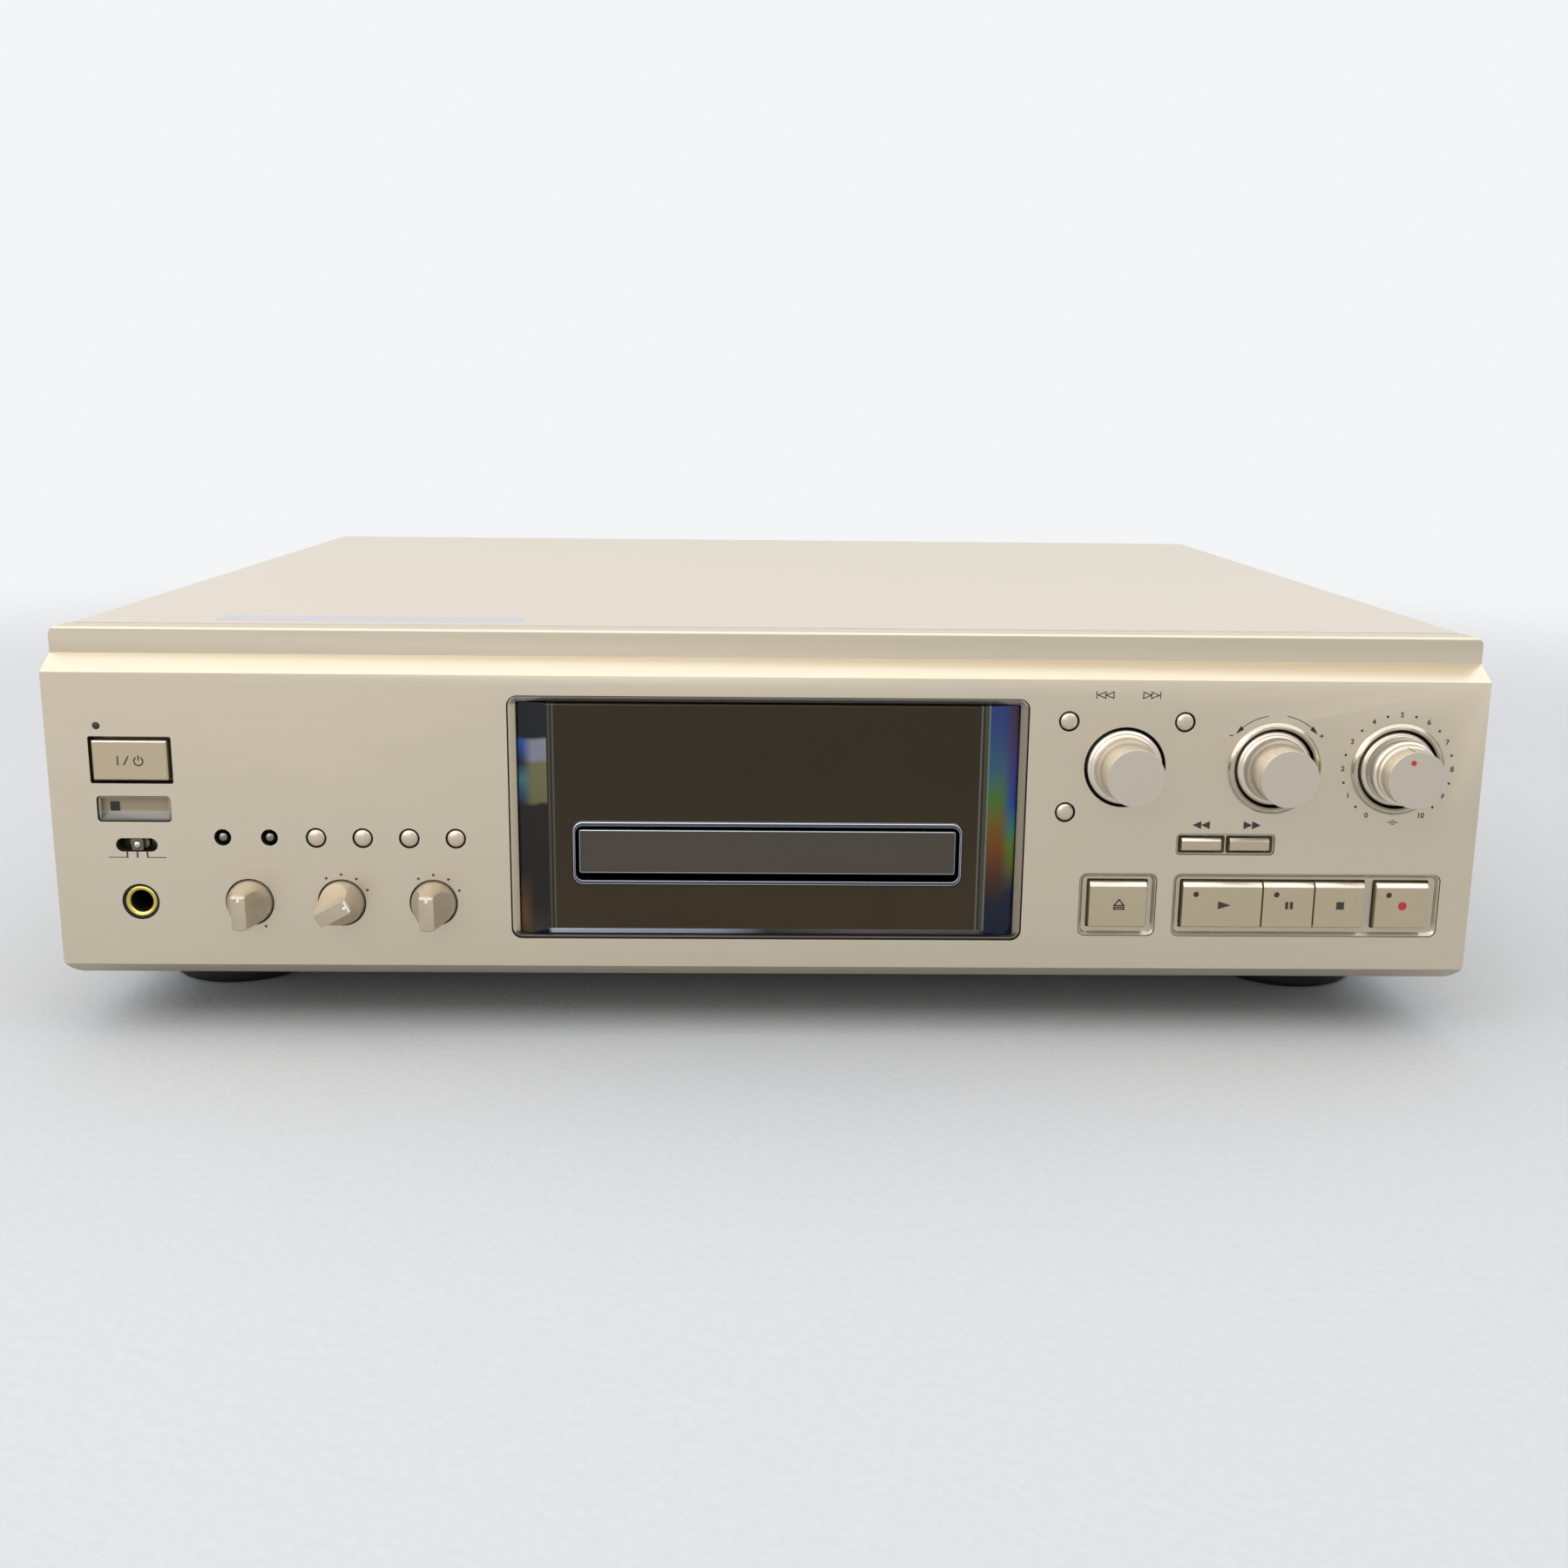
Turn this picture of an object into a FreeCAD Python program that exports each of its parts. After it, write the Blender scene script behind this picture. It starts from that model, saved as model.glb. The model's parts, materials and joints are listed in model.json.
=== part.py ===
import FreeCAD, Part
import math
import os

from FreeCAD import Vector

# Minidisc deck, full-width hi-fi component. Millimetres.
# X runs to the right, Y runs back from the main face of the fascia, Z up from the floor.
# The saved pieces are moved along Y, so that the origin is below the middle of the deck.

# ---- driving dimensions -------------------------------------------------------------
BODY_D = 364.0           # main face to the rear edge of the cover
FOOT_H = 19.4            # floor to the underside of the chassis
SHEET = 1.0              # steel sheet of cover, chassis and rear panel
GAP = 0.3                # clearance beside a moving piece
SEAT = 0.2               # clearance between fixed pieces
RUN = 0.05               # radial clearance of a shaft in its bush

# fascia profile, upwards from the chassis's underside
BEVEL_H = 3.3            # lower bevel
BEVEL_Y = 3.0            # how far back it runs
LEDGE_H = 4.5            # sloping ledge above the main face
BAND_Y = 8.3             # set-back of the band above it
BAND_H = 7.8
BAND_EDGE = 0.5          # bright chamfer on the band's top edge
COVER_STEP = 0.1         # cover's top above the band
FASCIA_D = 18.5          # front to back, along the top and ends
FASCIA_T = 5.0           # plate behind the main face
BAND_T = 3.0             # wall of the band
LIP_T = 2.0              # bottom and end returns
TOP_R = 2.4              # upper corners, seen from the front
BOTTOM_R = 5.0           # lower corners, seen from the front
LIP_SCREW_IN = 15.4      # outer screws of the lip, in from the fascia's ends

# rows of controls, upwards from the lower edge of the main face
KEYS_UP = 20.35          # edge to the row of rectangular keys
SEARCH_UP = 19.25        # keys to the search keys
KNOB_UP = 23.75          # search keys to the large knobs
FACE_UP = 26.55          # large knobs to the upper edge of the main face

# columns of controls, from the fascia's left end to its right end
COLUMN_IN = 24.7         # end to the middle of the power key
COLUMN_W = 50.5          # end to the first round button
BUTTON_PITCH = 13.96
BUTTONS_IN_ROW = 6
ROWS_GAP = 16.1          # last round button to the window
WINDOW_W = 155.8
JOG_IN = 29.25           # window to the jog knob
EJECT_BEZEL_W = 23.7
BEZEL_SPACE = 5.1        # between the two bezels of the rectangular keys
RIGHT_MARGIN = 9.5       # transport bezel to the end
COVER_INSET = 1.5        # cover's side behind the fascia's end
COVER_R = 2.5            # bend along the cover's top edges

# layers behind the fascia
PANEL_Y = 8.5            # front of the moulded sub-panel's web
PANEL_T = 2.0            # its web
PANEL_RIM = 2.0
BOARD_Y = 16.0           # front face of the front circuit board
BOARD_T = 1.6
FRAME_Y = 19.0           # front face of the chassis's front frame
SWITCH_D = 2.6           # height of a tact switch off the board
SWITCH_W = 6.0
BOSS_R = 3.0             # bosses for the board
BOSS_SIDE = 4.3          # window to the bosses beside it
BOSS_IN = 10.0           # fascia's ends to the outer bosses
BOSS_LOW, BOSS_HIGH = 7.3, 8.6               # from the main face's lower and upper edges
BOARD_IN, BOARD_LOW, BOARD_HIGH = 5.2, 2.7, 6.0

# keys and buttons
TRAVEL = 1.2             # stroke of every push key
KEY_FLANGE = 1.0         # flange that stops a key behind the fascia, thickness and reach
STEM_R = 1.6             # stem from a key to its switch
KEY_PROUD = 1.0          # keys stand this far out of the fascia
KEY_BEVEL_Z, KEY_BEVEL_Y = 1.3, 1.0          # bevel along a key's top edge
KEY_OVER = 0.3           # keys above the middle of their bezels
BUTTON_HOLE_R = 3.1
BUTTON_R = 2.75
PIN_HOLE_R, PIN_R = 2.55, 1.5
RECESSED = 2             # the first buttons of the row are thin recessed pins
BUTTON_OVER = 0.4        # round buttons above the search keys' row
POWER_OVER = 0.2         # power key above the large knobs' row
POWER_W, POWER_H = 24.5, 14.3
POWER_GAP = 1.15
LAMP_SIDE, LAMP_OVER, LAMP_R = 9.4, 10.35, 1.1
JOG_SIDE, JOG_OVER = 17.4, 13.95             # jog knob to the buttons around it
BEZEL_H = 19.9
KEY_H = 14.1
KEY_GAP = 0.6
KEY_LINE = 0.4           # between keys that share a pocket
BEZEL_SINK = 1.4         # bezel floor behind the main face
BEZEL_SLOPE = 1.2        # width of the bezel's sloped border
BEZEL_R = 2.2
EJECT_W = 17.5
KEYS_IN = 2.9            # bezel's left end to the first key
PLAY_W, PAUSE_W, STOP_W, RECORD_W = 24.3, 15.5, 15.2, 16.0
RECORD_SPACE = 3.6       # wall between the stop and record keys
KEYS_OUT = 3.8           # last key to the bezel's right end
SEARCH_W, SEARCH_H, SEARCH_R = 30.1, 6.6, 1.2
SEARCH_WALL = 0.35       # liner around and between the search keys
SEARCH_KEY_W, SEARCH_KEY_H = 12.1, 3.9
SEARCH_BEVEL = 0.9       # along their top edges

# slide switch and sensor window
TIMER_UNDER = 2.1        # slide switch below the search keys' row
TIMER_W, TIMER_H = 12.4, 4.2
TIMER_STEP = 3.0
TIMER_THUMB = 3.4
LEG_X, LEG_Z = 2.0, 1.6  # leg from the lever into its switch
TIMER_BODY_W, TIMER_BODY_H, TIMER_BODY_D = 13.0, 6.5, 5.2
IR_OVER = 11.1           # sensor window above the slide switch
IR_W, IR_H, IR_R = 22.0, 7.95, 1.2
IR_SINK = 2.6            # floor of the lens's upper half behind the main face
IR_BREAK = 1.2           # where the slope of its lower half ends, below the middle

# rotary controls
LEVEL_PITCH = 37.4       # between the two level knobs
ANALOG_IN = 26.0         # fascia's right end to the analog knob
KNOB_HOLE_R = 12.3
SKIRT_R = 11.25
KNOB_R = 8.9
KNOB_CAP_R = 8.5
KNOB_PROUD = 16.0
RING_R = 14.0
RING_PROUD = 1.3
REAR_KNOB_R = 9.9
REAR_KNOB_PROUD = 7.4
SHAFT_R = 3.0
BUSH_T = 0.9             # wall of the bush that a shaft turns in
INNER_SHAFT_R = 1.8
CONTROL_W = 16.0         # bodies of the large controls
SMALL_CONTROL_W = 12.0
POINTER_SIDE = 7.0       # first pointer knob from the first round button
POINTER_PITCH = 27.75
POINTER_UNDER = 0.55     # pointer knobs below the keys' row
POINTER_R = 6.9          # skirt
POINTER_TIP_R = 5.5      # at the front face
POINTER_PROUD = 12.0
POINTER_GRIP = 4.4       # width of the grip's front face
POINTER_HOLE_R = 7.3
POINTER_TURNED = 62.0    # the middle knob rests on its last mark
JOG_PRESS = 0.8

# headphone socket
PHONES_BORE_R = 3.25
PHONES_RING_R = 4.75
PHONES_HOLE_R = 5.6
PHONES_D = 24.0
PHONES_W, PHONES_H = 15.0, 14.0

# window and tray
WINDOW_LOW, WINDOW_HIGH = 8.7, 6.0           # main face left below and above the window
WINDOW_R = 3.2
FRAME_W, FRAME_LOW, FRAME_HIGH = 2.2, 0.75, 1.9      # frame's side, lower and upper bars
FRAME_SINK = 1.0
FRAME_IN_R = 0.5         # its inner corners, round the block's square ones
BLOCK_Y = 0.3            # front of the glass block
BLOCK_D = 7.8
FACET_X, FACET_D = 9.0, 3.0                  # facets at the ends, width and depth
FACET_LOW, FACET_LOW_D = 2.1, 2.0            # facet along the lower edge
FACET_HIGH = 0.4         # chamfer along the upper edge
SLOT_UNDER = 3.75        # slot's middle below the search keys' row
SLOT_GAP_X, SLOT_GAP_Z = 0.6, 1.45           # between the door and the slot
SLOT_R = 2.4
SLOT_WALL = 0.55         # barrel of the slot bezel
SLOT_RIM = 0.95          # its front rim, seen from the front
DOOR_W, DOOR_H, DOOR_R, DOOR_T, DOOR_SINK = 115.0, 14.1, 0.8, 3.0, 1.6
TRAY_W = 100.0
TRAY_L = 128.0
TRAY_OVER = 4.45         # tray's top above the slot's middle
TRAY_FLOOR = 2.6
TRAY_STROKE = 85.0
DISC_W, DISC_L, DISC_T = 72.8, 69.0, 5.4     # pocket for a 72 x 68 x 5 cartridge
DISC_START = 6.0         # pocket behind the tray's front wall
TRAY_WALL = 4.0          # walls behind the pocket
THUMB_R = 11.0           # finger cut in the tray's front wall
HUB_W, HUB_L, HUB_BACK = 52.0, 43.0, 8.0     # opening in the pocket's floor, behind its middle
RAIL_T, RAIL_REACH, RAIL_UNDER, RAIL_START = 2.0, 3.7, 6.0, 14.0

# loading drive
MODULE = 0.8
GEAR_TEETH = 20
MOTOR_TEETH = 10
PRESSURE = math.radians(20.0)
ADDENDUM = 0.7
DEDENDUM = 1.05
BACKLASH = 0.16
GEAR_T = 3.0
RACK_X = -36.0           # pitch line of the tray's rack, from the tray's middle
RACK_T = 2.4             # rib behind its teeth
GEAR_Y = 36.0
PIN_POST_R = 1.5
MOTOR_SHAFT_R = 1.0

# disc mechanism
DECK_UNDER = 9.0         # deck plate's top below the tray
DECK_T = 2.0
DECK_Y0, DECK_Y1 = 26.0, 150.0
DECK_WALL = 6.0          # side walls with the grooves for the tray's rails
LEG_W = 8.0
BRIDGE_Y, BRIDGE_L, BRIDGE_T = 104.0, 12.0, 2.5
SLED_L, SLED_TRAVEL = 14.0, 20.0
ROD_X, ROD_R, ROD_OVER = 14.0, 1.5, 4.0
ROD_BAR = 2.0            # cross-bars that hold the rods' ends
SCREW_X = 21.0
SLED_Y = 62.0
SPINDLE_R = 8.0
MOTOR_R, MOTOR_L = 10.5, 15.0
SPINDLE_MOTOR_R, SPINDLE_MOTOR_L = 11.0, 6.0
FEED_MOTOR_L = 12.0

# case
FOOT_R = 25.0
FOOT_SCREW_R, FOOT_SCREW_HEAD_R, FOOT_SCREW_SEAT = 2.2, 4.0, 5.0
FOOT_IN, FOOT_FRONT, FOOT_BACK = 34.0, 70.0, 52.0    # from the ends, main face and rear edge
SIDE_WALL_H = 24.0       # chassis's side walls
FRAME_BAR = 8.0          # bars of its front frame
SCREW_R, SCREW_HEAD_R, SCREW_HEAD_T = 1.5, 3.0, 1.3
SIDE_SCREW_Z, SIDE_SCREW_FRONT, SIDE_SCREW_BACK = 40.0, 62.0, 34.0
LIP_H = 12.0             # cover's lip down the back
COVER_SCREW_PITCH = 150.0
VENT_W, VENT_H, VENT_PITCH, VENT_BACK = 36.0, 3.2, 9.0, 100.0
VENT_X, VENT_ROWS = (-120.0, 40.0, 150.0), 8
REAR_VENT_X, REAR_VENT_DOWN, REAR_VENT_PITCH = -74.0, 27.0, 11.0
REAR_VENT_W, REAR_VENT_H = 3.0, 16.0

# boards and power supply
BOARD_LIFT = 9.0         # boards above the chassis
POST_R, POST_IN = 3.0, 8.0                   # stand-offs, in from the boards' corners
MAIN_W, MAIN_IN, MAIN_FRONT, MAIN_BACK = 200.0, 9.5, 26.0, 18.0
POWER_BOARD_W, POWER_BOARD_L, POWER_BOARD_IN, POWER_BOARD_Y = 126.0, 102.0, 13.5, 112.0
SINK_W, SINK_D, SINK_H, SINK_T = 47.0, 18.0, 42.0, 3.0
SINK_IN, SINK_FRONT, FIN_T, FINS = 68.0, 54.0, 1.6, 7
CAN_R, CAN_H, CAN_IN, CAN_PITCH = 9.0, 28.0, 18.0, 22.0     # smoothing capacitors
SMALL_CAN_R, SMALL_CAN_H, SMALL_CAN_IN, SMALL_CAN_PITCH = 4.0, 12.0, 22.0, 15.0
FUSE_L, FUSE_W, FUSE_H = 22.0, 8.0, 9.0
REGULATOR_W, REGULATOR_T = 10.0, 4.4
CHIPS = ((56.0, 44.0, 24.0, 24.0, 2.6), (108.0, 50.0, 16.0, 14.0, 2.2),
         (136.0, 84.0, 18.0, 14.0, 2.2), (36.0, 104.0, 14.0, 10.0, 2.0),
         (92.0, 10.0, 36.0, 24.0, 9.0))      # x, y on the main board, then width, depth, height
CORE_W, CORE_D, CORE_H, CORE_LIMB = 66.0, 22.0, 56.0, 11.0
SHOE_W, SHOE_T = 88.0, 2.0
CORE_IN, CORE_BACK = 63.5, 77.8              # transformer's middle from the cover and rear panel

# sockets on the rear panel
REAR_T, REAR_FOLD = SHEET, 9.0
JACK_R, JACK_BORE_R, JACK_L, JACK_NUT_R = 4.15, 1.7, 9.0, 5.6
JACK_UP, JACK_PITCH_Z = 42.6, 19.0           # lower row above the chassis's underside
JACK_IN, JACK_PITCH_X = 37.5, 28.0
COAX_SIDE, SOCKET_PITCH = 30.0, 22.0
OPTICAL_S, OPTICAL_D, OPTICAL_WALL = 8.6, 9.0, 1.0
CONTROL_R, CONTROL_WALL = 1.8, 1.3
INLET_IN, INLET_UP, INLET_W, INLET_H = 41.5, 40.6, 20.4, 9.4
INLET_WALL = 2.0
INLET_D, INLET_PIN_R, INLET_PIN_PITCH, INLET_PIN_L = 14.0, 1.2, 8.6, 8.5
BLOCK_L, BLOCK_SIDE = 15.0, 8.0              # moulded socket blocks, depth and half width

# ---- derived places -----------------------------------------------------------------
# heights
FACE_BOTTOM = FOOT_H + BEVEL_H
KEYS_Z = FACE_BOTTOM + KEYS_UP
SEARCH_Z = KEYS_Z + SEARCH_UP
KNOB_Z = SEARCH_Z + KNOB_UP
FACE_TOP = KNOB_Z + FACE_UP
BAND_BOTTOM = FACE_TOP + LEDGE_H
BAND_TOP = BAND_BOTTOM + BAND_H
COVER_TOP = BAND_TOP + COVER_STEP
COVER_SCREW_Z = COVER_TOP - LIP_H / 2 - SHEET
POINTER_Z = KEYS_Z - POINTER_UNDER
PHONES_Z = POINTER_Z
BUTTON_Z = SEARCH_Z + BUTTON_OVER
TIMER_Z = SEARCH_Z - TIMER_UNDER
IR_Z = TIMER_Z + IR_OVER
POWER_Z = KNOB_Z + POWER_OVER
LAMP_Z = POWER_Z + LAMP_OVER
MENU_Z, CLEAR_Z = KNOB_Z + JOG_OVER, KNOB_Z - JOG_OVER
WINDOW_H = FACE_TOP - FACE_BOTTOM - WINDOW_LOW - WINDOW_HIGH
WINDOW_Z = FACE_BOTTOM + WINDOW_LOW + WINDOW_H / 2
FRAME_Z0 = FACE_BOTTOM + WINDOW_LOW + SEAT + FRAME_LOW      # inside of the window frame
FRAME_Z1 = FACE_TOP - WINDOW_HIGH - SEAT - FRAME_HIGH
BLOCK_Z0, BLOCK_Z1 = FRAME_Z0 + SEAT, FRAME_Z1 - SEAT
KEY_Z = KEYS_Z + KEY_OVER
SLOT_Z = SEARCH_Z - SLOT_UNDER
TRAY_TOP = SLOT_Z + TRAY_OVER
TRAY_UNDER = TRAY_TOP - DISC_T - TRAY_FLOOR
RAIL_Z = TRAY_TOP - RAIL_UNDER
DECK_Z = TRAY_UNDER - DECK_UNDER              # top of the mechanism's deck plate
ROD_Z = DECK_Z + ROD_OVER
GEAR_TOP = TRAY_UNDER - GAP * 2
GEAR_Z = GEAR_TOP - GEAR_T
CHASSIS_Z = FOOT_H + SHEET                    # top of the chassis plate
BOARD_Z = CHASSIS_Z + BOARD_LIFT              # underside of the inner boards
BOARD_TOP = BOARD_Z + BOARD_T
JACK_Z0 = FOOT_H + JACK_UP
OPTICAL_Z = JACK_Z0 + JACK_PITCH_Z / 2
INLET_Z = FOOT_H + INLET_UP

# across
TRANSPORT_W = (KEYS_IN + PLAY_W + KEY_LINE + PAUSE_W + KEY_LINE + STOP_W + RECORD_SPACE
               + RECORD_W + KEYS_OUT)
WIDTH = (COLUMN_W + BUTTON_PITCH * (BUTTONS_IN_ROW - 1) + ROWS_GAP + WINDOW_W + JOG_IN
         + EJECT_BEZEL_W / 2 + BEZEL_SPACE + TRANSPORT_W + RIGHT_MARGIN)
LEFT, RIGHT = -WIDTH / 2, WIDTH / 2
COLUMN_X = LEFT + COLUMN_IN
BUTTON_X = LEFT + COLUMN_W                    # the first of the row
WINDOW_LEFT = BUTTON_X + BUTTON_PITCH * (BUTTONS_IN_ROW - 1) + ROWS_GAP
WINDOW_X = WINDOW_LEFT + WINDOW_W / 2         # middle of the window, tray and mechanism
WINDOW_RIGHT = WINDOW_LEFT + WINDOW_W
JOG_X = WINDOW_RIGHT + JOG_IN
MENU_X, YES_X = JOG_X - JOG_SIDE, JOG_X + JOG_SIDE
ANALOG_X = RIGHT - ANALOG_IN
LEVEL_X = ANALOG_X - LEVEL_PITCH
POINTER_X = BUTTON_X + POINTER_SIDE
EJECT_X = JOG_X
TRANSPORT_X0 = EJECT_X + EJECT_BEZEL_W / 2 + BEZEL_SPACE
SEARCH_X = TRANSPORT_X0 + SEARCH_W / 2
SEARCH_PITCH = SEARCH_W / 2 - SEAT - SEARCH_WALL / 2
PLAY_X = TRANSPORT_X0 + KEYS_IN               # left ends of the transport keys
PAUSE_X = PLAY_X + PLAY_W + KEY_LINE
STOP_X = PAUSE_X + PAUSE_W + KEY_LINE
RECORD_X = STOP_X + STOP_W + RECORD_SPACE
SLOT_W, SLOT_H = DOOR_W + 2 * SLOT_GAP_X, DOOR_H + 2 * SLOT_GAP_Z
COVER_W = WIDTH - 2 * COVER_INSET
COVER_IN = COVER_W / 2 - SHEET                # inside of the cover's walls
CHASSIS_X = COVER_IN - SEAT                   # outside of the chassis's walls
FOOT_X = WIDTH / 2 - FOOT_IN
JACKS_X = (COVER_W / 2 - JACK_IN, COVER_W / 2 - JACK_IN - JACK_PITCH_X)
COAX_X = JACKS_X[1] - COAX_SIDE
OPTICAL_X = tuple(COAX_X - SOCKET_PITCH * i for i in (1, 2, 3))
CONTROL_X = COAX_X - SOCKET_PITCH * 4
INLET_X = INLET_IN - COVER_W / 2
GEAR_R = MODULE * GEAR_TEETH / 2
MOTOR_GEAR_R = MODULE * MOTOR_TEETH / 2
GEAR_X = RACK_X - GEAR_R

# front to back
PANEL_BACK = PANEL_Y + PANEL_T
SWITCH_Y = BOARD_Y - SWITCH_D
DOOR_Y = DOOR_SINK                            # front of the tray's door
TRAY_Y = DOOR_Y + DOOR_T                      # front wall of the tray
DISC_Y = TRAY_Y + DISC_START + DISC_L / 2     # middle of the pocket
MOTOR_Y = GEAR_Y + GEAR_R + MOTOR_GEAR_R
SLED_END = SLED_Y + SLED_L + SLED_TRAVEL
REAR_Y = BODY_D - SHEET - SEAT                # outer face of the rear panel
REAR_IN = REAR_Y - REAR_T                     # its inner face
JACK_TIP = REAR_Y + JACK_L
MID_Y = (JACK_TIP - KNOB_PROUD) / 2           # middle of the deck, front to back

TRANSPORT_KEYS = (("play_key", PLAY_X, PLAY_W), ("pause_key", PAUSE_X, PAUSE_W),
                  ("stop_key", STOP_X, STOP_W), ("record_key", RECORD_X, RECORD_W))
SHARED_POCKET = ("play_key", "pause_key", "stop_key")    # flanges only above and below
BUTTON_ROW = ("filter_button", "edit_button", "play_mode_button", "repeat_button",
              "time_button", "display_button")


# ---- helpers ------------------------------------------------------------------------
def box(x0, x1, y0, y1, z0, z1):
    return Part.makeBox(x1 - x0, y1 - y0, z1 - z0, Vector(x0, y0, z0))


def rod(x, z, r, y0, y1):
    """Cylinder along Y."""
    return Part.makeCylinder(r, y1 - y0, Vector(x, y0, z), Vector(0, 1, 0))


def post(x, y, r, z0, z1):
    """Upright cylinder."""
    return Part.makeCylinder(r, z1 - z0, Vector(x, y, z0))


def outline(x, z, w, h, r, y):
    """Rounded rectangle as a wire in the plane Y = y."""
    a, b = w / 2, h / 2
    if r <= 0:
        corners = [(-a, -b), (a, -b), (a, b), (-a, b), (-a, -b)]
        return Part.makePolygon([Vector(x + u, y, z + v) for u, v in corners])
    edges = []
    spans = ((a, b, 0), (-a, b, 90), (-a, -b, 180), (a, -b, 270))
    arcs = [corner_arc(x + u - math.copysign(r, u), z + v - math.copysign(r, v), r, y, turn)
            for u, v, turn in spans]
    for arc, following in zip(arcs, arcs[1:] + arcs[:1]):
        edges.append(arc.toShape())
        if arc.EndPoint.distanceToPoint(following.StartPoint) > 1e-6:
            edges.append(Part.LineSegment(arc.EndPoint, following.StartPoint).toShape())
    return Part.Wire(edges)


def corner_arc(x, z, r, y, turn):
    points = []
    for degrees in (turn, turn + 45, turn + 90):
        angle = math.radians(degrees)
        points.append(Vector(x + r * math.cos(angle), y, z + r * math.sin(angle)))
    return Part.Arc(*points)


def plate(x, z, w, h, r, y0, y1):
    """Rounded rectangle, centred on (x, z), from y0 back to y1."""
    return Part.Face(outline(x, z, w, h, r, y0)).extrude(Vector(0, y1 - y0, 0))


def tapered(x, z, front, back, y0, y1):
    """Loft between two rounded rectangles, each given as (w, h, r)."""
    return Part.makeLoft([outline(x, z, *front, y0), outline(x, z, *back, y1)], True, True)


def turned(x, z, profile):
    """Solid of revolution about an axis along Y; the profile is a list of (radius, y)."""
    points = [Vector(x + r, y, z) for r, y in profile]
    face = Part.Face(Part.makePolygon(points + points[:1]))
    return face.revolve(Vector(x, 0, z), Vector(0, 1, 0), 360)


def standing(x, y, profile):
    """Solid of revolution about an upright axis; the profile is a list of (radius, z)."""
    points = [Vector(x + r, y, z) for r, z in profile]
    face = Part.Face(Part.makePolygon(points + points[:1]))
    return face.revolve(Vector(x, y, 0), Vector(0, 0, 1), 360)


def across(profile, x0, x1):
    """Profile of (y, z) points, extruded along X."""
    points = [Vector(x0, y, z) for y, z in profile]
    return Part.Face(Part.makePolygon(points + points[:1])).extrude(Vector(x1 - x0, 0, 0))


def flat(profile, z0, z1):
    """Profile of (x, y) points, extruded upwards."""
    points = [Vector(x, y, z0) for x, y in profile]
    return Part.Face(Part.makePolygon(points + points[:1])).extrude(Vector(0, 0, z1 - z0))


def joined(shapes):
    return shapes[0].fuse(shapes[1:]).removeSplitter() if len(shapes) > 1 else shapes[0]


def spin(shape, x, z, degrees):
    """Clockwise turn, seen from the front, about the axis along Y through (x, z)."""
    turned_shape = shape.copy()
    turned_shape.rotate(Vector(x, 0, z), Vector(0, 1, 0), degrees)
    return turned_shape


def hole_of(name):
    """Radius of a round button's hole."""
    return PIN_HOLE_R if name in BUTTON_ROW[:RECESSED] else BUTTON_HOLE_R


def button_places():
    """Name, x, z of every round button, in the order of the panel."""
    places = [(name, BUTTON_X + BUTTON_PITCH * i, BUTTON_Z)
              for i, name in enumerate(BUTTON_ROW[:BUTTONS_IN_ROW])]
    places.append(("menu_button", MENU_X, MENU_Z))
    places.append(("yes_button", YES_X, MENU_Z))
    places.append(("clear_button", MENU_X, CLEAR_Z))
    return places


def pointer_places():
    names = ("phones_knob", "input_knob", "mode_knob")
    return [(name, POINTER_X + POINTER_PITCH * i) for i, name in enumerate(names)]


def search_places():
    return (("rewind_key", SEARCH_X - SEARCH_PITCH / 2), ("forward_key", SEARCH_X + SEARCH_PITCH / 2))


def key_middles():
    """Name, x, z of every rectangular key."""
    keys = [("power_key", COLUMN_X, POWER_Z), ("eject_key", EJECT_X, KEY_Z)]
    keys += [(name, x + w / 2, KEY_Z) for name, x, w in TRANSPORT_KEYS]
    keys += [(name, x, SEARCH_Z) for name, x in search_places()]
    return keys


# ---- fascia and what sits in it -----------------------------------------------------
def fascia_blank():
    outer = [(0, FACE_BOTTOM), (0, FACE_TOP), (BAND_Y, BAND_BOTTOM), (BAND_Y, BAND_TOP - BAND_EDGE),
             (BAND_Y + BAND_EDGE, BAND_TOP), (FASCIA_D, BAND_TOP), (FASCIA_D, FOOT_H),
             (BEVEL_Y, FOOT_H)]
    slope = (BAND_BOTTOM - FACE_TOP) / BAND_Y
    drop = BAND_T / math.cos(math.atan(slope))
    inner_top = FACE_TOP + slope * FASCIA_T - drop
    band_in = BAND_Y + BAND_T
    inner = [(FASCIA_T, FOOT_H + LIP_T), (FASCIA_T, inner_top),
             (band_in, inner_top + slope * (band_in - FASCIA_T)), (band_in, BAND_TOP - BAND_T),
             (FASCIA_D + 1, BAND_TOP - BAND_T), (FASCIA_D + 1, FOOT_H + LIP_T)]
    blank = across(outer, LEFT, RIGHT)
    middle = (FOOT_H + BAND_TOP) / 2
    height = BAND_TOP - FOOT_H
    upper = plate(0, middle, WIDTH, height, TOP_R, -1, FASCIA_D + 1)
    lower = plate(0, middle, WIDTH, height, BOTTOM_R, -1, FASCIA_D + 1)
    lower = lower.fuse(box(LEFT, RIGHT, -1, FASCIA_D + 1, middle, BAND_TOP))
    cavity = across(inner, LEFT + LIP_T, RIGHT - LIP_T)
    return blank.common(upper).common(lower).cut(cavity)


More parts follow.
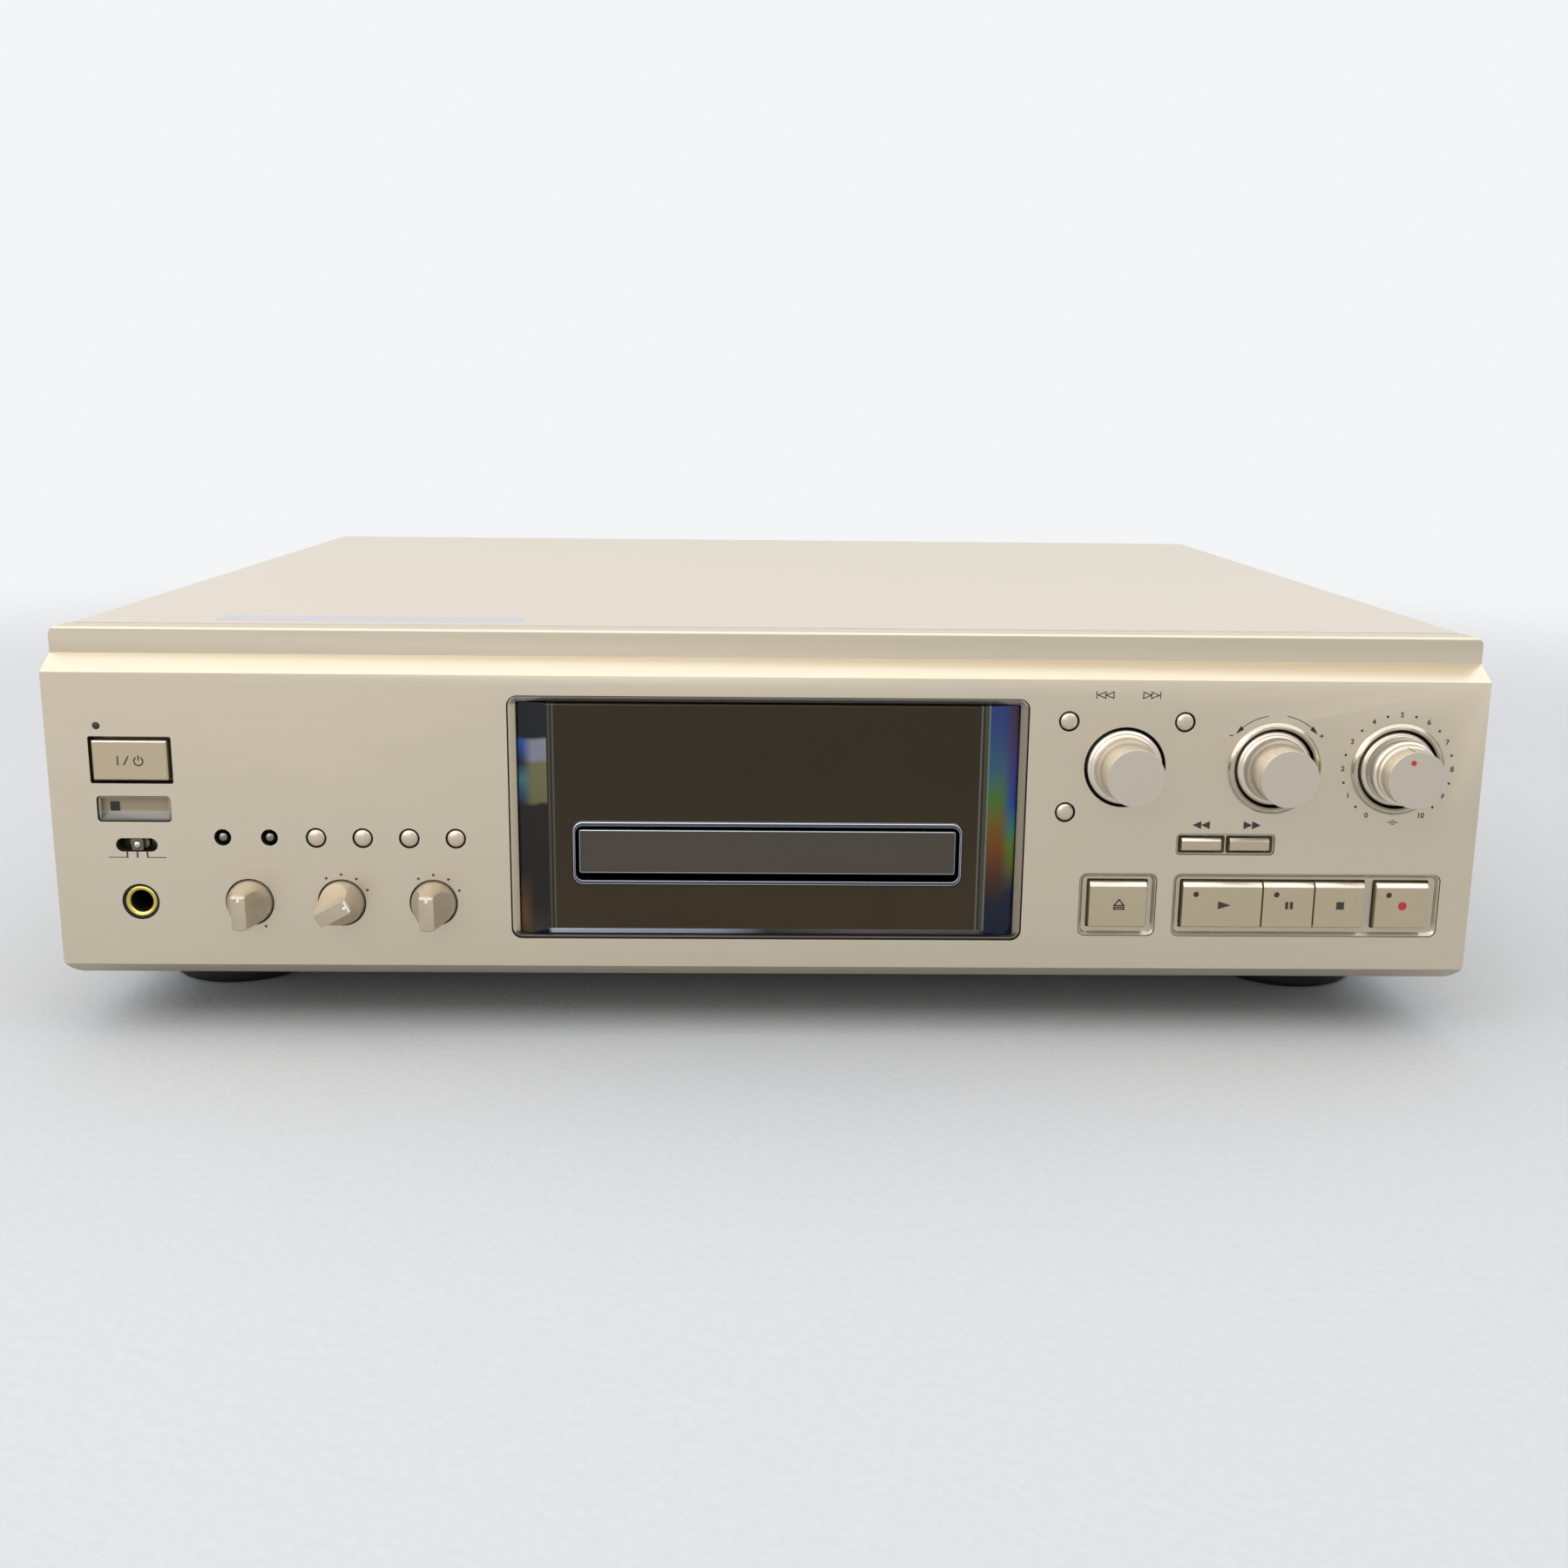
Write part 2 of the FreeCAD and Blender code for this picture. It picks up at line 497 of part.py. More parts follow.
def fascia_openings():
    deep = FASCIA_T + 1
    cuts = [plate(WINDOW_X, WINDOW_Z, WINDOW_W, WINDOW_H, WINDOW_R, -1, deep),
            plate(COLUMN_X, POWER_Z, POWER_W, POWER_H, 0.6, -1, deep),
            plate(COLUMN_X, IR_Z, IR_W, IR_H, IR_R, -1, deep),
            plate(COLUMN_X, TIMER_Z, TIMER_W, TIMER_H, TIMER_H / 2, -1, deep),
            plate(EJECT_X, KEYS_Z, EJECT_BEZEL_W, BEZEL_H, BEZEL_R, -1, deep),
            plate(SEARCH_X, SEARCH_Z, SEARCH_W, SEARCH_H, SEARCH_R, -1, deep)]
    middle = TRANSPORT_X0 + TRANSPORT_W / 2
    cuts.append(plate(middle, KEYS_Z, TRANSPORT_W, BEZEL_H, BEZEL_R, -1, deep))
    cuts += [rod(x, z, hole_of(name), -1, deep) for name, x, z in button_places()]
    cuts += [rod(x, POINTER_Z, POINTER_HOLE_R, -1, deep) for name, x in pointer_places()]
    cuts += [rod(x, KNOB_Z, KNOB_HOLE_R, -1, deep) for x in (JOG_X, LEVEL_X, ANALOG_X)]
    cuts.append(rod(COLUMN_X, PHONES_Z, PHONES_HOLE_R, -1, deep))
    cuts.append(rod(COLUMN_X - LAMP_SIDE, LAMP_Z, LAMP_R, -1, deep))
    cuts += [post(x, FASCIA_D / 2, SCREW_R + GAP / 2, FOOT_H - 1, FOOT_H + LIP_T + 1)
             for x in lip_screws_x()]
    return cuts


def lip_screws_x():
    return [LEFT + LIP_SCREW_IN, LEFT / 3, RIGHT / 3, RIGHT - LIP_SCREW_IN]


def fascia():
    return fascia_blank().cut(fascia_openings())


def sub_panel():
    """Moulded frame behind the fascia: web, rim, bosses for the board and guides for the stems."""
    half = RIGHT - LIP_T - SEAT
    low = FOOT_H + LIP_T + SEAT
    high = FACE_TOP - BAND_T
    rim_back = FRAME_Y - SEAT
    web = box(-half, half, PANEL_Y, PANEL_BACK, low, high)
    rim = box(-half, half, FASCIA_T + SEAT, rim_back, low, high)
    rim = rim.cut(box(PANEL_RIM - half, half - PANEL_RIM, 0, rim_back + 1, low + PANEL_RIM,
                      high - PANEL_RIM))
    bosses = [rod(x, z, BOSS_R, PANEL_BACK - 0.5, BOARD_Y) for x, z in board_bosses()]
    body = joined([web, rim] + bosses)
    return body.cut(sub_panel_openings())


def board_bosses():
    columns = (LEFT + BOSS_IN, WINDOW_LEFT - BOSS_SIDE, WINDOW_RIGHT + BOSS_SIDE, RIGHT - BOSS_IN)
    return [(x, z) for x in columns for z in (FACE_BOTTOM + BOSS_LOW, FACE_TOP - BOSS_HIGH)]


def sub_panel_openings():
    y0, y1 = PANEL_Y - 1, PANEL_BACK + 1
    barrel_w = SLOT_W + 2 * SLOT_WALL + 2 * SEAT
    barrel_h = SLOT_H + 2 * SLOT_WALL + 2 * SEAT
    cuts = [plate(WINDOW_X, SLOT_Z, barrel_w, barrel_h, 0, y0, y1), display_opening(y0, y1)]
    cuts += [rod(x, z, STEM_R + GAP, y0, y1) for name, x, z in button_places()]
    cuts += [rod(x, z, STEM_R + GAP, y0, y1) for name, x, z in key_middles()]
    cuts += [rod(x, POINTER_Z, SHAFT_R + BUSH_T + SEAT, y0, y1) for name, x in pointer_places()]
    cuts += [rod(x, KNOB_Z, 2 * SHAFT_R, y0, y1) for x in (JOG_X, LEVEL_X, ANALOG_X)]
    cuts.append(plate(COLUMN_X, IR_Z, IR_W - 4, IR_H - 2, 0, y0, y1))
    cuts.append(plate(COLUMN_X, TIMER_Z, TIMER_W, TIMER_H, 0, y0, y1))
    cuts.append(rod(COLUMN_X, PHONES_Z, PHONES_HOLE_R + 2.4, y0, y1))
    return cuts


def display_opening(y0, y1):
    """The cut above the tray, where the display shines through."""
    low = SLOT_Z + SLOT_H / 2 + 3.0
    high = WINDOW_Z + WINDOW_H / 2 - 5.0
    half = WINDOW_W / 2 - 8.0
    return box(WINDOW_X - half, WINDOW_X + half, y0, y1, low, high)


def window_frame():
    """Thin ring between the fascia and the glass block, with a face that slopes inwards."""
    w, h = WINDOW_W - 2 * SEAT, WINDOW_H - 2 * SEAT
    inner_w, inner_h, inner_z = w - 2 * FRAME_W, FRAME_Z1 - FRAME_Z0, (FRAME_Z0 + FRAME_Z1) / 2
    ring = plate(WINDOW_X, WINDOW_Z, w, h, WINDOW_R - SEAT, FRAME_SINK, PANEL_Y - SEAT)
    mouth = outline(WINDOW_X, WINDOW_Z, w - 1.0, h - 1.0, WINDOW_R - 0.7, FRAME_SINK - 0.01)
    throat = outline(WINDOW_X, inner_z, inner_w, inner_h, FRAME_IN_R, FRAME_SINK + 1.4)
    bore = plate(WINDOW_X, inner_z, inner_w, inner_h, FRAME_IN_R, 0, PANEL_Y)
    return ring.cut([Part.makeLoft([mouth, throat], True, True), bore])


def window_block():
    """Thick smoked block with facets all round and a slot for the tray."""
    y0 = BLOCK_Y
    x0, x1 = WINDOW_LEFT + 2 * SEAT + FRAME_W, WINDOW_RIGHT - 2 * SEAT - FRAME_W
    block = box(x0, x1, y0, y0 + BLOCK_D, BLOCK_Z0, BLOCK_Z1)
    facets = [flat([(x, y0), (x + inwards, y0), (x, y0 + FACET_D)], BLOCK_Z0, BLOCK_Z1)
              for x, inwards in ((x0, FACET_X), (x1, -FACET_X))]
    facets += [across([(y0, z), (y0, z + upwards), (y0 + deep, z)], x0, x1)
               for z, upwards, deep in ((BLOCK_Z0, FACET_LOW, FACET_LOW_D),
                                        (BLOCK_Z1, -FACET_HIGH, FACET_HIGH))]
    slot = plate(WINDOW_X, SLOT_Z, SLOT_W + 2 * (SLOT_WALL + SEAT), SLOT_H + 2 * (SLOT_WALL + SEAT),
                 SLOT_R + SLOT_WALL, -1, PANEL_Y)
    return block.cut(facets + [slot])


def tray_bezel():
    """Metal lining of the slot: a rounded rim outside, a thin barrel through the block."""
    rim_w, rim_h = SLOT_W + 2 * SLOT_RIM, SLOT_H + 2 * SLOT_RIM + 1.0
    rim = tapered(WINDOW_X, SLOT_Z, (rim_w - 0.8, rim_h - 0.8, SLOT_R + 0.5),
                  (rim_w, rim_h, SLOT_R + 0.9), BLOCK_Y - 0.9, BLOCK_Y - 0.4)
    foot = plate(WINDOW_X, SLOT_Z, rim_w, rim_h, SLOT_R + 0.9, BLOCK_Y - 0.4, BLOCK_Y)
    barrel = plate(WINDOW_X, SLOT_Z, SLOT_W + 2 * SLOT_WALL, SLOT_H + 2 * SLOT_WALL,
                   SLOT_R + SLOT_WALL, BLOCK_Y - 0.4, PANEL_BACK)
    bore = plate(WINDOW_X, SLOT_Z, SLOT_W, SLOT_H, SLOT_R, -2, PANEL_BACK + 1)
    return joined([rim, foot, barrel]).cut(bore)


def sunk_bezel(x, z, w, h, r, pockets):
    """Recess liner: sloped border, flat floor and one pocket per key or group of keys."""
    shell = plate(x, z, w - 2 * SEAT, h - 2 * SEAT, r - SEAT, 0.2, FASCIA_T + 0.1)
    floor_w, floor_h = w - 2 * BEZEL_SLOPE, h - 2 * BEZEL_SLOPE
    sink = tapered(x, z, (w - 2 * SEAT - 0.4, h - 2 * SEAT - 0.4, r - 0.4),
                   (floor_w, floor_h, r - 0.8), 0.19, BEZEL_SINK)
    return shell.cut([sink] + pockets)


def pocket(x0, x1):
    g = KEY_GAP
    return plate((x0 + x1) / 2, KEY_Z, x1 - x0 + 2 * g, KEY_H + 2 * g, 0.5, -1, FASCIA_T + 1)


def key_bezels():
    eject = sunk_bezel(EJECT_X, KEYS_Z, EJECT_BEZEL_W, BEZEL_H, BEZEL_R,
                       [pocket(EJECT_X - EJECT_W / 2, EJECT_X + EJECT_W / 2)])
    transport = sunk_bezel(TRANSPORT_X0 + TRANSPORT_W / 2, KEYS_Z, TRANSPORT_W, BEZEL_H, BEZEL_R,
                           [pocket(PLAY_X, STOP_X + STOP_W), pocket(RECORD_X, RECORD_X + RECORD_W)])
    liner_h = SEARCH_H - 2 * SEAT
    liner = plate(SEARCH_X, SEARCH_Z, SEARCH_W - 2 * SEAT, liner_h, SEARCH_R - SEAT,
                  0.4, FASCIA_T + 0.1)
    pockets = [plate(x, SEARCH_Z, SEARCH_PITCH - SEARCH_WALL, liner_h - 2 * SEARCH_WALL,
                     SEARCH_R - SEAT - SEARCH_WALL, -1, FASCIA_T + 1) for name, x in search_places()]
    return Part.makeCompound([eject, transport, liner.cut(pockets)])


def level_rings():
    """Polished rings around the two level knobs, pressed into the fascia."""
    rings = []
    for x in (LEVEL_X, ANALOG_X):
        inside = SKIRT_R + 0.9
        profile = [(inside, FASCIA_T), (inside, -RING_PROUD + 0.5), (inside + 0.5, -RING_PROUD),
                   (RING_R - 0.9, -RING_PROUD), (RING_R, -0.4), (RING_R, -0.02),
                   (KNOB_HOLE_R - 0.03, -0.02), (KNOB_HOLE_R - 0.03, FASCIA_T)]
        rings.append(turned(x, KNOB_Z, profile))
    return Part.makeCompound(rings)


def ir_window():
    """Smoked lens of the remote sensor: a shallow tray with a sloped lower half."""
    lens = plate(COLUMN_X, IR_Z, IR_W - 2 * SEAT, IR_H - 2 * SEAT, IR_R - SEAT, 0.6, FASCIA_T + 0.3)
    flange = plate(COLUMN_X, IR_Z, IR_W + 3, IR_H + 3, IR_R, FASCIA_T + SEAT, FASCIA_T + 1.5)
    half = IR_W / 2 - 1.0
    low, high = IR_Z - IR_H / 2 + 0.7, IR_Z + IR_H / 2 - 0.7
    scoop = across([(0, low), (0.9, low), (IR_SINK, IR_Z - IR_BREAK), (IR_SINK, high), (0, high)],
                   COLUMN_X - half, COLUMN_X + half)
    return lens.fuse(flange).removeSplitter().cut(scoop)


def phones_jack():
    """Barrel of the 6.3 mm socket with its body on the front board."""
    barrel = rod(COLUMN_X, PHONES_Z, PHONES_HOLE_R - SEAT, 0.4, PANEL_BACK + 2 * SEAT)
    body = plate(COLUMN_X, PHONES_Z, PHONES_W, PHONES_H, 0, PANEL_BACK + SEAT, PHONES_D)
    mouth = rod(COLUMN_X, PHONES_Z, PHONES_RING_R + SEAT, 0, 1.6)
    bore = rod(COLUMN_X, PHONES_Z, PHONES_BORE_R, 0, PHONES_D - 2)
    return joined([barrel, body]).cut([mouth, bore])


def phones_ring():
    """Plated ring in the mouth of the socket."""
    profile = [(PHONES_BORE_R, 1.55), (PHONES_BORE_R, 0.9), (PHONES_BORE_R + 0.5, 0.3),
               (PHONES_RING_R - 0.3, 0.1), (PHONES_RING_R, 0.4), (PHONES_RING_R, 1.55)]
    return turned(COLUMN_X, PHONES_Z, profile)


# ---- keys, buttons and the lever ----------------------------------------------------
def stem(x, z, y0):
    return rod(x, z, STEM_R, y0, SWITCH_Y - TRAVEL - 0.1)


def key_cap(x, z, w, h, front, bevel_z, bevel_y):
    """Rectangular cap with a bevel along its top edge."""
    back = FASCIA_T + GAP + 0.1
    top, low = z + h / 2, z - h / 2
    profile = [(front, low + 0.25), (front, top - bevel_z), (front + bevel_y, top),
               (back, top), (back, low), (front + 0.25, low)]
    return across(profile, x - w / 2, x + w / 2)


def push_key(x, w, reach):
    """Cap, stop flange behind the fascia, and stem to the switch."""
    back = FASCIA_T + GAP
    cap = key_cap(x, KEY_Z, w, KEY_H, -KEY_PROUD, KEY_BEVEL_Z, KEY_BEVEL_Y)
    flange = plate(x, KEY_Z, w + 2 * reach, KEY_H + 2 * KEY_FLANGE, 0, back, back + KEY_FLANGE)
    return joined([cap, flange, stem(x, KEY_Z, back)])


def power_key():
    w, h = POWER_W - 2 * POWER_GAP, POWER_H - 2 * POWER_GAP
    cap = tapered(COLUMN_X, POWER_Z, (w - 0.8, h - 0.8, 0.2), (w, h, 0.4), -0.8, -0.4)
    body = plate(COLUMN_X, POWER_Z, w, h, 0.4, -0.4, FASCIA_T + GAP + 0.1)
    flange = plate(COLUMN_X, POWER_Z, POWER_W + 2, POWER_H + 2, 0, FASCIA_T + GAP,
                   FASCIA_T + GAP + KEY_FLANGE)
    return joined([cap, body, flange, stem(COLUMN_X, POWER_Z, FASCIA_T + GAP)])


def search_key(x):
    back = FASCIA_T + GAP
    cap = key_cap(x, SEARCH_Z, SEARCH_KEY_W, SEARCH_KEY_H, -GAP, SEARCH_BEVEL, SEARCH_BEVEL)
    flange = plate(x, SEARCH_Z, SEARCH_PITCH - 2 * GAP, SEARCH_H + 2 * KEY_FLANGE, 0,
                   back, back + KEY_FLANGE)
    return joined([cap, flange, stem(x, SEARCH_Z, back)])


def round_button(x, z, r, hole, proud):
    """Domed button with a flange behind its hole."""
    back = FASCIA_T + GAP
    top = -proud
    profile = [(0, top), (r * 0.45, top + 0.08), (r * 0.8, top + 0.3), (r, top + 0.8), (r, back),
               (hole + KEY_FLANGE, back), (hole + KEY_FLANGE, back + KEY_FLANGE),
               (STEM_R, back + KEY_FLANGE), (STEM_R, SWITCH_Y - TRAVEL - 0.1),
               (0, SWITCH_Y - TRAVEL - 0.1)]
    return turned(x, z, profile)


def timer_lever():
    """Thumb piece on a carrier that slides behind the fascia."""
    back = FASCIA_T + GAP
    w = TIMER_W - 2 * TIMER_STEP - 2 * GAP
    thumb = plate(COLUMN_X, TIMER_Z, TIMER_THUMB, TIMER_H - 2 * GAP, 0.5, 0.6, back + 0.1)
    waist = plate(COLUMN_X, TIMER_Z, w, TIMER_H - 2 * GAP, TIMER_H / 2 - GAP, 2.6, back + 0.1)
    carrier = plate(COLUMN_X, TIMER_Z, TIMER_W + 2 * TIMER_STEP, TIMER_H + 2, 0, back, back + 1.2)
    leg = plate(COLUMN_X, TIMER_Z, LEG_X, LEG_Z, 0, back + 1.1, BOARD_Y - 4.0)
    return joined([thumb, waist, carrier, leg])


# ---- knobs --------------------------------------------------------------------------
def pointer_knob(x, turn):
    """Round skirt with a bar grip, its two sides scooped out by a large cylinder."""
    front = -POINTER_PROUD
    profile = [(0, front), (POINTER_TIP_R - 0.3, front), (POINTER_TIP_R, front + 0.3),
               (POINTER_R - 0.2, -0.6), (POINTER_R, 0.2), (POINTER_R, FASCIA_T - 1),
               (SHAFT_R, FASCIA_T - 1), (SHAFT_R, BOARD_Y - 1.0), (0, BOARD_Y - 1.0)]
    knob = turned(x, POINTER_Z, profile)
    foot = POINTER_R - 0.2
    depth = POINTER_PROUD - 1.2
    half = POINTER_GRIP / 2
    across_x = (foot ** 2 + depth ** 2 - half ** 2) / (2 * (foot - half))
    radius = across_x - half
    scoops = [Part.makeCylinder(radius, 4 * POINTER_R, Vector(x + side * across_x, front,
              POINTER_Z - 2 * POINTER_R)) for side in (-1, 1)]
    return spin(knob.cut(scoops), x, POINTER_Z, turn)


def round_knob(x, skirt, barrel, cap, y_front, y_skirt, back, shaft):
    """Flared skirt, slightly conical barrel, flat cap with a small edge, and a shaft."""
    profile = [(0, y_front), (cap - 0.5, y_front), (cap, y_front + 0.5),
               (barrel, y_skirt - 4.0), (barrel + 0.35, y_skirt - 2.4),
               (barrel + 1.1, y_skirt - 1.3), (skirt - 0.5, y_skirt - 0.5), (skirt, y_skirt),
               (skirt, FASCIA_T - 1), (shaft, FASCIA_T - 1), (shaft, back), (0, back)]
    return turned(x, KNOB_Z, profile)


def jog_knob():
    """Turns on the plunger's pin, which stands in its blind hole."""
    knob = round_knob(JOG_X, SKIRT_R, KNOB_R, KNOB_CAP_R, -KNOB_PROUD, 0.2, PANEL_BACK + 1.0,
                      SHAFT_R)
    return knob.cut(rod(JOG_X, KNOB_Z, INNER_SHAFT_R + RUN, 0, PANEL_BACK + 2))


def jog_plunger():
    """Pin and disc inside the encoder, pressed back when the knob is pushed."""
    pin = rod(JOG_X, KNOB_Z, INNER_SHAFT_R, 1.0, PANEL_BACK + 1.5)
    disc = rod(JOG_X, KNOB_Z, SHAFT_R, PANEL_BACK + 1.3, BOARD_Y - JOG_PRESS - 1.0)
    return joined([pin, disc])


def level_knob():
    return round_knob(LEVEL_X, SKIRT_R, KNOB_R, KNOB_CAP_R, -KNOB_PROUD, -0.6, BOARD_Y - 1.0,
                      SHAFT_R)


def balance_knob():
    """The rear one of the two knobs on one axis, on a hollow shaft."""
    y_front = -REAR_KNOB_PROUD
    bore = INNER_SHAFT_R + RUN
    profile = [(bore, y_front), (REAR_KNOB_R - 0.6, y_front), (REAR_KNOB_R - 0.1, y_front + 0.6),
               (REAR_KNOB_R, -3.4), (REAR_KNOB_R + 0.5, -1.9), (SKIRT_R - 0.4, -1.1),
               (SKIRT_R, -0.6), (SKIRT_R, FASCIA_T - 1), (SHAFT_R, FASCIA_T - 1),
               (SHAFT_R, BOARD_Y - 2.0), (bore, BOARD_Y - 2.0)]
    return turned(ANALOG_X, KNOB_Z, profile)


def analog_knob():
    """The front one, on the solid inner shaft."""
    base = -REAR_KNOB_PROUD - GAP
    profile = [(0, -KNOB_PROUD), (KNOB_CAP_R - 0.5, -KNOB_PROUD), (KNOB_CAP_R, -KNOB_PROUD + 0.5),
               (KNOB_R - 0.1, base - 0.4), (KNOB_R - 0.5, base), (INNER_SHAFT_R, base),
               (INNER_SHAFT_R, BOARD_Y - 1.0), (0, BOARD_Y - 1.0)]
    return turned(ANALOG_X, KNOB_Z, profile)


# ---- front board and its parts ------------------------------------------------------
def front_board():
    low, high = FACE_BOTTOM + BOARD_LOW, FACE_TOP - BOARD_HIGH
    board = box(LEFT + BOARD_IN, RIGHT - BOARD_IN, BOARD_Y, BOARD_Y + BOARD_T, low, high)
    tray = plate(WINDOW_X, SLOT_Z, SLOT_W, SLOT_H, SLOT_R, BOARD_Y - 1, FRAME_Y)
    socket = plate(COLUMN_X, PHONES_Z, PHONES_W + 2 * SEAT, PHONES_H + 2 * SEAT, 0, BOARD_Y - 1,
                   FRAME_Y)
    return board.cut([tray, socket])


def control_body(x, z, w, shaft_r, back):
    """Square body on the board, with the bush that its shaft turns in."""
    body = plate(x, z, w, w, 0.8, PANEL_BACK + 0.8, back)
    bush = rod(x, z, shaft_r + BUSH_T, PANEL_Y, PANEL_BACK + 1.0)
    return joined([body, bush]).cut(rod(x, z, shaft_r + RUN, 0, back - 0.5))


def panel_controls():
    """Tact switches, the slide switch and the bodies of the rotary controls."""
    pieces = [plate(x, z, SWITCH_W, SWITCH_W, 0.4, SWITCH_Y, BOARD_Y)
              for name, x, z in button_places() + key_middles()]
    pieces += [control_body(x, POINTER_Z, SMALL_CONTROL_W, SHAFT_R, BOARD_Y)
               for name, x in pointer_places()]
    pieces += [control_body(x, KNOB_Z, CONTROL_W, SHAFT_R, BOARD_Y)
               for x in (JOG_X, LEVEL_X, ANALOG_X)]
    slot = plate(COLUMN_X, TIMER_Z, LEG_X + 2 * (TIMER_STEP + GAP), LEG_Z + GAP, 0, 0, BOARD_Y - 1.5)
    switch = plate(COLUMN_X, TIMER_Z, TIMER_BODY_W, TIMER_BODY_H, 0, BOARD_Y - TIMER_BODY_D, BOARD_Y)
    pieces.append(switch.cut(slot))
    return Part.makeCompound(pieces)


def display_tube():
    """Flat vacuum display: glass envelope with its seal tip, standing on the front board."""
    low = SLOT_Z + SLOT_H / 2 + 4.0
    high = WINDOW_Z + WINDOW_H / 2 - 6.0
    half = WINDOW_W / 2 - 9.0
    glass = box(WINDOW_X - half, WINDOW_X + half, PANEL_BACK + 0.3, BOARD_Y, low, high)
    tip = Part.makeCylinder(1.8, 5.0, Vector(WINDOW_X + half, BOARD_Y - 2.4, high - 6.0),
                            Vector(1, 0, 0))
    return joined([glass, tip])


# ---- tray and its drive -------------------------------------------------------------
def tray():
    """Sliding tray: pocket for the cartridge, side rails, and a rack under the left edge."""
    half = TRAY_W / 2
    end = TRAY_Y + TRAY_L
    body = box(-half, half, TRAY_Y, end, TRAY_UNDER, TRAY_TOP)
    rails = box(-half - RAIL_REACH, half + RAIL_REACH, TRAY_Y + RAIL_START, end, RAIL_Z,
                RAIL_Z + RAIL_T)
    disc = plate_down(0, DISC_Y, DISC_W, DISC_L, 1.0, TRAY_TOP - DISC_T, TRAY_TOP + 1)
    thumb = post(0, TRAY_Y + DISC_START, THUMB_R, TRAY_TOP - DISC_T, TRAY_TOP + 1)
    hub = plate_down(0, DISC_Y + HUB_BACK, HUB_W, HUB_L, 6.0, TRAY_UNDER - 1, TRAY_TOP)
    recess_y = DISC_Y + DISC_L / 2 + TRAY_WALL
    recess = plate_down(0, (recess_y + end - TRAY_WALL) / 2, TRAY_W - 4 * TRAY_WALL,
                        end - TRAY_WALL - recess_y, 3.0, TRAY_UNDER + RAIL_T, TRAY_TOP + 1)
    return joined([body, rack(), rails]).cut([disc, thumb, hub, recess])


def tray_door():
    """Glossy front of the tray, with a fine chamfer all round."""
    cap = tapered(0, SLOT_Z, (DOOR_W - 0.8, DOOR_H - 0.8, DOOR_R - 0.2), (DOOR_W, DOOR_H, DOOR_R),
                  DOOR_Y, DOOR_Y + 0.4)
    return joined([cap, plate(0, SLOT_Z, DOOR_W, DOOR_H, DOOR_R, DOOR_Y + 0.4, TRAY_Y)])


def plate_down(x, y, w, d, r, z0, z1):
    """Rounded rectangle seen from above, from z0 up to z1."""
    shape = plate(0, 0, w, d, r, 0, z1 - z0)
    shape.rotate(Vector(0, 0, 0), Vector(1, 0, 0), 90)
    shape.translate(Vector(x, y, z0))
    return shape


def tooth_half(module):
    """Half the thickness of a tooth at its pitch line."""
    return (math.pi * module / 2 - BACKLASH) / 2


def rack():
    """Straight-flanked teeth that face the gear, on a rib under the tray."""
    pitch = math.pi * MODULE
    first = -3
    last = math.ceil(TRAY_STROKE / pitch) + 3
    tip, root = RACK_X - ADDENDUM * MODULE, RACK_X + DEDENDUM * MODULE
    half = tooth_half(MODULE)
    at_tip = half - ADDENDUM * MODULE * math.tan(PRESSURE)
    at_root = half + DEDENDUM * MODULE * math.tan(PRESSURE)
    profile = []
    for i in range(first, last):
        middle = GEAR_Y + (i + 0.5) * pitch
        profile += [(root, middle - at_root), (tip, middle - at_tip), (tip, middle + at_tip),
                    (root, middle + at_root)]
    back = root + RACK_T
    profile += [(back, profile[-1][1]), (back, profile[0][1])]
    return flat(profile, GEAR_Z, TRAY_UNDER + 0.1)


def involute(alpha):
    return math.tan(alpha) - alpha


def gear_outline(teeth, turn):
    """Points of a spur gear about the origin; one tooth points along the angle turn."""
    pitch_r = MODULE * teeth / 2
    base_r = pitch_r * math.cos(PRESSURE)
    tip_r = pitch_r + ADDENDUM * MODULE
    root_r = pitch_r - DEDENDUM * MODULE
    half_pitch = tooth_half(MODULE) / pitch_r
    start_r = max(base_r, root_r)
    flank = [start_r + (tip_r - start_r) * i / 3 for i in range(4)]
    offsets = [half_pitch + involute(PRESSURE) - involute(math.acos(min(1.0, base_r / r)))
               for r in flank]
    side = [(root_r, offsets[0])] if root_r < start_r - 0.01 else []
    side += list(zip(flank, offsets))
    points = []
    for tooth in range(teeth):
        middle = turn + 2 * math.pi * tooth / teeth
        points += [(r * math.cos(middle - a), r * math.sin(middle - a)) for r, a in side]
        points += [(r * math.cos(middle + a), r * math.sin(middle + a)) for r, a in reversed(side)]
    return points


def placed(points, x, y):
    return [(x + u, y + v) for u, v in points]


def motor_gear_turn():
    """Angle of the motor gear that puts one of its gaps on the loading gear's tooth."""
    step = 2 * math.pi / GEAR_TEETH
    lag = (math.pi / 2) % step
    return -math.pi / 2 + lag * GEAR_TEETH / MOTOR_TEETH + math.pi / MOTOR_TEETH


def loading_gear():
    teeth = flat(placed(gear_outline(GEAR_TEETH, 0.0), GEAR_X, GEAR_Y), GEAR_Z, GEAR_TOP)
    hub = post(GEAR_X, GEAR_Y, 2 * PIN_POST_R + GAP, DECK_Z + GAP, GEAR_Z + 0.1)
    web_out, web_in = GEAR_R - 3 * MODULE, GEAR_R / 2
    web = post(GEAR_X, GEAR_Y, web_out, GEAR_TOP - 0.8, GEAR_TOP + 1)
    web = web.cut(post(GEAR_X, GEAR_Y, web_in, GEAR_Z, GEAR_TOP + 2))
    bore = post(GEAR_X, GEAR_Y, PIN_POST_R + RUN, DECK_Z - 1, GEAR_TOP + 1)
    return joined([teeth, hub]).cut([bore, web])


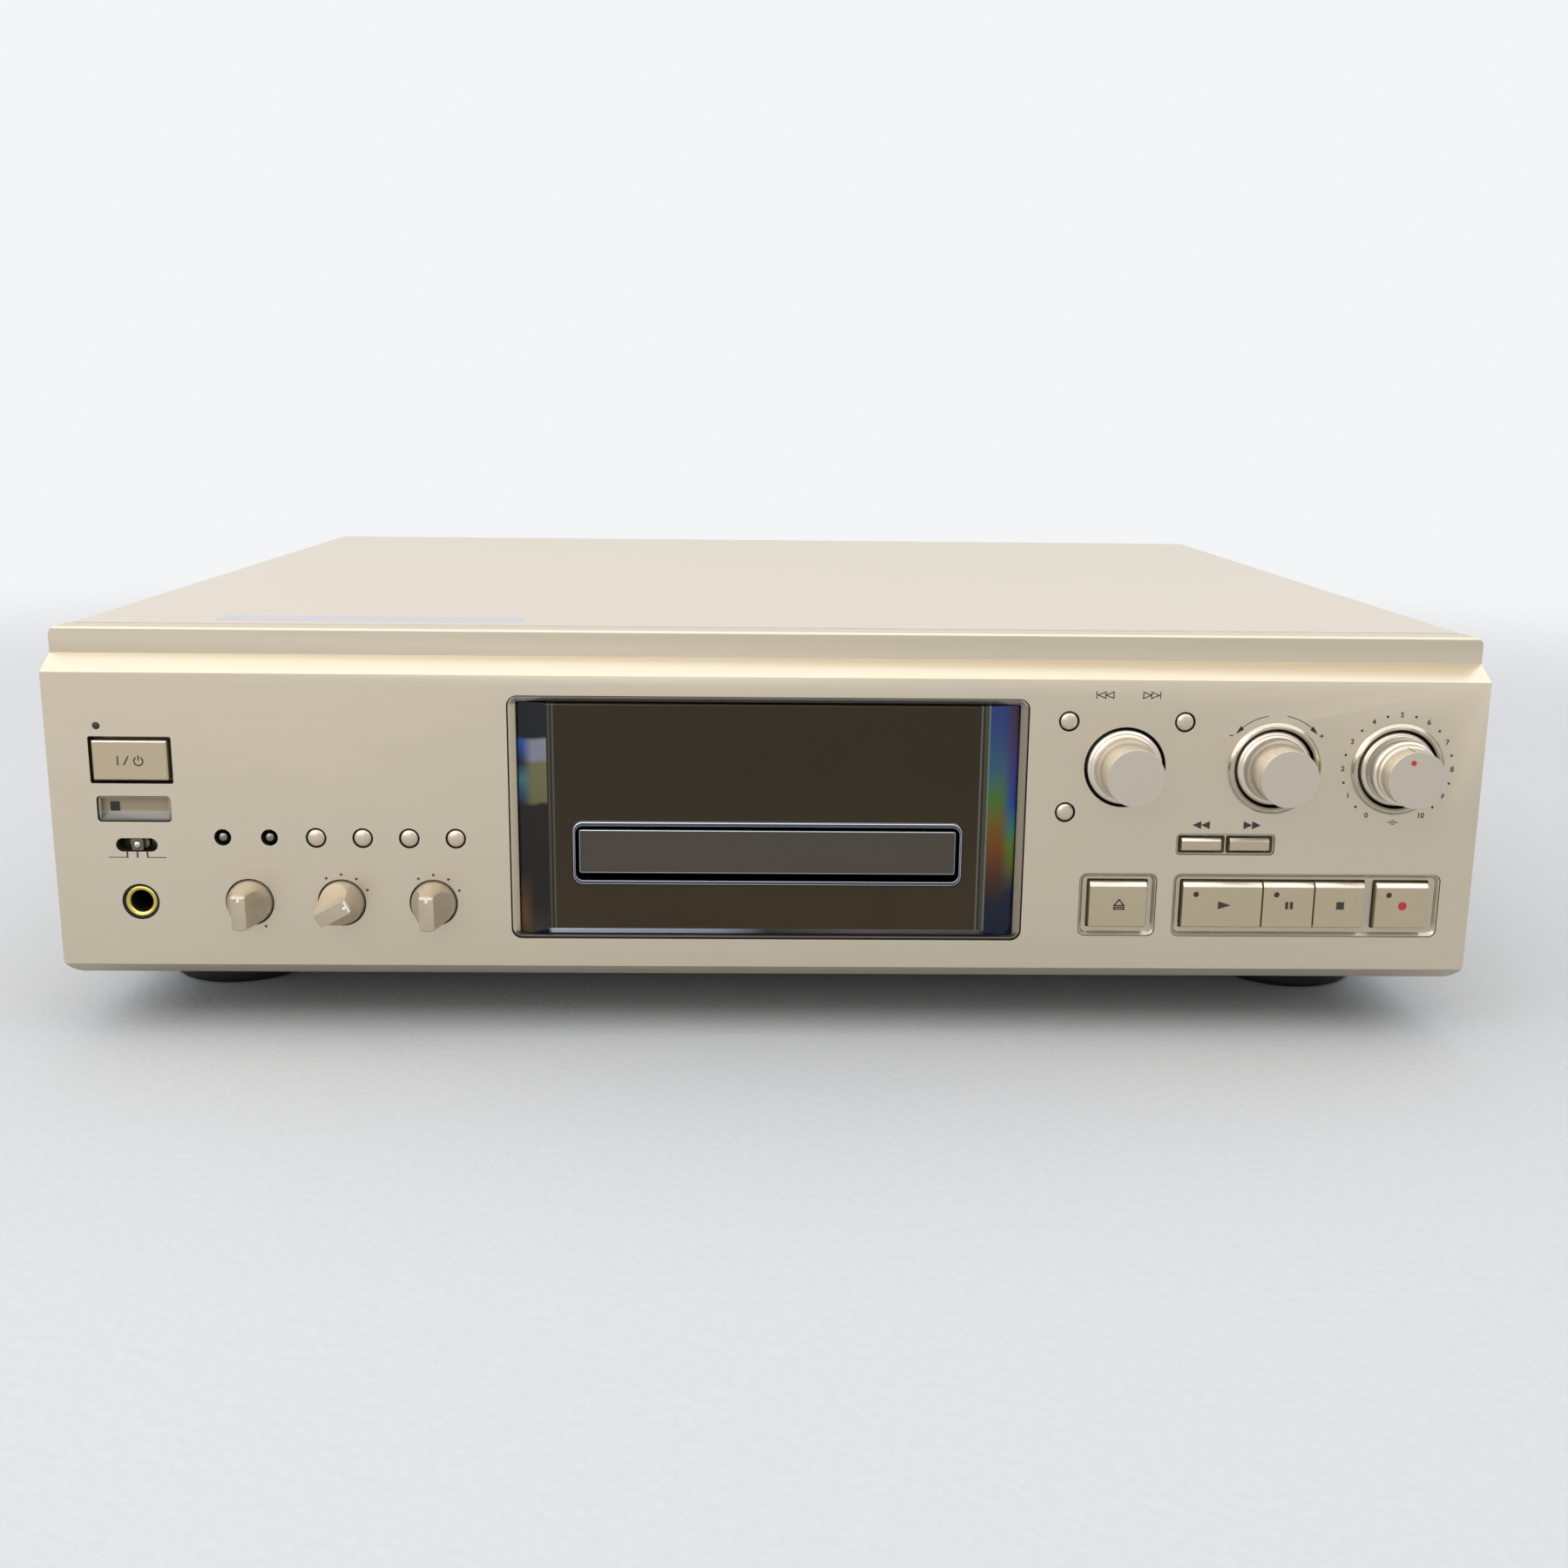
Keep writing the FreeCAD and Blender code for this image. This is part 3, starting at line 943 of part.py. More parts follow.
def motor_gear():
    """Small gear and the motor shaft that it is pressed on."""
    points = placed(gear_outline(MOTOR_TEETH, motor_gear_turn()), GEAR_X, MOTOR_Y)
    teeth = flat(points, GEAR_Z, GEAR_TOP)
    shaft = post(GEAR_X, MOTOR_Y, MOTOR_SHAFT_R, DECK_Z - DECK_T - 4.0, GEAR_Z + 0.5)
    return joined([teeth, shaft])


# ---- disc mechanism -----------------------------------------------------------------
def mechanism_frame():
    """Deck plate on four legs, with grooved side rails for the tray and a bridge over it."""
    inside = TRAY_W / 2 + GAP
    half = inside + DECK_WALL
    top = TRAY_TOP + 1.0
    deck = box(-half, half, DECK_Y0, DECK_Y1, DECK_Z - DECK_T, DECK_Z)
    walls = [box(x, x + DECK_WALL, DECK_Y0, DECK_Y1, DECK_Z - 0.1, top) for x in (-half, inside)]
    bridge = box(-half, half, BRIDGE_Y, BRIDGE_Y + BRIDGE_L, top - 0.1, top + BRIDGE_T)
    legs = [box(x, x + LEG_W, y, y + LEG_W, CHASSIS_Z, DECK_Z - DECK_T + 0.1)
            for x in (1 - half, half - 1 - LEG_W) for y in (DECK_Y0 + 1, DECK_Y1 - 1 - LEG_W)]
    gear_pin = post(GEAR_X, GEAR_Y, PIN_POST_R, DECK_Z - 0.1, GEAR_TOP - 0.1)
    rod_posts = sled_posts()
    rods = [rod(x, ROD_Z, ROD_R, SLED_Y - 3, SLED_END + 3) for x in (-ROD_X, ROD_X)]
    body = joined([deck, bridge, gear_pin] + walls + legs + rod_posts + rods)
    return body.cut(mechanism_cuts(inside))


def sled_posts():
    """The two cross-bars that hold the guide rods and the screw."""
    edge = 2 * ROD_R
    return [box(-ROD_X - edge, SCREW_X + edge, y, y + ROD_BAR, DECK_Z - 0.1, ROD_Z + ROD_R + 1.1)
            for y in (SLED_Y - 1.0 - ROD_BAR, SLED_END + 1.0)]


def mechanism_cuts(inside):
    reach = TRAY_W / 2 + RAIL_REACH + GAP
    groove = box(-reach, reach, DECK_Y0 - 1, DECK_Y1 + 1, RAIL_Z - GAP, RAIL_Z + RAIL_T + GAP)
    groove = groove.cut(box(-inside + 1, inside - 1, DECK_Y0 - 2, DECK_Y1 + 2, 0, 200))
    swing = GEAR_R + ADDENDUM * MODULE + GAP
    notch = box(GEAR_X - swing - 1, GEAR_X, GEAR_Y - swing, GEAR_Y + swing, DECK_Z, GEAR_TOP + 0.6)
    pin = box(GEAR_X - 2, GEAR_X + 2, GEAR_Y - 2, GEAR_Y + 2, DECK_Z, GEAR_TOP + 0.7)
    shaft = post(GEAR_X, MOTOR_Y, 2 * MOTOR_SHAFT_R + 2 * GAP, 0, DECK_Z + 0.01)
    swing = MOTOR_GEAR_R + ADDENDUM * MODULE + GAP
    small = box(GEAR_X - swing, GEAR_X, MOTOR_Y - swing, MOTOR_Y + swing, DECK_Z, GEAR_TOP + 0.6)
    hub = post(0, DISC_Y, 4.0, DECK_Z - DECK_T - 1, DECK_Z + 1)
    light = box(3 - ROD_X, ROD_X - 3, SLED_Y + 2, SLED_END - 2, DECK_Z - DECK_T - 1, DECK_Z + 1)
    bearing = rod(SCREW_X, ROD_Z, ROD_R + RUN, SLED_Y - 8, SLED_END + 8)
    return [groove, notch.cut(pin), shaft, small, hub, light, bearing]


def drive_motors():
    """Loading motor and spindle motor under the deck, feed motor on it."""
    top = DECK_Z - DECK_T
    bore = MOTOR_SHAFT_R + RUN
    loading = standing(GEAR_X, MOTOR_Y, [(0, top - MOTOR_L), (MOTOR_R, top - MOTOR_L),
                                         (MOTOR_R, top - 0.8), (MOTOR_R - 0.8, top), (0, top)])
    loading = loading.cut(post(GEAR_X, MOTOR_Y, bore, top - 5, top + 1))
    spindle_motor = post(0, DISC_Y, SPINDLE_MOTOR_R, top - SPINDLE_MOTOR_L, top)
    spindle_motor = spindle_motor.cut(post(0, DISC_Y, bore, top - 5, top + 1))
    y0 = feed_motor_y()
    feed = rod(SCREW_X, ROD_Z, ROD_OVER, y0, y0 + FEED_MOTOR_L)
    feed = feed.cut(rod(SCREW_X, ROD_Z, bore, y0 - 1, y0 + 5))
    return Part.makeCompound([loading, spindle_motor, feed])


def feed_motor_y():
    return SLED_END + 2 * ROD_BAR + 2.0


def spindle():
    """Turntable that lifts the disc's hub, with its shaft."""
    low = DECK_Z + 0.6
    top = GEAR_Z - 1.6
    profile = [(0, top + 1.2), (1.4, top + 1.2), (1.8, top), (5.2, top), (5.6, top - 0.5),
               (SPINDLE_R - 0.4, top - 0.5), (SPINDLE_R, top - 0.9), (SPINDLE_R, low + 0.6),
               (SPINDLE_R - 3, low), (MOTOR_SHAFT_R, low), (MOTOR_SHAFT_R, DECK_Z - DECK_T - 4.5),
               (0, DECK_Z - DECK_T - 4.5)]
    return standing(0, DISC_Y, profile)


def sled():
    """Pickup on two guide rods, with a nut on the feed screw."""
    ear = ROD_R + 1.2
    z0, z1 = ROD_Z - 2.0, ROD_Z + 0.9
    body = box(0.1 - ROD_X - ear, ROD_X + ear - 0.1, SLED_Y, SLED_Y + SLED_L, z0, z1)
    ears = [rod(x, ROD_Z, ear, SLED_Y, SLED_Y + SLED_L) for x in (-ROD_X, ROD_X)]
    nut = box(ROD_X, SCREW_X + ear - 0.1, SLED_Y + 4, SLED_Y + 10, ROD_Z - ear + 0.3,
              ROD_Z + ear - 0.3)
    lens = post(0, SLED_Y + 5, 3.0, z1 - 0.1, z1 + 0.4)
    cuts = [rod(x, ROD_Z, ROD_R + RUN, SLED_Y - 1, SLED_Y + SLED_L + 1)
            for x in (-ROD_X, ROD_X, SCREW_X)]
    return joined([body, nut, lens] + ears).cut(cuts)


def sled_screw():
    """Feed screw between the two cross-bars, with the end that enters its motor."""
    y1 = feed_motor_y()
    screw = rod(SCREW_X, ROD_Z, ROD_R, SLED_Y - ROD_BAR - 1.2, y1 - GAP)
    return joined([screw, rod(SCREW_X, ROD_Z, MOTOR_SHAFT_R, y1 - 0.5, y1 + 4.0)])


# ---- case ---------------------------------------------------------------------------
def chassis():
    """Folded steel base: plate with vents, side walls, a front frame and stand-offs."""
    low = FOOT_H
    back = REAR_IN - SEAT
    base = box(-CHASSIS_X, CHASSIS_X, FRAME_Y, back, low, low + SHEET)
    sides = [box(x, x + SHEET, FRAME_Y, back, low, low + SIDE_WALL_H)
             for x in (-CHASSIS_X, CHASSIS_X - SHEET)]
    front = box(-CHASSIS_X, CHASSIS_X, FRAME_Y, FRAME_Y + SHEET, low, FACE_TOP)
    top_fold = box(-CHASSIS_X, CHASSIS_X, FRAME_Y, FRAME_Y + FRAME_BAR, FACE_TOP - SHEET, FACE_TOP)
    posts = [post(x, y, POST_R, low, BOARD_Z) for x, y in board_posts()]
    body = joined([base, front, top_fold] + sides + posts)
    return body.cut(front_frame_openings() + chassis_vents())


def front_frame_openings():
    y0, y1 = FRAME_Y - 1, FRAME_Y + SHEET + 1
    low, high = FOOT_H + FRAME_BAR, FACE_TOP - FRAME_BAR
    return [box(FRAME_BAR - CHASSIS_X, WINDOW_LEFT - FRAME_BAR, y0, y1, low, high),
            box(WINDOW_RIGHT + FRAME_BAR, CHASSIS_X - FRAME_BAR, y0, y1, low, high),
            box(WINDOW_LEFT, WINDOW_RIGHT, y0, y1, low, high)]


def chassis_vents():
    """Rows of slots under the power supply and the main board."""
    slots = []
    for x in VENT_X:
        for i in range(VENT_ROWS):
            y = REAR_Y - VENT_BACK - VENT_PITCH * i
            slots.append(plate_down(x, y, VENT_W, VENT_H, VENT_H / 2 - 0.1, FOOT_H - 1, CHASSIS_Z + 1))
    return slots


def main_board_area():
    """x0, x1, y0, y1 of the main board."""
    x1 = COVER_W / 2 - MAIN_IN
    return x1 - MAIN_W, x1, DECK_Y1 + MAIN_FRONT, REAR_IN - MAIN_BACK


def power_board_area():
    x0 = POWER_BOARD_IN - COVER_W / 2
    return x0, x0 + POWER_BOARD_W, POWER_BOARD_Y, POWER_BOARD_Y + POWER_BOARD_L


def board_posts():
    return [(x, y) for x0, x1, y0, y1 in (main_board_area(), power_board_area())
            for x in (x0 + POST_IN, x1 - POST_IN) for y in (y0 + POST_IN, y1 - POST_IN)]


def side_screw_places():
    return [(side, y) for side in (-1, 1) for y in (SIDE_SCREW_FRONT, BODY_D - SIDE_SCREW_BACK)]


def cover_screws_x():
    return [-COVER_SCREW_PITCH, 0.0, COVER_SCREW_PITCH]


def cover_profile(half, top, r, low, y):
    """Wire of one side of the folded sheet: up, over the bend, across and down."""
    arc_l = Part.Arc(Vector(-half, y, top - r), Vector(-half + r * (1 - math.sqrt(0.5)), y,
                     top - r * (1 - math.sqrt(0.5))), Vector(-half + r, y, top))
    arc_r = Part.Arc(Vector(half - r, y, top), Vector(half - r * (1 - math.sqrt(0.5)), y,
                     top - r * (1 - math.sqrt(0.5))), Vector(half, y, top - r))
    return [Part.LineSegment(Vector(-half, y, low), arc_l.StartPoint).toShape(), arc_l.toShape(),
            Part.LineSegment(arc_l.EndPoint, arc_r.StartPoint).toShape(), arc_r.toShape(),
            Part.LineSegment(arc_r.EndPoint, Vector(half, y, low)).toShape()]


def folded(half, top, r, y0, y1):
    low = FOOT_H + 1.2
    edges = cover_profile(half, top, r, low, y0)
    edges.append(Part.LineSegment(Vector(half, y0, low), Vector(-half, y0, low)).toShape())
    return Part.Face(Part.Wire(edges)).extrude(Vector(0, y1 - y0, 0))


def top_cover():
    """Folded steel cover with a lip down the back edge."""
    y0 = FASCIA_D + GAP
    outer = folded(COVER_W / 2, COVER_TOP, COVER_R, y0, BODY_D)
    inner = folded(COVER_IN, COVER_TOP - SHEET, COVER_R - SHEET, y0 - 1, BODY_D - SHEET)
    opening = box(-COVER_IN, COVER_IN, BODY_D - 2 * SHEET, BODY_D + 1, 0, COVER_TOP - LIP_H)
    hole_r = SCREW_R + GAP / 2
    holes = [rod(x, COVER_SCREW_Z, hole_r, BODY_D - 3, BODY_D + 1) for x in cover_screws_x()]
    holes += [Part.makeCylinder(hole_r, 4 * SHEET, Vector(side * COVER_W / 2 - 2 * SHEET, y,
              SIDE_SCREW_Z), Vector(1, 0, 0)) for side, y in side_screw_places()]
    return outer.cut([inner, opening] + holes)


def rear_panel():
    """Flat steel back with cut-outs for the sockets and a row of vents."""
    y0, y1 = REAR_IN, REAR_Y
    half = CHASSIS_X - SEAT
    top = COVER_TOP - SHEET - SEAT
    panel = plate(0, (FOOT_H + top) / 2, 2 * half, top - FOOT_H, COVER_R, y0, y1)
    square_foot = box(-half, half, y0, y1, FOOT_H, FOOT_H + 2 * COVER_R)
    fold = box(-half + COVER_R, half - COVER_R, y0 - REAR_FOLD, y0 + 0.1, top - SHEET, top)
    cuts = [rod(x, z, JACK_R + 0.6, y0 - 1, y1 + 1) for x, z in shell_places()]
    port = OPTICAL_S + 2 * OPTICAL_WALL + 2 * SEAT
    cuts += [plate(x, OPTICAL_Z, port, port, 0.5, y0 - 1, y1 + 1) for x in OPTICAL_X]
    cuts.append(rod(CONTROL_X, OPTICAL_Z, CONTROL_R + CONTROL_WALL + GAP, y0 - 1, y1 + 1))
    wall = 2 * INLET_WALL + SEAT
    cuts.append(plate(INLET_X, INLET_Z, INLET_W + wall, INLET_H + wall, 2.0, y0 - 1, y1 + 1))
    for i in range(-4, 5):
        x = REAR_VENT_X + REAR_VENT_PITCH * i
        cuts.append(plate(x, COVER_TOP - REAR_VENT_DOWN, REAR_VENT_W, REAR_VENT_H,
                          REAR_VENT_W / 2 - 0.1, y0 - 1, y1 + 1))
    cuts += [rod(x, COVER_SCREW_Z, SCREW_R, y0 - 1, y1 + 1) for x in cover_screws_x()]
    return joined([panel, square_foot, fold]).cut(cuts)


def foot(x, y):
    """Turned foot: broad drum with a waist line and a ring that stands on the floor."""
    well, seat = FOOT_SCREW_HEAD_R + 2.0, FOOT_H - FOOT_SCREW_SEAT
    profile = [(well, 2.0), (FOOT_R - 8.0, 2.0), (FOOT_R - 7.0, 0.0), (FOOT_R - 2.6, 0.0),
               (FOOT_R - 1.0, 1.6), (FOOT_R - 0.6, FOOT_H - 8.0), (FOOT_R - 1.8, FOOT_H - 7.2),
               (FOOT_R - 1.8, FOOT_H - 6.0), (FOOT_R, FOOT_H - 5.2), (FOOT_R, FOOT_H - 1.0),
               (FOOT_R - 1.0, FOOT_H), (FOOT_SCREW_R, FOOT_H), (FOOT_SCREW_R, seat), (well, seat)]
    return standing(x, y, profile)


def foot_places():
    return [(x, y) for y in (FOOT_FRONT, BODY_D - FOOT_BACK) for x in (-FOOT_X, FOOT_X)]


def feet():
    return Part.makeCompound([foot(x, y) for x, y in foot_places()])


def case_screws():
    """Cover screws at the sides and back, screws under the fascia's lip, foot screws."""
    screws = []
    for side, y in side_screw_places():
        tip, inward = Vector(side * (COVER_W / 2 + SCREW_HEAD_T), y, SIDE_SCREW_Z), Vector(-side, 0, 0)
        head = Part.makeCylinder(SCREW_HEAD_R, SCREW_HEAD_T, tip, inward)
        shank = Part.makeCylinder(SCREW_R, SCREW_HEAD_T + SHEET + SEAT, tip, inward)
        screws.append(joined([head, shank]))
    for x in cover_screws_x():
        head = rod(x, COVER_SCREW_Z, SCREW_HEAD_R, BODY_D, BODY_D + SCREW_HEAD_T)
        screws.append(joined([head, rod(x, COVER_SCREW_Z, SCREW_R - RUN, REAR_IN - 3, BODY_D + 0.5)]))
    for x in lip_screws_x():
        head = post(x, FASCIA_D / 2, SCREW_HEAD_R, FOOT_H - SCREW_HEAD_T, FOOT_H)
        screws.append(joined([head, post(x, FASCIA_D / 2, SCREW_R, FOOT_H - 0.5, FOOT_H + LIP_T)]))
    for x, y in foot_places():
        seat = FOOT_H - FOOT_SCREW_SEAT
        head = post(x, y, FOOT_SCREW_HEAD_R, seat - 2.0, seat)
        screws.append(joined([head, post(x, y, FOOT_SCREW_R - RUN, seat - 1.0, FOOT_H)]))
    return Part.makeCompound(screws)


# ---- inside -------------------------------------------------------------------------
def transformer():
    """Laminated core with two windows, the coil round its middle limb, on a shoe."""
    x, y, z = CORE_IN - COVER_W / 2, REAR_Y - CORE_BACK, CHASSIS_Z + SHOE_T
    core = box(x - CORE_W / 2, x + CORE_W / 2, y - CORE_D / 2, y + CORE_D / 2, z, z + CORE_H)
    windows = [box(x + a, x + a + CORE_LIMB, y - CORE_D, y + CORE_D, z + CORE_LIMB,
                   z + CORE_H - CORE_LIMB) for a in (-2 * CORE_LIMB, CORE_LIMB)]
    width = 4 * CORE_LIMB - 1.0
    coil = plate_down(x, y, width, width, 6.0, z + CORE_LIMB + 1, z + CORE_H - CORE_LIMB - 1)
    core_space = box(x - CORE_LIMB, x + CORE_LIMB, y - CORE_D / 2, y + CORE_D / 2, z, z + CORE_H)
    shoe = box(x - SHOE_W / 2, x + SHOE_W / 2, y - 9, y + 9, CHASSIS_Z, z)
    return joined([core.cut(windows), coil.cut(core_space), shoe])


def power_board():
    """Board with smoothing capacitors, a fuse holder and two regulators on the cooler."""
    x0, x1, y0, y1 = power_board_area()
    z = BOARD_TOP
    board = box(x0, x1, y0, y1, BOARD_Z, z)
    parts = [post(x0 + CAN_IN + i * CAN_PITCH, y0 + CAN_PITCH, CAN_R, z - 0.1, z + CAN_H)
             for i in range(2)]
    parts += [post(x0 + CAN_IN + i * SMALL_CAN_PITCH, y1 - CAN_PITCH, CAN_R * 2 / 3, z - 0.1,
                   z + CAN_H * 0.7) for i in range(3)]
    fuse_x, fuse_y = x0 + SINK_IN, y0 + CAN_PITCH - FUSE_W
    parts.append(box(fuse_x, fuse_x + FUSE_L, fuse_y, fuse_y + FUSE_W, z - 0.1, z + FUSE_H))
    sink_y = y0 + SINK_FRONT - SEAT
    parts += [box(x - REGULATOR_W / 2, x + REGULATOR_W / 2, sink_y - REGULATOR_T, sink_y, z - 0.1,
                  z + SINK_H / 2) for x in (fuse_x + SINK_W / 4, fuse_x + SINK_W * 3 / 4)]
    return joined([board] + parts)


def heat_sink():
    """Extruded cooler with upright fins, behind the regulators."""
    x0, _, y0, _ = power_board_area()
    x, y, z = x0 + SINK_IN, y0 + SINK_FRONT, BOARD_TOP
    pitch = (SINK_W - FIN_T) / (FINS - 1)
    fins = [box(x + pitch * i, x + pitch * i + FIN_T, y + SINK_T - 0.1, y + SINK_D, z, z + SINK_H)
            for i in range(FINS)]
    return joined([box(x, x + SINK_W, y, y + SINK_T, z, z + SINK_H)] + fins)


def main_board():
    """Signal board along the back: processor, converters, capacitors and a shield."""
    x0, x1, y0, y1 = main_board_area()
    z = BOARD_TOP
    board = box(x0, x1, y0, y1, BOARD_Z, z)
    chips = [box(x0 + x, x0 + x + w, y0 + y, y0 + y + d, z - 0.1, z + h) for x, y, w, d, h in CHIPS]
    cans = [post(x1 - SMALL_CAN_IN - SMALL_CAN_PITCH * i, y0 + SMALL_CAN_IN + SMALL_CAN_PITCH * j,
                 SMALL_CAN_R, z - 0.1, z + SMALL_CAN_H) for i in range(3) for j in range(2)]
    return joined([board] + chips + cans)


def shell_places():
    jacks = [(x, JACK_Z0 + JACK_PITCH_Z * row) for x in JACKS_X for row in (0, 1)]
    return jacks + [(COAX_X, OPTICAL_Z)]


def jack_blocks():
    """Moulded blocks behind the rear panel that carry the sockets."""
    back = REAR_IN - SEAT
    front = back - BLOCK_L
    high = JACK_Z0 + JACK_PITCH_Z + BLOCK_SIDE
    blocks = [box(x - BLOCK_SIDE, x + BLOCK_SIDE, front, back, BOARD_Z, high) for x in JACKS_X]
    blocks.append(box(COAX_X - BLOCK_SIDE, COAX_X + BLOCK_SIDE, front, back, BOARD_Z,
                      OPTICAL_Z + BLOCK_SIDE))
    holes = [rod(x, z, JACK_R - 0.4, back - 6, back + 1) for x, z in shell_places()]
    blocks = [block.cut(holes) for block in blocks]
    blocks += [optical_port(x, front, back) for x in OPTICAL_X]
    side = CONTROL_R + 2 * CONTROL_WALL
    control = joined([box(CONTROL_X - side, CONTROL_X + side, front, back, BOARD_Z, OPTICAL_Z + side),
                      rod(CONTROL_X, OPTICAL_Z, CONTROL_R + CONTROL_WALL, back - 0.1, REAR_Y + 1.5)])
    blocks.append(control.cut(rod(CONTROL_X, OPTICAL_Z, CONTROL_R, REAR_Y - 12, REAR_Y + 2)))
    return Part.makeCompound(blocks)


def optical_port(x, front, back):
    """Square port on a stand."""
    outer = OPTICAL_S / 2 + OPTICAL_WALL
    mouth = REAR_Y + 0.6
    body = box(x - outer, x + outer, front, mouth, OPTICAL_Z - outer, OPTICAL_Z + outer)
    stand = box(x - outer, x + outer, front, back, BOARD_Z, OPTICAL_Z - outer + 0.1)
    cavity = plate(x, OPTICAL_Z, OPTICAL_S, OPTICAL_S, 0.6, mouth - OPTICAL_D, mouth + 1)
    return joined([body, stand]).cut(cavity)


def jack_shells():
    """Plated phono shells that stand out of the rear panel, each with its flange."""
    shells = []
    inner_y = REAR_IN - SEAT - 5.5
    neck, flange = JACK_R - 0.6, REAR_Y + 0.1
    for x, z in shell_places():
        profile = [(JACK_BORE_R, inner_y), (neck, inner_y), (neck, flange), (JACK_NUT_R, flange),
                   (JACK_NUT_R, REAR_Y + 1.5), (JACK_R, REAR_Y + 1.5), (JACK_R, JACK_TIP - 0.4),
                   (JACK_R - 0.4, JACK_TIP), (JACK_BORE_R, JACK_TIP)]
        shells.append(turned(x, z, profile))
    return Part.makeCompound(shells)


def ac_inlet():
    """Two-pin appliance inlet: a rounded well with two round pins."""
    back = REAR_Y + 1.2
    w, h = INLET_W + 2 * INLET_WALL, INLET_H + 2 * INLET_WALL
    well = plate(INLET_X, INLET_Z, w, h, 1.8, back - INLET_D - INLET_WALL, back)
    flange = plate(INLET_X, INLET_Z, w + 6, h + 4, 2.0, REAR_Y + RUN, back)
    cavity = plate(INLET_X, INLET_Z, INLET_W, INLET_H, INLET_H / 2 - 0.1, back - INLET_D, back + 1)
    pins = [rod(INLET_X + side * INLET_PIN_PITCH / 2, INLET_Z, INLET_PIN_R, back - INLET_D - 1,
                back - INLET_D + INLET_PIN_L) for side in (-1, 1)]
    return joined([joined([well, flange]).cut(cavity)] + pins)


# ---- the list of nodes --------------------------------------------------------------
def all_nodes():
    fixed = (fascia, sub_panel, window_frame, window_block, tray_bezel, key_bezels, level_rings,
             ir_window, phones_jack, phones_ring, front_board, panel_controls, display_tube,
             chassis, rear_panel, top_cover, transformer, power_board, heat_sink, main_board,
             jack_blocks, jack_shells, ac_inlet, feet, case_screws)
    moving = (power_key, timer_lever, jog_knob, jog_plunger, level_knob, balance_knob, analog_knob)
    behind_window = (mechanism_frame, drive_motors, tray, tray_door, loading_gear, motor_gear,
                     spindle, sled, sled_screw)
    nodes = {make.__name__: make() for make in fixed + moving + behind_window}
    for make in behind_window:
        nodes[make.__name__].translate(Vector(WINDOW_X, 0, 0))
    nodes.update(row_buttons())
    for name, x in pointer_places():
        nodes[name] = pointer_knob(x, POINTER_TURNED if name == "input_knob" else 0.0)
    nodes["eject_key"] = push_key(EJECT_X, EJECT_W, KEY_FLANGE)
    for name, x, w in TRANSPORT_KEYS:
        reach = 0.0 if name in SHARED_POCKET else KEY_FLANGE
        nodes[name] = push_key(x + w / 2, w, reach)
    for name, x in search_places():
        nodes[name] = search_key(x)
    return nodes


def row_buttons():
    """The round buttons; the first of the row are thin pins in smaller holes."""
    buttons = {}
    for name, x, z in button_places():
        r, proud = (PIN_R, 0.2) if name in BUTTON_ROW[:RECESSED] else (BUTTON_R, 0.7)
        buttons[name] = round_button(x, z, r, hole_of(name), proud)
    return buttons


def main():
    os.makedirs("parts", exist_ok=True)
    for name, shape in sorted(all_nodes().items()):
        shape.translate(Vector(0, -MID_Y, 0))
        shape.exportStep(os.path.join("parts", name + ".step"))


main()
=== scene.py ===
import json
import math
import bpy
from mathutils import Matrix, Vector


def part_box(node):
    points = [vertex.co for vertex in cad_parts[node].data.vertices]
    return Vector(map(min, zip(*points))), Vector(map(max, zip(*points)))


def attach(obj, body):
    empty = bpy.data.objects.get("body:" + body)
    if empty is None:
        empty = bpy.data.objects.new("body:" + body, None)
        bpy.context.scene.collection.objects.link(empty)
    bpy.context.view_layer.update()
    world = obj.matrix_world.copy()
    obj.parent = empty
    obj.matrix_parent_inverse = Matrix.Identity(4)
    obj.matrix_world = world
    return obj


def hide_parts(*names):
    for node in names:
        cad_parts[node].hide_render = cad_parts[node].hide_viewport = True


bl_info = {
    "name": "Minidisc Deck",
    "version": (1, 0, 0),
    "blender": (4, 5, 0),
    "location": "View3D > Sidebar > Deck",
    "description": "Dresses the solids of a minidisc deck with edges, finishes and prints",
    "category": "Object",
}

import bmesh
import bpy
from mathutils import Matrix, Vector

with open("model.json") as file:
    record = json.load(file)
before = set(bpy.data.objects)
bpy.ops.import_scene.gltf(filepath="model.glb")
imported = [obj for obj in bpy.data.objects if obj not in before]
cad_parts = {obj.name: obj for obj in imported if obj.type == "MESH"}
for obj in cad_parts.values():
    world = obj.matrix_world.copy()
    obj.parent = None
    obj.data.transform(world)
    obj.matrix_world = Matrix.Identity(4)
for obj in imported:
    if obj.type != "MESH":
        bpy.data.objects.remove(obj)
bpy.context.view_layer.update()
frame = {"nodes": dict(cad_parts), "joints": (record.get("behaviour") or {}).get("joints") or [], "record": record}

MM = 0.001
BODY_OF = {node: body for body, nodes in frame["record"]["behaviour"]["bodies"].items()
           for node in nodes}


def centre_of(node):
    """Middle of a node's box."""
    low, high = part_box(node)
    return (low + high) / 2


def front_of(node):
    """The y of a node's foremost face."""
    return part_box(node)[0].y


def axis_of(node):
    """Place of the joint that turns a node's body."""
    for joint in frame["joints"]:
        if joint["child"] == BODY_OF[node]:
            return Vector(joint["pos_m"])
    raise RuntimeError("no joint turns " + node)


# ---- places and sizes in metres, turns in degrees -----------------------------------
FACE = front_of("fascia")                # the main face
WALL_DEPTH = 5.2 * MM                    # thickness of the fascia round its openings
LEDGE_FOOT = 112.0 * MM                  # above the openings, below the ledge
OPENING_MARGIN = 2.0 * MM                # rim of the fascia without openings
FACET_WIDTH = 9.0 * MM                   # bevelled ends of the window block

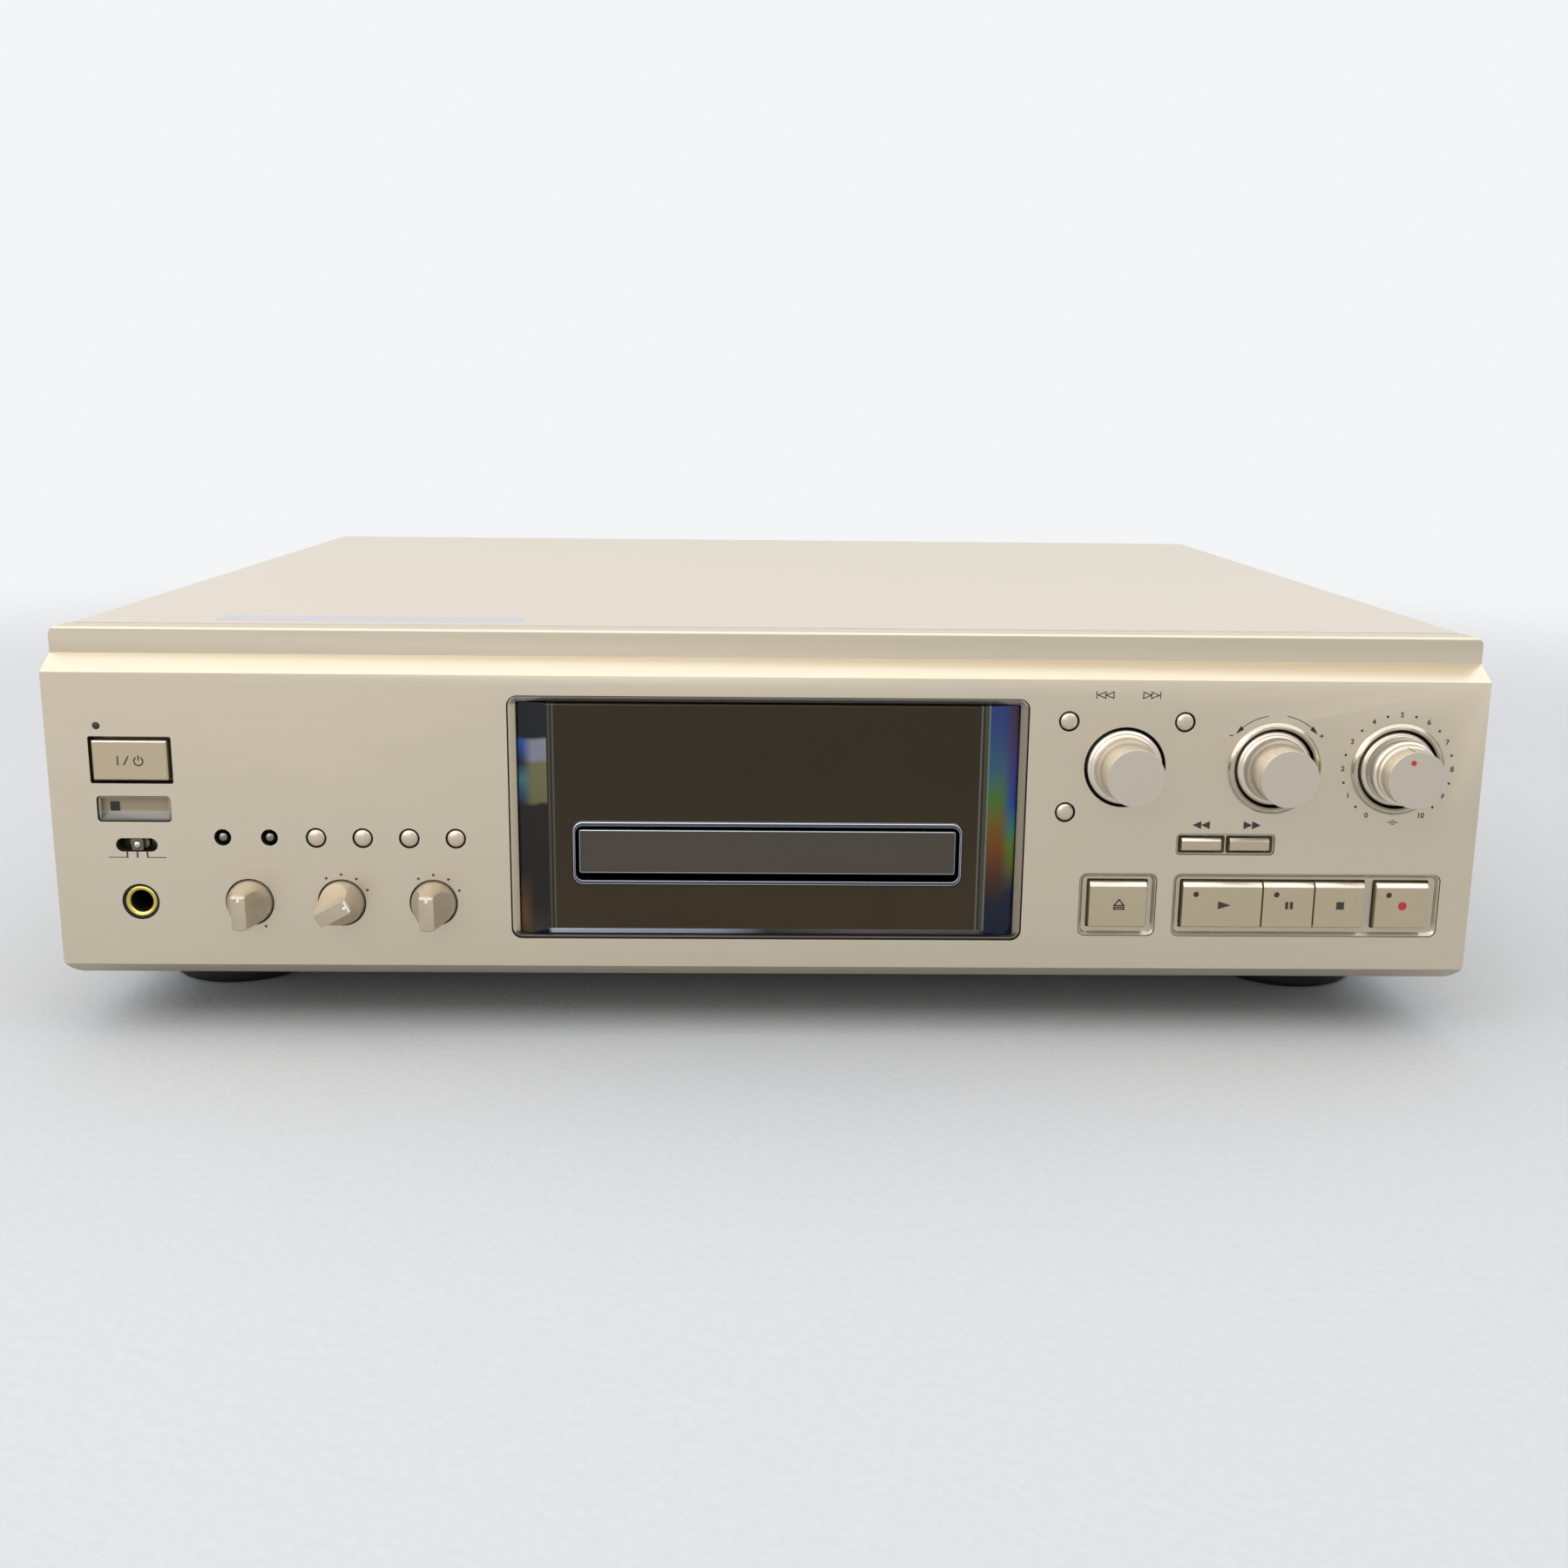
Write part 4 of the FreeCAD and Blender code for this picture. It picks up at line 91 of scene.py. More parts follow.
STANDBY_LAMP = (centre_of("power_key").x - 9.4 * MM, centre_of("power_key").z + 10.35 * MM)
STANDBY_RADIUS, STANDBY_ROUND, STANDBY_BACK = 1.0 * MM, 0.3 * MM, 4.0 * MM
KEY_LAMPS = (("play_key", -8.2 * MM), ("pause_key", -3.7 * MM), ("record_key", -4.1 * MM))
KEY_LAMP_UP = 3.45 * MM                  # above the middle of the key
KEYS = ("eject_key", "play_key", "pause_key", "stop_key", "record_key", "power_key",
        "rewind_key", "forward_key")
SIGN_ASIDE = 0.32 * MM                   # right of the middle of the key
SEARCH_SIGN_Z = centre_of("rewind_key").z + 6.05 * MM

ROUND_BUTTONS = ("play_mode_button", "repeat_button", "time_button", "display_button",
                 "menu_button", "yes_button", "clear_button")
PIN_BUTTONS = ("filter_button", "edit_button")
BUTTON_RADIUS, BUTTON_DOME = 2.6 * MM, 1.0 * MM
PIN_RADIUS, PIN_DOME = 1.55 * MM, 1.2 * MM
FLANGE_DEPTH, FLANGE, STEM_RADIUS = 5.3 * MM, 1.0 * MM, 1.3 * MM

CAP_RADIUS, BARREL_RADIUS, REAR_RADIUS = 8.5 * MM, 8.9 * MM, 9.9 * MM
CAP_EDGE = 0.15 * MM                     # where the cap begins to round off
SHAFT_RADIUS, INNER_SHAFT, INNER_BORE = 3.0 * MM, 1.8 * MM, 1.85 * MM
SKIRT_BACK = 4.0 * MM                    # behind the main face
POINTER_TURN = -8.0                      # where the line on the front level knob stands
RED_MARK_TURN = POINTER_TURN - 9.0       # where the mark on its cap stands
RED_MARK_REACH, RED_MARK_RADIUS = 5.4 * MM, 0.8 * MM
POINTER_KNOBS = (("phones_knob", 0.0), ("input_knob", 62.0), ("mode_knob", 0.0))
NOTCH_REACH, NOTCH_DEPTH = 6.2 * MM, 0.75 * MM
MARK_DEPTH = 0.3 * MM                    # of inlaid marks and of the sensor

NIB_RADIUS, NIB_OUT, NIB_ROOT = 1.3 * MM, 1.0 * MM, 2.4 * MM
SENSOR_SIZE, SENSOR_DEPTH = 2.8 * MM, 2.45 * MM
SHELL_RADIUS, SLEEVE_RADIUS, SHELL_WALL = 4.15 * MM, 2.1 * MM, 0.55 * MM
LABEL_LEFT, LABEL_FRONT, LABEL_DEPTH = -171.0 * MM, FACE + 24.0 * MM, 14.0 * MM
UNDERSIDE = 25.0 * MM                    # screws below this height face down
FOOT_SCREW_HEAD, FOOT_SCREW_WIDTH = 2.0 * MM, 7.0 * MM
FOOT_SCREW_SCALE = 1.33
DOUBLES = 0.0005 * MM                    # corners that are closer are one corner
ON_AXIS = 0.0001 * MM                    # turned rows that are narrower are one point
FLAT = math.radians(0.4)                 # faces that turn less are one flat region

# place, target and size of the lamps; place of the camera, with its yaw, dip and roll in radians
OVERHEAD_LAMP = ((0.0, -0.2, 1.5), (0.0, -0.2, 0.0), (4.6, 3.8))
FRONT_LAMP = ((-1.0, -1.3, 0.9), (-0.1, -0.1, 0.06), (2.2, 1.4))
CAMERA_PLACE = Vector((-5.756, -670.18, 190.56)) * MM
YAW, DIP, ROLL = 0.01988, 0.22035, 0.01082
SENSOR_WIDTH = 36.0                      # of the camera, in millimetres
FLOOR_REACH = 4.0                        # half the floor's width
FADE_START, FADE_END = 0.5, 1.4          # where the floor runs out into the background


# ---- units, colours and properties --------------------------------------------------
def linear(code):
    """sRGB hex code to linear red, green, blue, alpha."""
    channels = [int(code[i:i + 2], 16) / 255 for i in (1, 3, 5)]
    return tuple(c / 12.92 if c <= 0.04045 else ((c + 0.055) / 1.055) ** 2.4
                 for c in channels) + (1.0,)


def length(name, description, millimetres):
    """A size that can be changed, given in millimetres and kept in metres."""
    return bpy.props.FloatProperty(name=name, description=description, unit='LENGTH', min=0.0,
                                   precision=5, default=millimetres * MM)


def colour(name, description, code):
    """A colour that can be changed, given as an sRGB code."""
    return bpy.props.FloatVectorProperty(name=name, description=description, subtype='COLOR',
                                         size=4, min=0.0, max=1.0, default=linear(code))


def amount(name, description, value):
    """A strength or power that can be changed."""
    return bpy.props.FloatProperty(name=name, description=description, min=0.0, default=value)


class DeckSizes(bpy.types.PropertyGroup):
    """Sizes of edges, prints and small details."""
    fascia_edge: length("Fascia edge", "Broken edge of the fascia and its openings", 0.22)
    key_edge: length("Key edge", "Rounded edge of the keys", 0.22)
    glass_edge: length("Glass edge", "Polished edge of the window block", 0.16)
    metal_edge: length("Metal edge", "Broken edge of frames and rings", 0.15)
    # The bright edges of the bezel and the door are painted highlights.
    rim_edge: length("Rim edge", "Bright edge of the tray's bezel", 0.14)
    door_edge: length("Door edge", "Bright edge of the tray's door", 0.22)
    ring_edge: length("Ring edge", "Edge of the rings round the level knobs", 0.12)
    gold_edge: length("Gold edge", "Edge of the headphone socket's ring", 0.08)
    case_edge: length("Case edge", "Rounded edge of the painted cover and the feet", 0.3)
    panel_edge: length("Panel edge", "Edge of the rear panel", 0.12)
    tray_edge: length("Tray edge", "Edge of the tray", 0.2)
    ink: length("Ink", "Height of a print over its surface", 0.03)
    stroke: length("Stroke", "Line width of symbols printed on the fascia", 0.3)
    key_stroke: length("Key stroke", "Line width of symbols printed on the keys", 0.42)
    numeral: length("Numeral", "Height of the dial's numbers", 1.6)
    dot: length("Dot", "Radius of a printed dot", 0.4)
    lamp: length("Lamp", "Radius of a key's indicator lamp", 0.95)
    dial: length("Dial", "Radius of the dial's numbers", 16.6)
    selector: length("Selector", "Radius of the selector knobs' dots", 8.8)
    screw_head: length("Screw head", "Radius of a case screw's head", 3.0)
    screw_height: length("Screw height", "Height of a case screw's head", 1.3)
    label: length("Label", "Length of the blank label on the cover", 94.0)


class DeckColours(bpy.types.PropertyGroup):
    """Colours of finishes and inks."""
    fascia: colour("Fascia", "Champagne anodised front", "#CCC1AC")
    cover: colour("Cover", "Painted cover", "#C3BAAA")
    knob: colour("Knob", "Anodised knobs", "#DBD1C2")
    cap: colour("Knob cap", "Flat ends of the knobs", "#C4BBAC")
    pointer: colour("Pointer knob", "Lacquered knobs with a bar grip", "#B9AB95")
    key: colour("Key", "Lacquered keys", "#BBAC90")
    bezel: colour("Bezel", "Key bezels", "#BDB5A1")
    window: colour("Window", "Smoked block", "#241C11")
    print_ink: colour("Print", "Symbols and scales", "#352E27")
    record_ink: colour("Record", "Record dot and level mark", "#B5303A")
    black: colour("Black", "Moulded black parts", "#141416")
    floor: colour("Floor", "Floor", "#C9CACC")
    backdrop: colour("Backdrop", "Background", "#F4F5F7")


class DeckStage(bpy.types.PropertyGroup):
    """Camera and light."""
    lens: bpy.props.FloatProperty(name="Lens", description="Focal length on a 36 mm sensor",
                                  subtype='DISTANCE_CAMERA', default=38.593)
    world: amount("Sky", "Strength of the all-round light", 0.48)
    top: amount("Top light", "Power of the overhead light, in watts", 56.0)
    front: amount("Front light", "Power of the front light, in watts", 11.7)


# ---- nodes and materials ------------------------------------------------------------
def add(tree, kind, inputs=None, **settings):
    """Adds one node; an input takes a value, or the socket that it is linked from."""
    node = tree.nodes.new(kind)
    for name, value in settings.items():
        setattr(node, name, value)
    for name, value in (inputs or {}).items():
        if isinstance(value, bpy.types.NodeSocket):
            tree.links.new(value, node.inputs[name])
        else:
            node.inputs[name].default_value = value
    return node


def new_material(name, values):
    """Material with its tree and shader, whose sockets take the given values."""
    material = bpy.data.materials.new(name)
    material.use_nodes = True
    shader = material.node_tree.nodes["Principled BSDF"]
    for socket, value in values.items():
        shader.inputs[socket].default_value = value
    return material, material.node_tree, shader


def shaded(base, factor):
    """The colour made lighter or darker."""
    return tuple(min(1.0, c * factor) for c in base[:3]) + (1.0,)


def grain(tree, size, stretch=(1.0, 1.0, 1.0), detail=4.0):
    """Noise with a grain of the given size, in metres, stretched along the axes."""
    place = add(tree, "ShaderNodeTexCoord")
    scale = [1.0 / (size * s) for s in stretch]
    mapping = add(tree, "ShaderNodeMapping", {"Vector": place.outputs["Object"], "Scale": scale})
    noise = add(tree, "ShaderNodeTexNoise",
                {"Vector": mapping.outputs["Vector"], "Scale": 1.0, "Detail": detail})
    return noise.outputs["Fac"]


def position(tree, axis, first, last):
    """Place along an axis, from 0 at the first value to 1 at the last, in metres."""
    place = add(tree, "ShaderNodeTexCoord")
    axes = add(tree, "ShaderNodeSeparateXYZ", {"Vector": place.outputs["Object"]})
    share = add(tree, "ShaderNodeMapRange", {"Value": axes.outputs[axis], "From Min": first,
                                             "From Max": last})
    return share.outputs["Result"]


def along(tree, node, axis):
    """Place along a node's box, from 0 at its low end to 1 at its high end."""
    low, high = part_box(node)
    number = "XYZ".index(axis)
    return position(tree, axis, low[number], high[number])


def ramped(tree, place, stops, interpolation='LINEAR'):
    """Colours that follow one another; each stop is (place, sRGB code or colour)."""
    ramp = add(tree, "ShaderNodeValToRGB", {"Fac": place})
    ramp.color_ramp.interpolation = interpolation
    elements = ramp.color_ramp.elements
    elements.remove(elements[1])
    for number, (at, code) in enumerate(stops):
        element = elements[0] if number == 0 else elements.new(at)
        element.position = at
        element.color = linear(code) if isinstance(code, str) else code
    return ramp.outputs


def wandering(tree, size, place, share):
    """Place along a node's box, moved a little to and fro by a soft noise."""
    moved = add(tree, "ShaderNodeMath", {0: grain(tree, size, detail=1.0), 1: share, 2: place},
                operation='MULTIPLY_ADD')
    return moved.outputs[0]


def blend(tree, shader, share, first, second):
    """Base colour that goes from the first to the second as the share grows to 1."""
    mix = add(tree, "ShaderNodeMix", {"Factor": share, "A": first, "B": second}, data_type='RGBA')
    tree.links.new(mix.outputs["Result"], shader.inputs["Base Color"])


def vary(tree, shader, noise, base, spread, rough):
    """Colour and roughness that wander with the noise."""
    blend(tree, shader, noise, shaded(base, 1.0 - spread), shaded(base, 1.0 + spread))
    gloss = add(tree, "ShaderNodeMapRange", {"Value": noise, "From Min": 0.3, "From Max": 0.7,
                                             "To Min": rough[0], "To Max": rough[1]})
    tree.links.new(gloss.outputs["Result"], shader.inputs["Roughness"])


def grained(name, base, values, size, spread, rough, bump=None, **pattern):
    """Finish with a grain of the given size, in metres; a bump is (strength, depth)."""
    material, tree, shader = new_material(name, values)
    noise = grain(tree, size, **pattern)
    vary(tree, shader, noise, base, spread, rough)
    if bump:
        strength, depth = bump
        relief = add(tree, "ShaderNodeBump", {"Height": noise, "Strength": strength,
                                              "Distance": depth})
        tree.links.new(relief.outputs["Normal"], shader.inputs["Normal"])
    return material


def hairline_anodised_aluminium(name, base):
    # Drawn along its length before anodising: soft streaks, clear highlights on the edges.
    # Real hairlines are 0.05 mm apart; they are drawn at 0.2 mm so that they show.
    return grained(name, base, {"Metallic": 0.86}, size=0.2 * MM, spread=0.02,
                   rough=(0.30, 0.38), bump=(0.05, 0.02 * MM), stretch=(160.0, 1.0, 1.0),
                   detail=2.0)


def turned_anodised_aluminium(name, base):
    # Turned round an axis that points forwards, then anodised: soft rings of light that
    # change with the depth only. Real marks are 0.05 mm apart, these 0.25 mm.
    return grained(name, base, {"Metallic": 0.68}, size=0.25 * MM, spread=0.04,
                   rough=(0.20, 0.28), bump=(0.06, 0.02 * MM), stretch=(400.0, 1.0, 400.0),
                   detail=2.0)


def blasted_anodised_aluminium(name, base):
    # Bead-blasted before anodising: an even, matt sparkle of 0.15 mm grains.
    return grained(name, base, {"Metallic": 0.8}, size=0.15 * MM, spread=0.04,
                   rough=(0.42, 0.52), bump=(0.08, 0.02 * MM))


def polished_aluminium(name, base):
    # Lathe-polished and clear anodised: sharp bright rings of reflection.
    return grained(name, base, {"Metallic": 1.0}, size=0.8 * MM, spread=0.02,
                   rough=(0.10, 0.18))


def plated_metal(name, base, rough=(0.12, 0.22)):
    # Bright plating on a turned or pressed part.
    return grained(name, base, {"Metallic": 1.0}, size=0.5 * MM, spread=0.03, rough=rough)


def painted_opening(name, base):
    # Painted shade: the walls of an opening take a dark matt colour, so that the gap round a key reads as a dark
    # line.
    return grained(name, base, {"Specular IOR Level": 0.2}, size=0.4 * MM, spread=0.1,
                   rough=(0.7, 0.85))


def baked_enamel_on_steel(name, base):
    # Sprayed and baked: a satin coat with a shallow orange peel about 0.7 mm across.
    coat = {"Metallic": 0.25, "Coat Weight": 0.15, "Coat Roughness": 0.4}
    return grained(name, base, coat, size=0.7 * MM, spread=0.015, rough=(0.42, 0.5),
                   bump=(0.12, 0.03 * MM), detail=2.0)


def tinted_lens(name, base):
    # Injected acrylic, grey as smoke, with a polished face.
    return grained(name, base, {"IOR": 1.49}, size=2.0 * MM, spread=0.05, rough=(0.12, 0.2))


def moulded_abs(name, base, rough=(0.42, 0.55)):
    # Spark-eroded tool: an even grain of 0.25 mm pits.
    return grained(name, base, {"IOR": 1.53}, size=0.25 * MM, spread=0.08, rough=rough,
                   bump=(0.15, 0.02 * MM))


def gloss_abs(name, base):
    # Tool polished to a mirror, half silvered film on the face.
    film = {"IOR": 1.9, "Specular Tint": linear("#E6DCCB")}
    return grained(name, base, film, size=12.0 * MM, spread=0.1, rough=(0.02, 0.05), detail=1.0)


def printing_ink(name, base):
    # Screen-printed ink: dull, with a weave of 0.1 mm from the screen.
    return grained(name, base, {"IOR": 1.45}, size=0.1 * MM, spread=0.08, rough=(0.5, 0.62))


def varnished_laminations(name, base):
    # Steel sheets of 0.5 mm, stacked front to back and dipped in varnish.
    return grained(name, base, {"Metallic": 0.4}, size=0.5 * MM, spread=0.2, rough=(0.35, 0.5),
                   bump=(0.3, 0.1 * MM), stretch=(60.0, 1.0, 60.0), detail=1.0)


def metallic_lacquer(name, base, metallic=0.75):
    # ABS or zinc sprayed with pearl lacquer: fine flakes of 0.12 mm in a satin coat.
    material, tree, shader = new_material(name, {"Metallic": metallic, "Coat Weight": 0.2,
                                                 "Coat Roughness": 0.2})
    place = add(tree, "ShaderNodeTexCoord")
    flakes = add(tree, "ShaderNodeTexVoronoi", {"Vector": place.outputs["Object"],
                                                "Scale": 1.0 / (0.12 * MM)})
    vary(tree, shader, flakes.outputs["Distance"], base, spread=0.05, rough=(0.26, 0.34))
    return material


def zinc_plated_steel(name, base):
    # Passivated sheet: a soft spangle of 3 mm crystals.
    material, tree, shader = new_material(name, {"Metallic": 0.95})
    place = add(tree, "ShaderNodeTexCoord")
    spangle = add(tree, "ShaderNodeTexVoronoi", {"Vector": place.outputs["Object"],
                                                 "Scale": 1.0 / (3.0 * MM)})
    vary(tree, shader, spangle.outputs["Color"], base, spread=0.05, rough=(0.3, 0.42))
    return material


def foil_label(name, base):
    # Metallised film with a fine lattice of 0.6 mm that sparkles, left blank.
    material, tree, shader = new_material(name, {"Metallic": 0.6})
    place = add(tree, "ShaderNodeTexCoord")
    mapping = add(tree, "ShaderNodeMapping", {"Vector": place.outputs["Object"],
                                              "Rotation": (0.0, 0.0, math.radians(45))})
    lattice = add(tree, "ShaderNodeTexChecker", {"Vector": mapping.outputs["Vector"],
                                                 "Scale": 1.0 / (0.6 * MM)})
    vary(tree, shader, lattice.outputs["Fac"], base, spread=0.06, rough=(0.25, 0.4))
    return material


def lacquered_laminate(name, base):
    # Solder resist over copper tracks about 1 mm wide.
    material, tree, shader = new_material(name, {"IOR": 1.5, "Roughness": 0.35})
    place = add(tree, "ShaderNodeTexCoord")
    tracks = add(tree, "ShaderNodeTexBrick", {
        "Vector": place.outputs["Object"], "Scale": 1.0 / (14.0 * MM), "Mortar Size": 0.03,
        "Color1": base, "Color2": shaded(base, 0.9), "Mortar": shaded(base, 1.6)})
    tree.links.new(tracks.outputs["Color"], shader.inputs["Base Color"])
    return material


# Painted light, shade and reflections. Each row is (place, colour), from the left to the right
# or from the foot to the top.
CLEAR = (0.0, 0.0, 0.0, 0.0)
FRAME_PAINTED_STRIPS = ((0.0, "#6E6B62"), (0.012, "#6E6B62"), (0.03, CLEAR), (0.962, CLEAR),
                (0.972, "#B0A69C"), (0.99, "#B0A69C"), (1.0, "#564D46"))
BLOCK_PAINTED_LINES = ((0.0, "#14110F"), (0.0625, "#3F3E38"), (0.0655, "#15120F"), (0.069, "#46453F"),
               (0.0715, CLEAR), (0.9215, "#55554F"), (0.9235, "#12110E"), (0.929, "#3B3A30"),
               (0.9375, "#5C716C"), (0.9405, "#14110F"))
LEFT_INNER_PAINTED = ((0.0, "#3A3024"), (0.15, "#1B1815"), (0.585, "#1B1815"), (0.605, "#625F3C"),
              (0.765, "#686546"), (0.79, "#777B87"), (0.865, "#777B87"), (0.88, "#15161A"))
LEFT_OUTER_PAINTED = ((0.0, "#3E2F20"), (0.1, "#5C3D20"), (0.3, "#1B1815"), (0.585, "#1B1815"),
              (0.62, "#243A5A"), (0.7, "#346C74"), (0.77, "#1A1F36"), (0.86, "#1A4C96"),
              (0.88, "#15161A"))
RIGHT_INNER_PAINTED = ((0.0, "#0B1220"), (0.17, "#10182A"), (0.27, "#40261A"), (0.42, "#6E3A12"),
               (0.52, "#665216"), (0.62, "#44682A"), (0.76, "#30566A"), (0.95, "#2C3C72"))
RIGHT_OUTER_PAINTED = ((0.0, "#0D162E"), (0.22, "#101A34"), (0.32, "#565C22"), (0.42, "#4C7426"),
               (0.49, "#2E7068"), (0.6, "#203E8C"), (0.75, "#3C3272"), (0.95, "#402E42"))
LOWER_BEVEL_PAINTED = ((0.0, "#1C1C30"), (0.058, "#24243A"), (0.064, "#D5DDEB"), (0.4, "#AEB9CA"),
               (0.5, "#4E4A48"), (0.7, "#777074"), (0.93, "#6B6666"), (0.945, "#1E2A5A"))
SENSOR_PAINTED_SLOPE = ((0.05, "#5D5650"), (0.17, "#645D56"), (0.3, "#807D75"), (0.38, "#9C968B"))


def lacquered_frame(name, base):
    # The same lacquer on a mirror-polished casting, with painted light on the left and painted
    # shade on the right; the strip that faces down takes painted shade, and the one that faces up
    # a painted reflection with a violet cast.
    material = metallic_lacquer(name, base)
    tree = material.node_tree
    painted_sides = ramped(tree, along(tree, "window_frame", "X"),
                   ((0.0, shaded(base, 1.45)), (1.0, shaded(base, 0.74))))
    painted_strips = ramped(tree, along(tree, "window_frame", "Z"), FRAME_PAINTED_STRIPS)
    blend(tree, tree.nodes["Principled BSDF"], painted_strips["Alpha"], painted_sides["Color"], painted_strips["Color"])
    return material


def smoked_acrylic(name, base):
    # Thick cast block, tinted and half silvered behind: a dark mirror with a warm cast, with a
    # painted reflection that makes it lighter towards its foot, and painted double lines of light
    # and shade where its bevelled ends begin.
    material, tree, shader = new_material(name, {"IOR": 1.5, "Roughness": 0.02,
                                                 "Specular Tint": linear("#ECDCC0")})
    height = wandering(tree, 22.0 * MM, along(tree, "window_block", "Z"), 0.5)
    painted_reflection_tone = ramped(tree, height, ((0.25, shaded(base, 1.5)), (0.8, shaded(base, 0.95)),
                                 (1.2, shaded(base, 0.75))))
    lines = ramped(tree, along(tree, "window_block", "X"), BLOCK_PAINTED_LINES, 'CONSTANT')
    blend(tree, shader, lines["Alpha"], painted_reflection_tone["Color"], lines["Color"])
    return material


def prismatic_facet(name, inner, outer, borders):
    """Bevelled end of the block, with painted colours of the light that the bevel splits."""
    # The painted colours run down the facet, and lag behind towards its outer edge.
    material, tree, shader = new_material(name, {"IOR": 1.33, "Roughness": 0.04})
    height = wandering(tree, 9.0 * MM, along(tree, "window_block", "Z"), 0.05)
    share = add(tree, "ShaderNodeMapRange", {"Value": position(tree, "X", *borders),
                                             "From Min": 0.45, "From Max": 0.9},
                interpolation_type='SMOOTHSTEP')
    blend(tree, shader, share.outputs["Result"], ramped(tree, height, inner)["Color"],
          ramped(tree, height, outer)["Color"])
    return material


def coloured_acrylic(name, values, node, axis, stops):
    """Acrylic whose colours follow one another along one axis of a node."""
    material, tree, shader = new_material(name, values)
    colours = ramped(tree, along(tree, node, axis), stops)
    tree.links.new(colours["Color"], shader.inputs["Base Color"])
    return material


def lower_bevel(name):
    # Polished bevel at the block's foot, with a painted reflection of what the deck stands on.
    polish = {"IOR": 1.6, "Roughness": 0.06}
    return coloured_acrylic(name, polish, "window_block", "X", LOWER_BEVEL_PAINTED)


def sensor_lens(name, base):
    # Grey acrylic over a sloping recess, with a painted highlight where the slope begins and painted shade below
    # it.
    slope_top = ((0.44, shaded(base, 0.95)), (1.0, base))
    return coloured_acrylic(name, {"IOR": 1.49, "Roughness": 0.16}, "ir_window", "Z",
                            SENSOR_PAINTED_SLOPE + slope_top)


def woven_floor(name, base, backdrop):
    """Pale floor that runs out into the background, for the camera and for reflections."""
    # Short cut pile, tufts of 2.5 mm.
    material = grained(name, base, {"Specular IOR Level": 0.1}, size=2.5 * MM, spread=0.05,
                       rough=(0.9, 0.95), bump=(0.4, 0.6 * MM), detail=3.0)
    tree = material.node_tree
    place = add(tree, "ShaderNodeTexCoord")
    reach = add(tree, "ShaderNodeVectorMath", {0: place.outputs["Object"]}, operation='LENGTH')
    fade = add(tree, "ShaderNodeMapRange", {"Value": reach.outputs["Value"],
                                            "From Min": FADE_START, "From Max": FADE_END},
               interpolation_type='SMOOTHSTEP')
    seen = add(tree, "ShaderNodeLightPath")
    share = add(tree, "ShaderNodeMath", {0: fade.outputs["Result"],
                                         1: seen.outputs["Is Camera Ray"]}, operation='MULTIPLY')
    glow = add(tree, "ShaderNodeEmission", {"Color": backdrop, "Strength": 1.0})
    both = add(tree, "ShaderNodeMixShader", {0: share.outputs["Value"],
                                             1: tree.nodes["Principled BSDF"].outputs["BSDF"],
                                             2: glow.outputs["Emission"]})
    tree.links.new(both.outputs["Shader"], tree.nodes["Material Output"].inputs["Surface"])
    return material


# How each finish is made, its colour as a code or as one of the deck's colours, and what
# else its function takes.
FINISHES = {
    "hairline anodised aluminium": (hairline_anodised_aluminium, "fascia"),
    "matt brown black paint": (painted_opening, "#352C23"),
    "champagne lacquered frame": (lacquered_frame, "#A49A86"),
    "black chrome plate": (plated_metal, "#54575C"),
    "polished chrome edge": (plated_metal, "#C3C6CE"),
    "mirror gloss ABS": (gloss_abs, "#241D17"),
    "smoked cast acrylic": (smoked_acrylic, "window"),
    "dark acrylic lamp": (tinted_lens, "#2B2522"),
    "champagne lacquered ABS": (metallic_lacquer, "key"),
    "grey champagne lacquered ABS": (metallic_lacquer, "bezel"),
    "polished pearl lacquer": (metallic_lacquer, "#DDD4C8"),
    "pearl lacquered ABS": (metallic_lacquer, "#C9BAA8"),
    "smoke lacquered ABS": (metallic_lacquer, "#6E6558"),
    "champagne lacquered zinc": (metallic_lacquer, "pointer", 0.55),
    "dark nickel plate": (plated_metal, "#827F7A"),
    "nickel plate": (plated_metal, "#B9B7B2"),
    "gold plated brass": (plated_metal, "#CFBE68"),
    "bright steel": (plated_metal, "#9A9B9C", (0.25, 0.35)),
    "black zinc plated screws": (plated_metal, "#3A3A3C", (0.3, 0.4)),
    "turned anodised aluminium": (turned_anodised_aluminium, "knob"),
    "blasted anodised aluminium": (blasted_anodised_aluminium, "cap"),
    "black anodised aluminium": (blasted_anodised_aluminium, "#2A2A2C"),
    "polished champagne aluminium": (polished_aluminium, "#B9B0A0"),
    "dark brown printing ink": (printing_ink, "print_ink"),
    "red printing ink": (printing_ink, "record_ink"),
    "line cut and blackened": (printing_ink, "#6E6656"),
    "white paint": (printing_ink, "#F4F1EA"),
    "smoke grey acrylic": (sensor_lens, "#9D8E73"),
    "sensor glass": (tinted_lens, "#1B1918"),
    "display glass": (tinted_lens, "#20262A"),
    "champagne baked enamel": (baked_enamel_on_steel, "cover"),
    "metallised film": (foil_label, "#BDBABD"),
    "black moulded ABS": (moulded_abs, "black"),
    "grey moulded ABS": (moulded_abs, "#4A4A4D"),
    "natural acetal": (moulded_abs, "#DAD6CB", (0.3, 0.4)),
    "white polypropylene": (moulded_abs, "#E9E6DF"),
    "red polypropylene": (moulded_abs, "#A3272C"),
    "orange polypropylene": (moulded_abs, "#C9711E"),
    "zinc plated steel": (zinc_plated_steel, "#A9ABA8"),
    "lacquered laminate": (lacquered_laminate, "#3E5237"),
    "varnished laminations": (varnished_laminations, "#4A4038"),
}


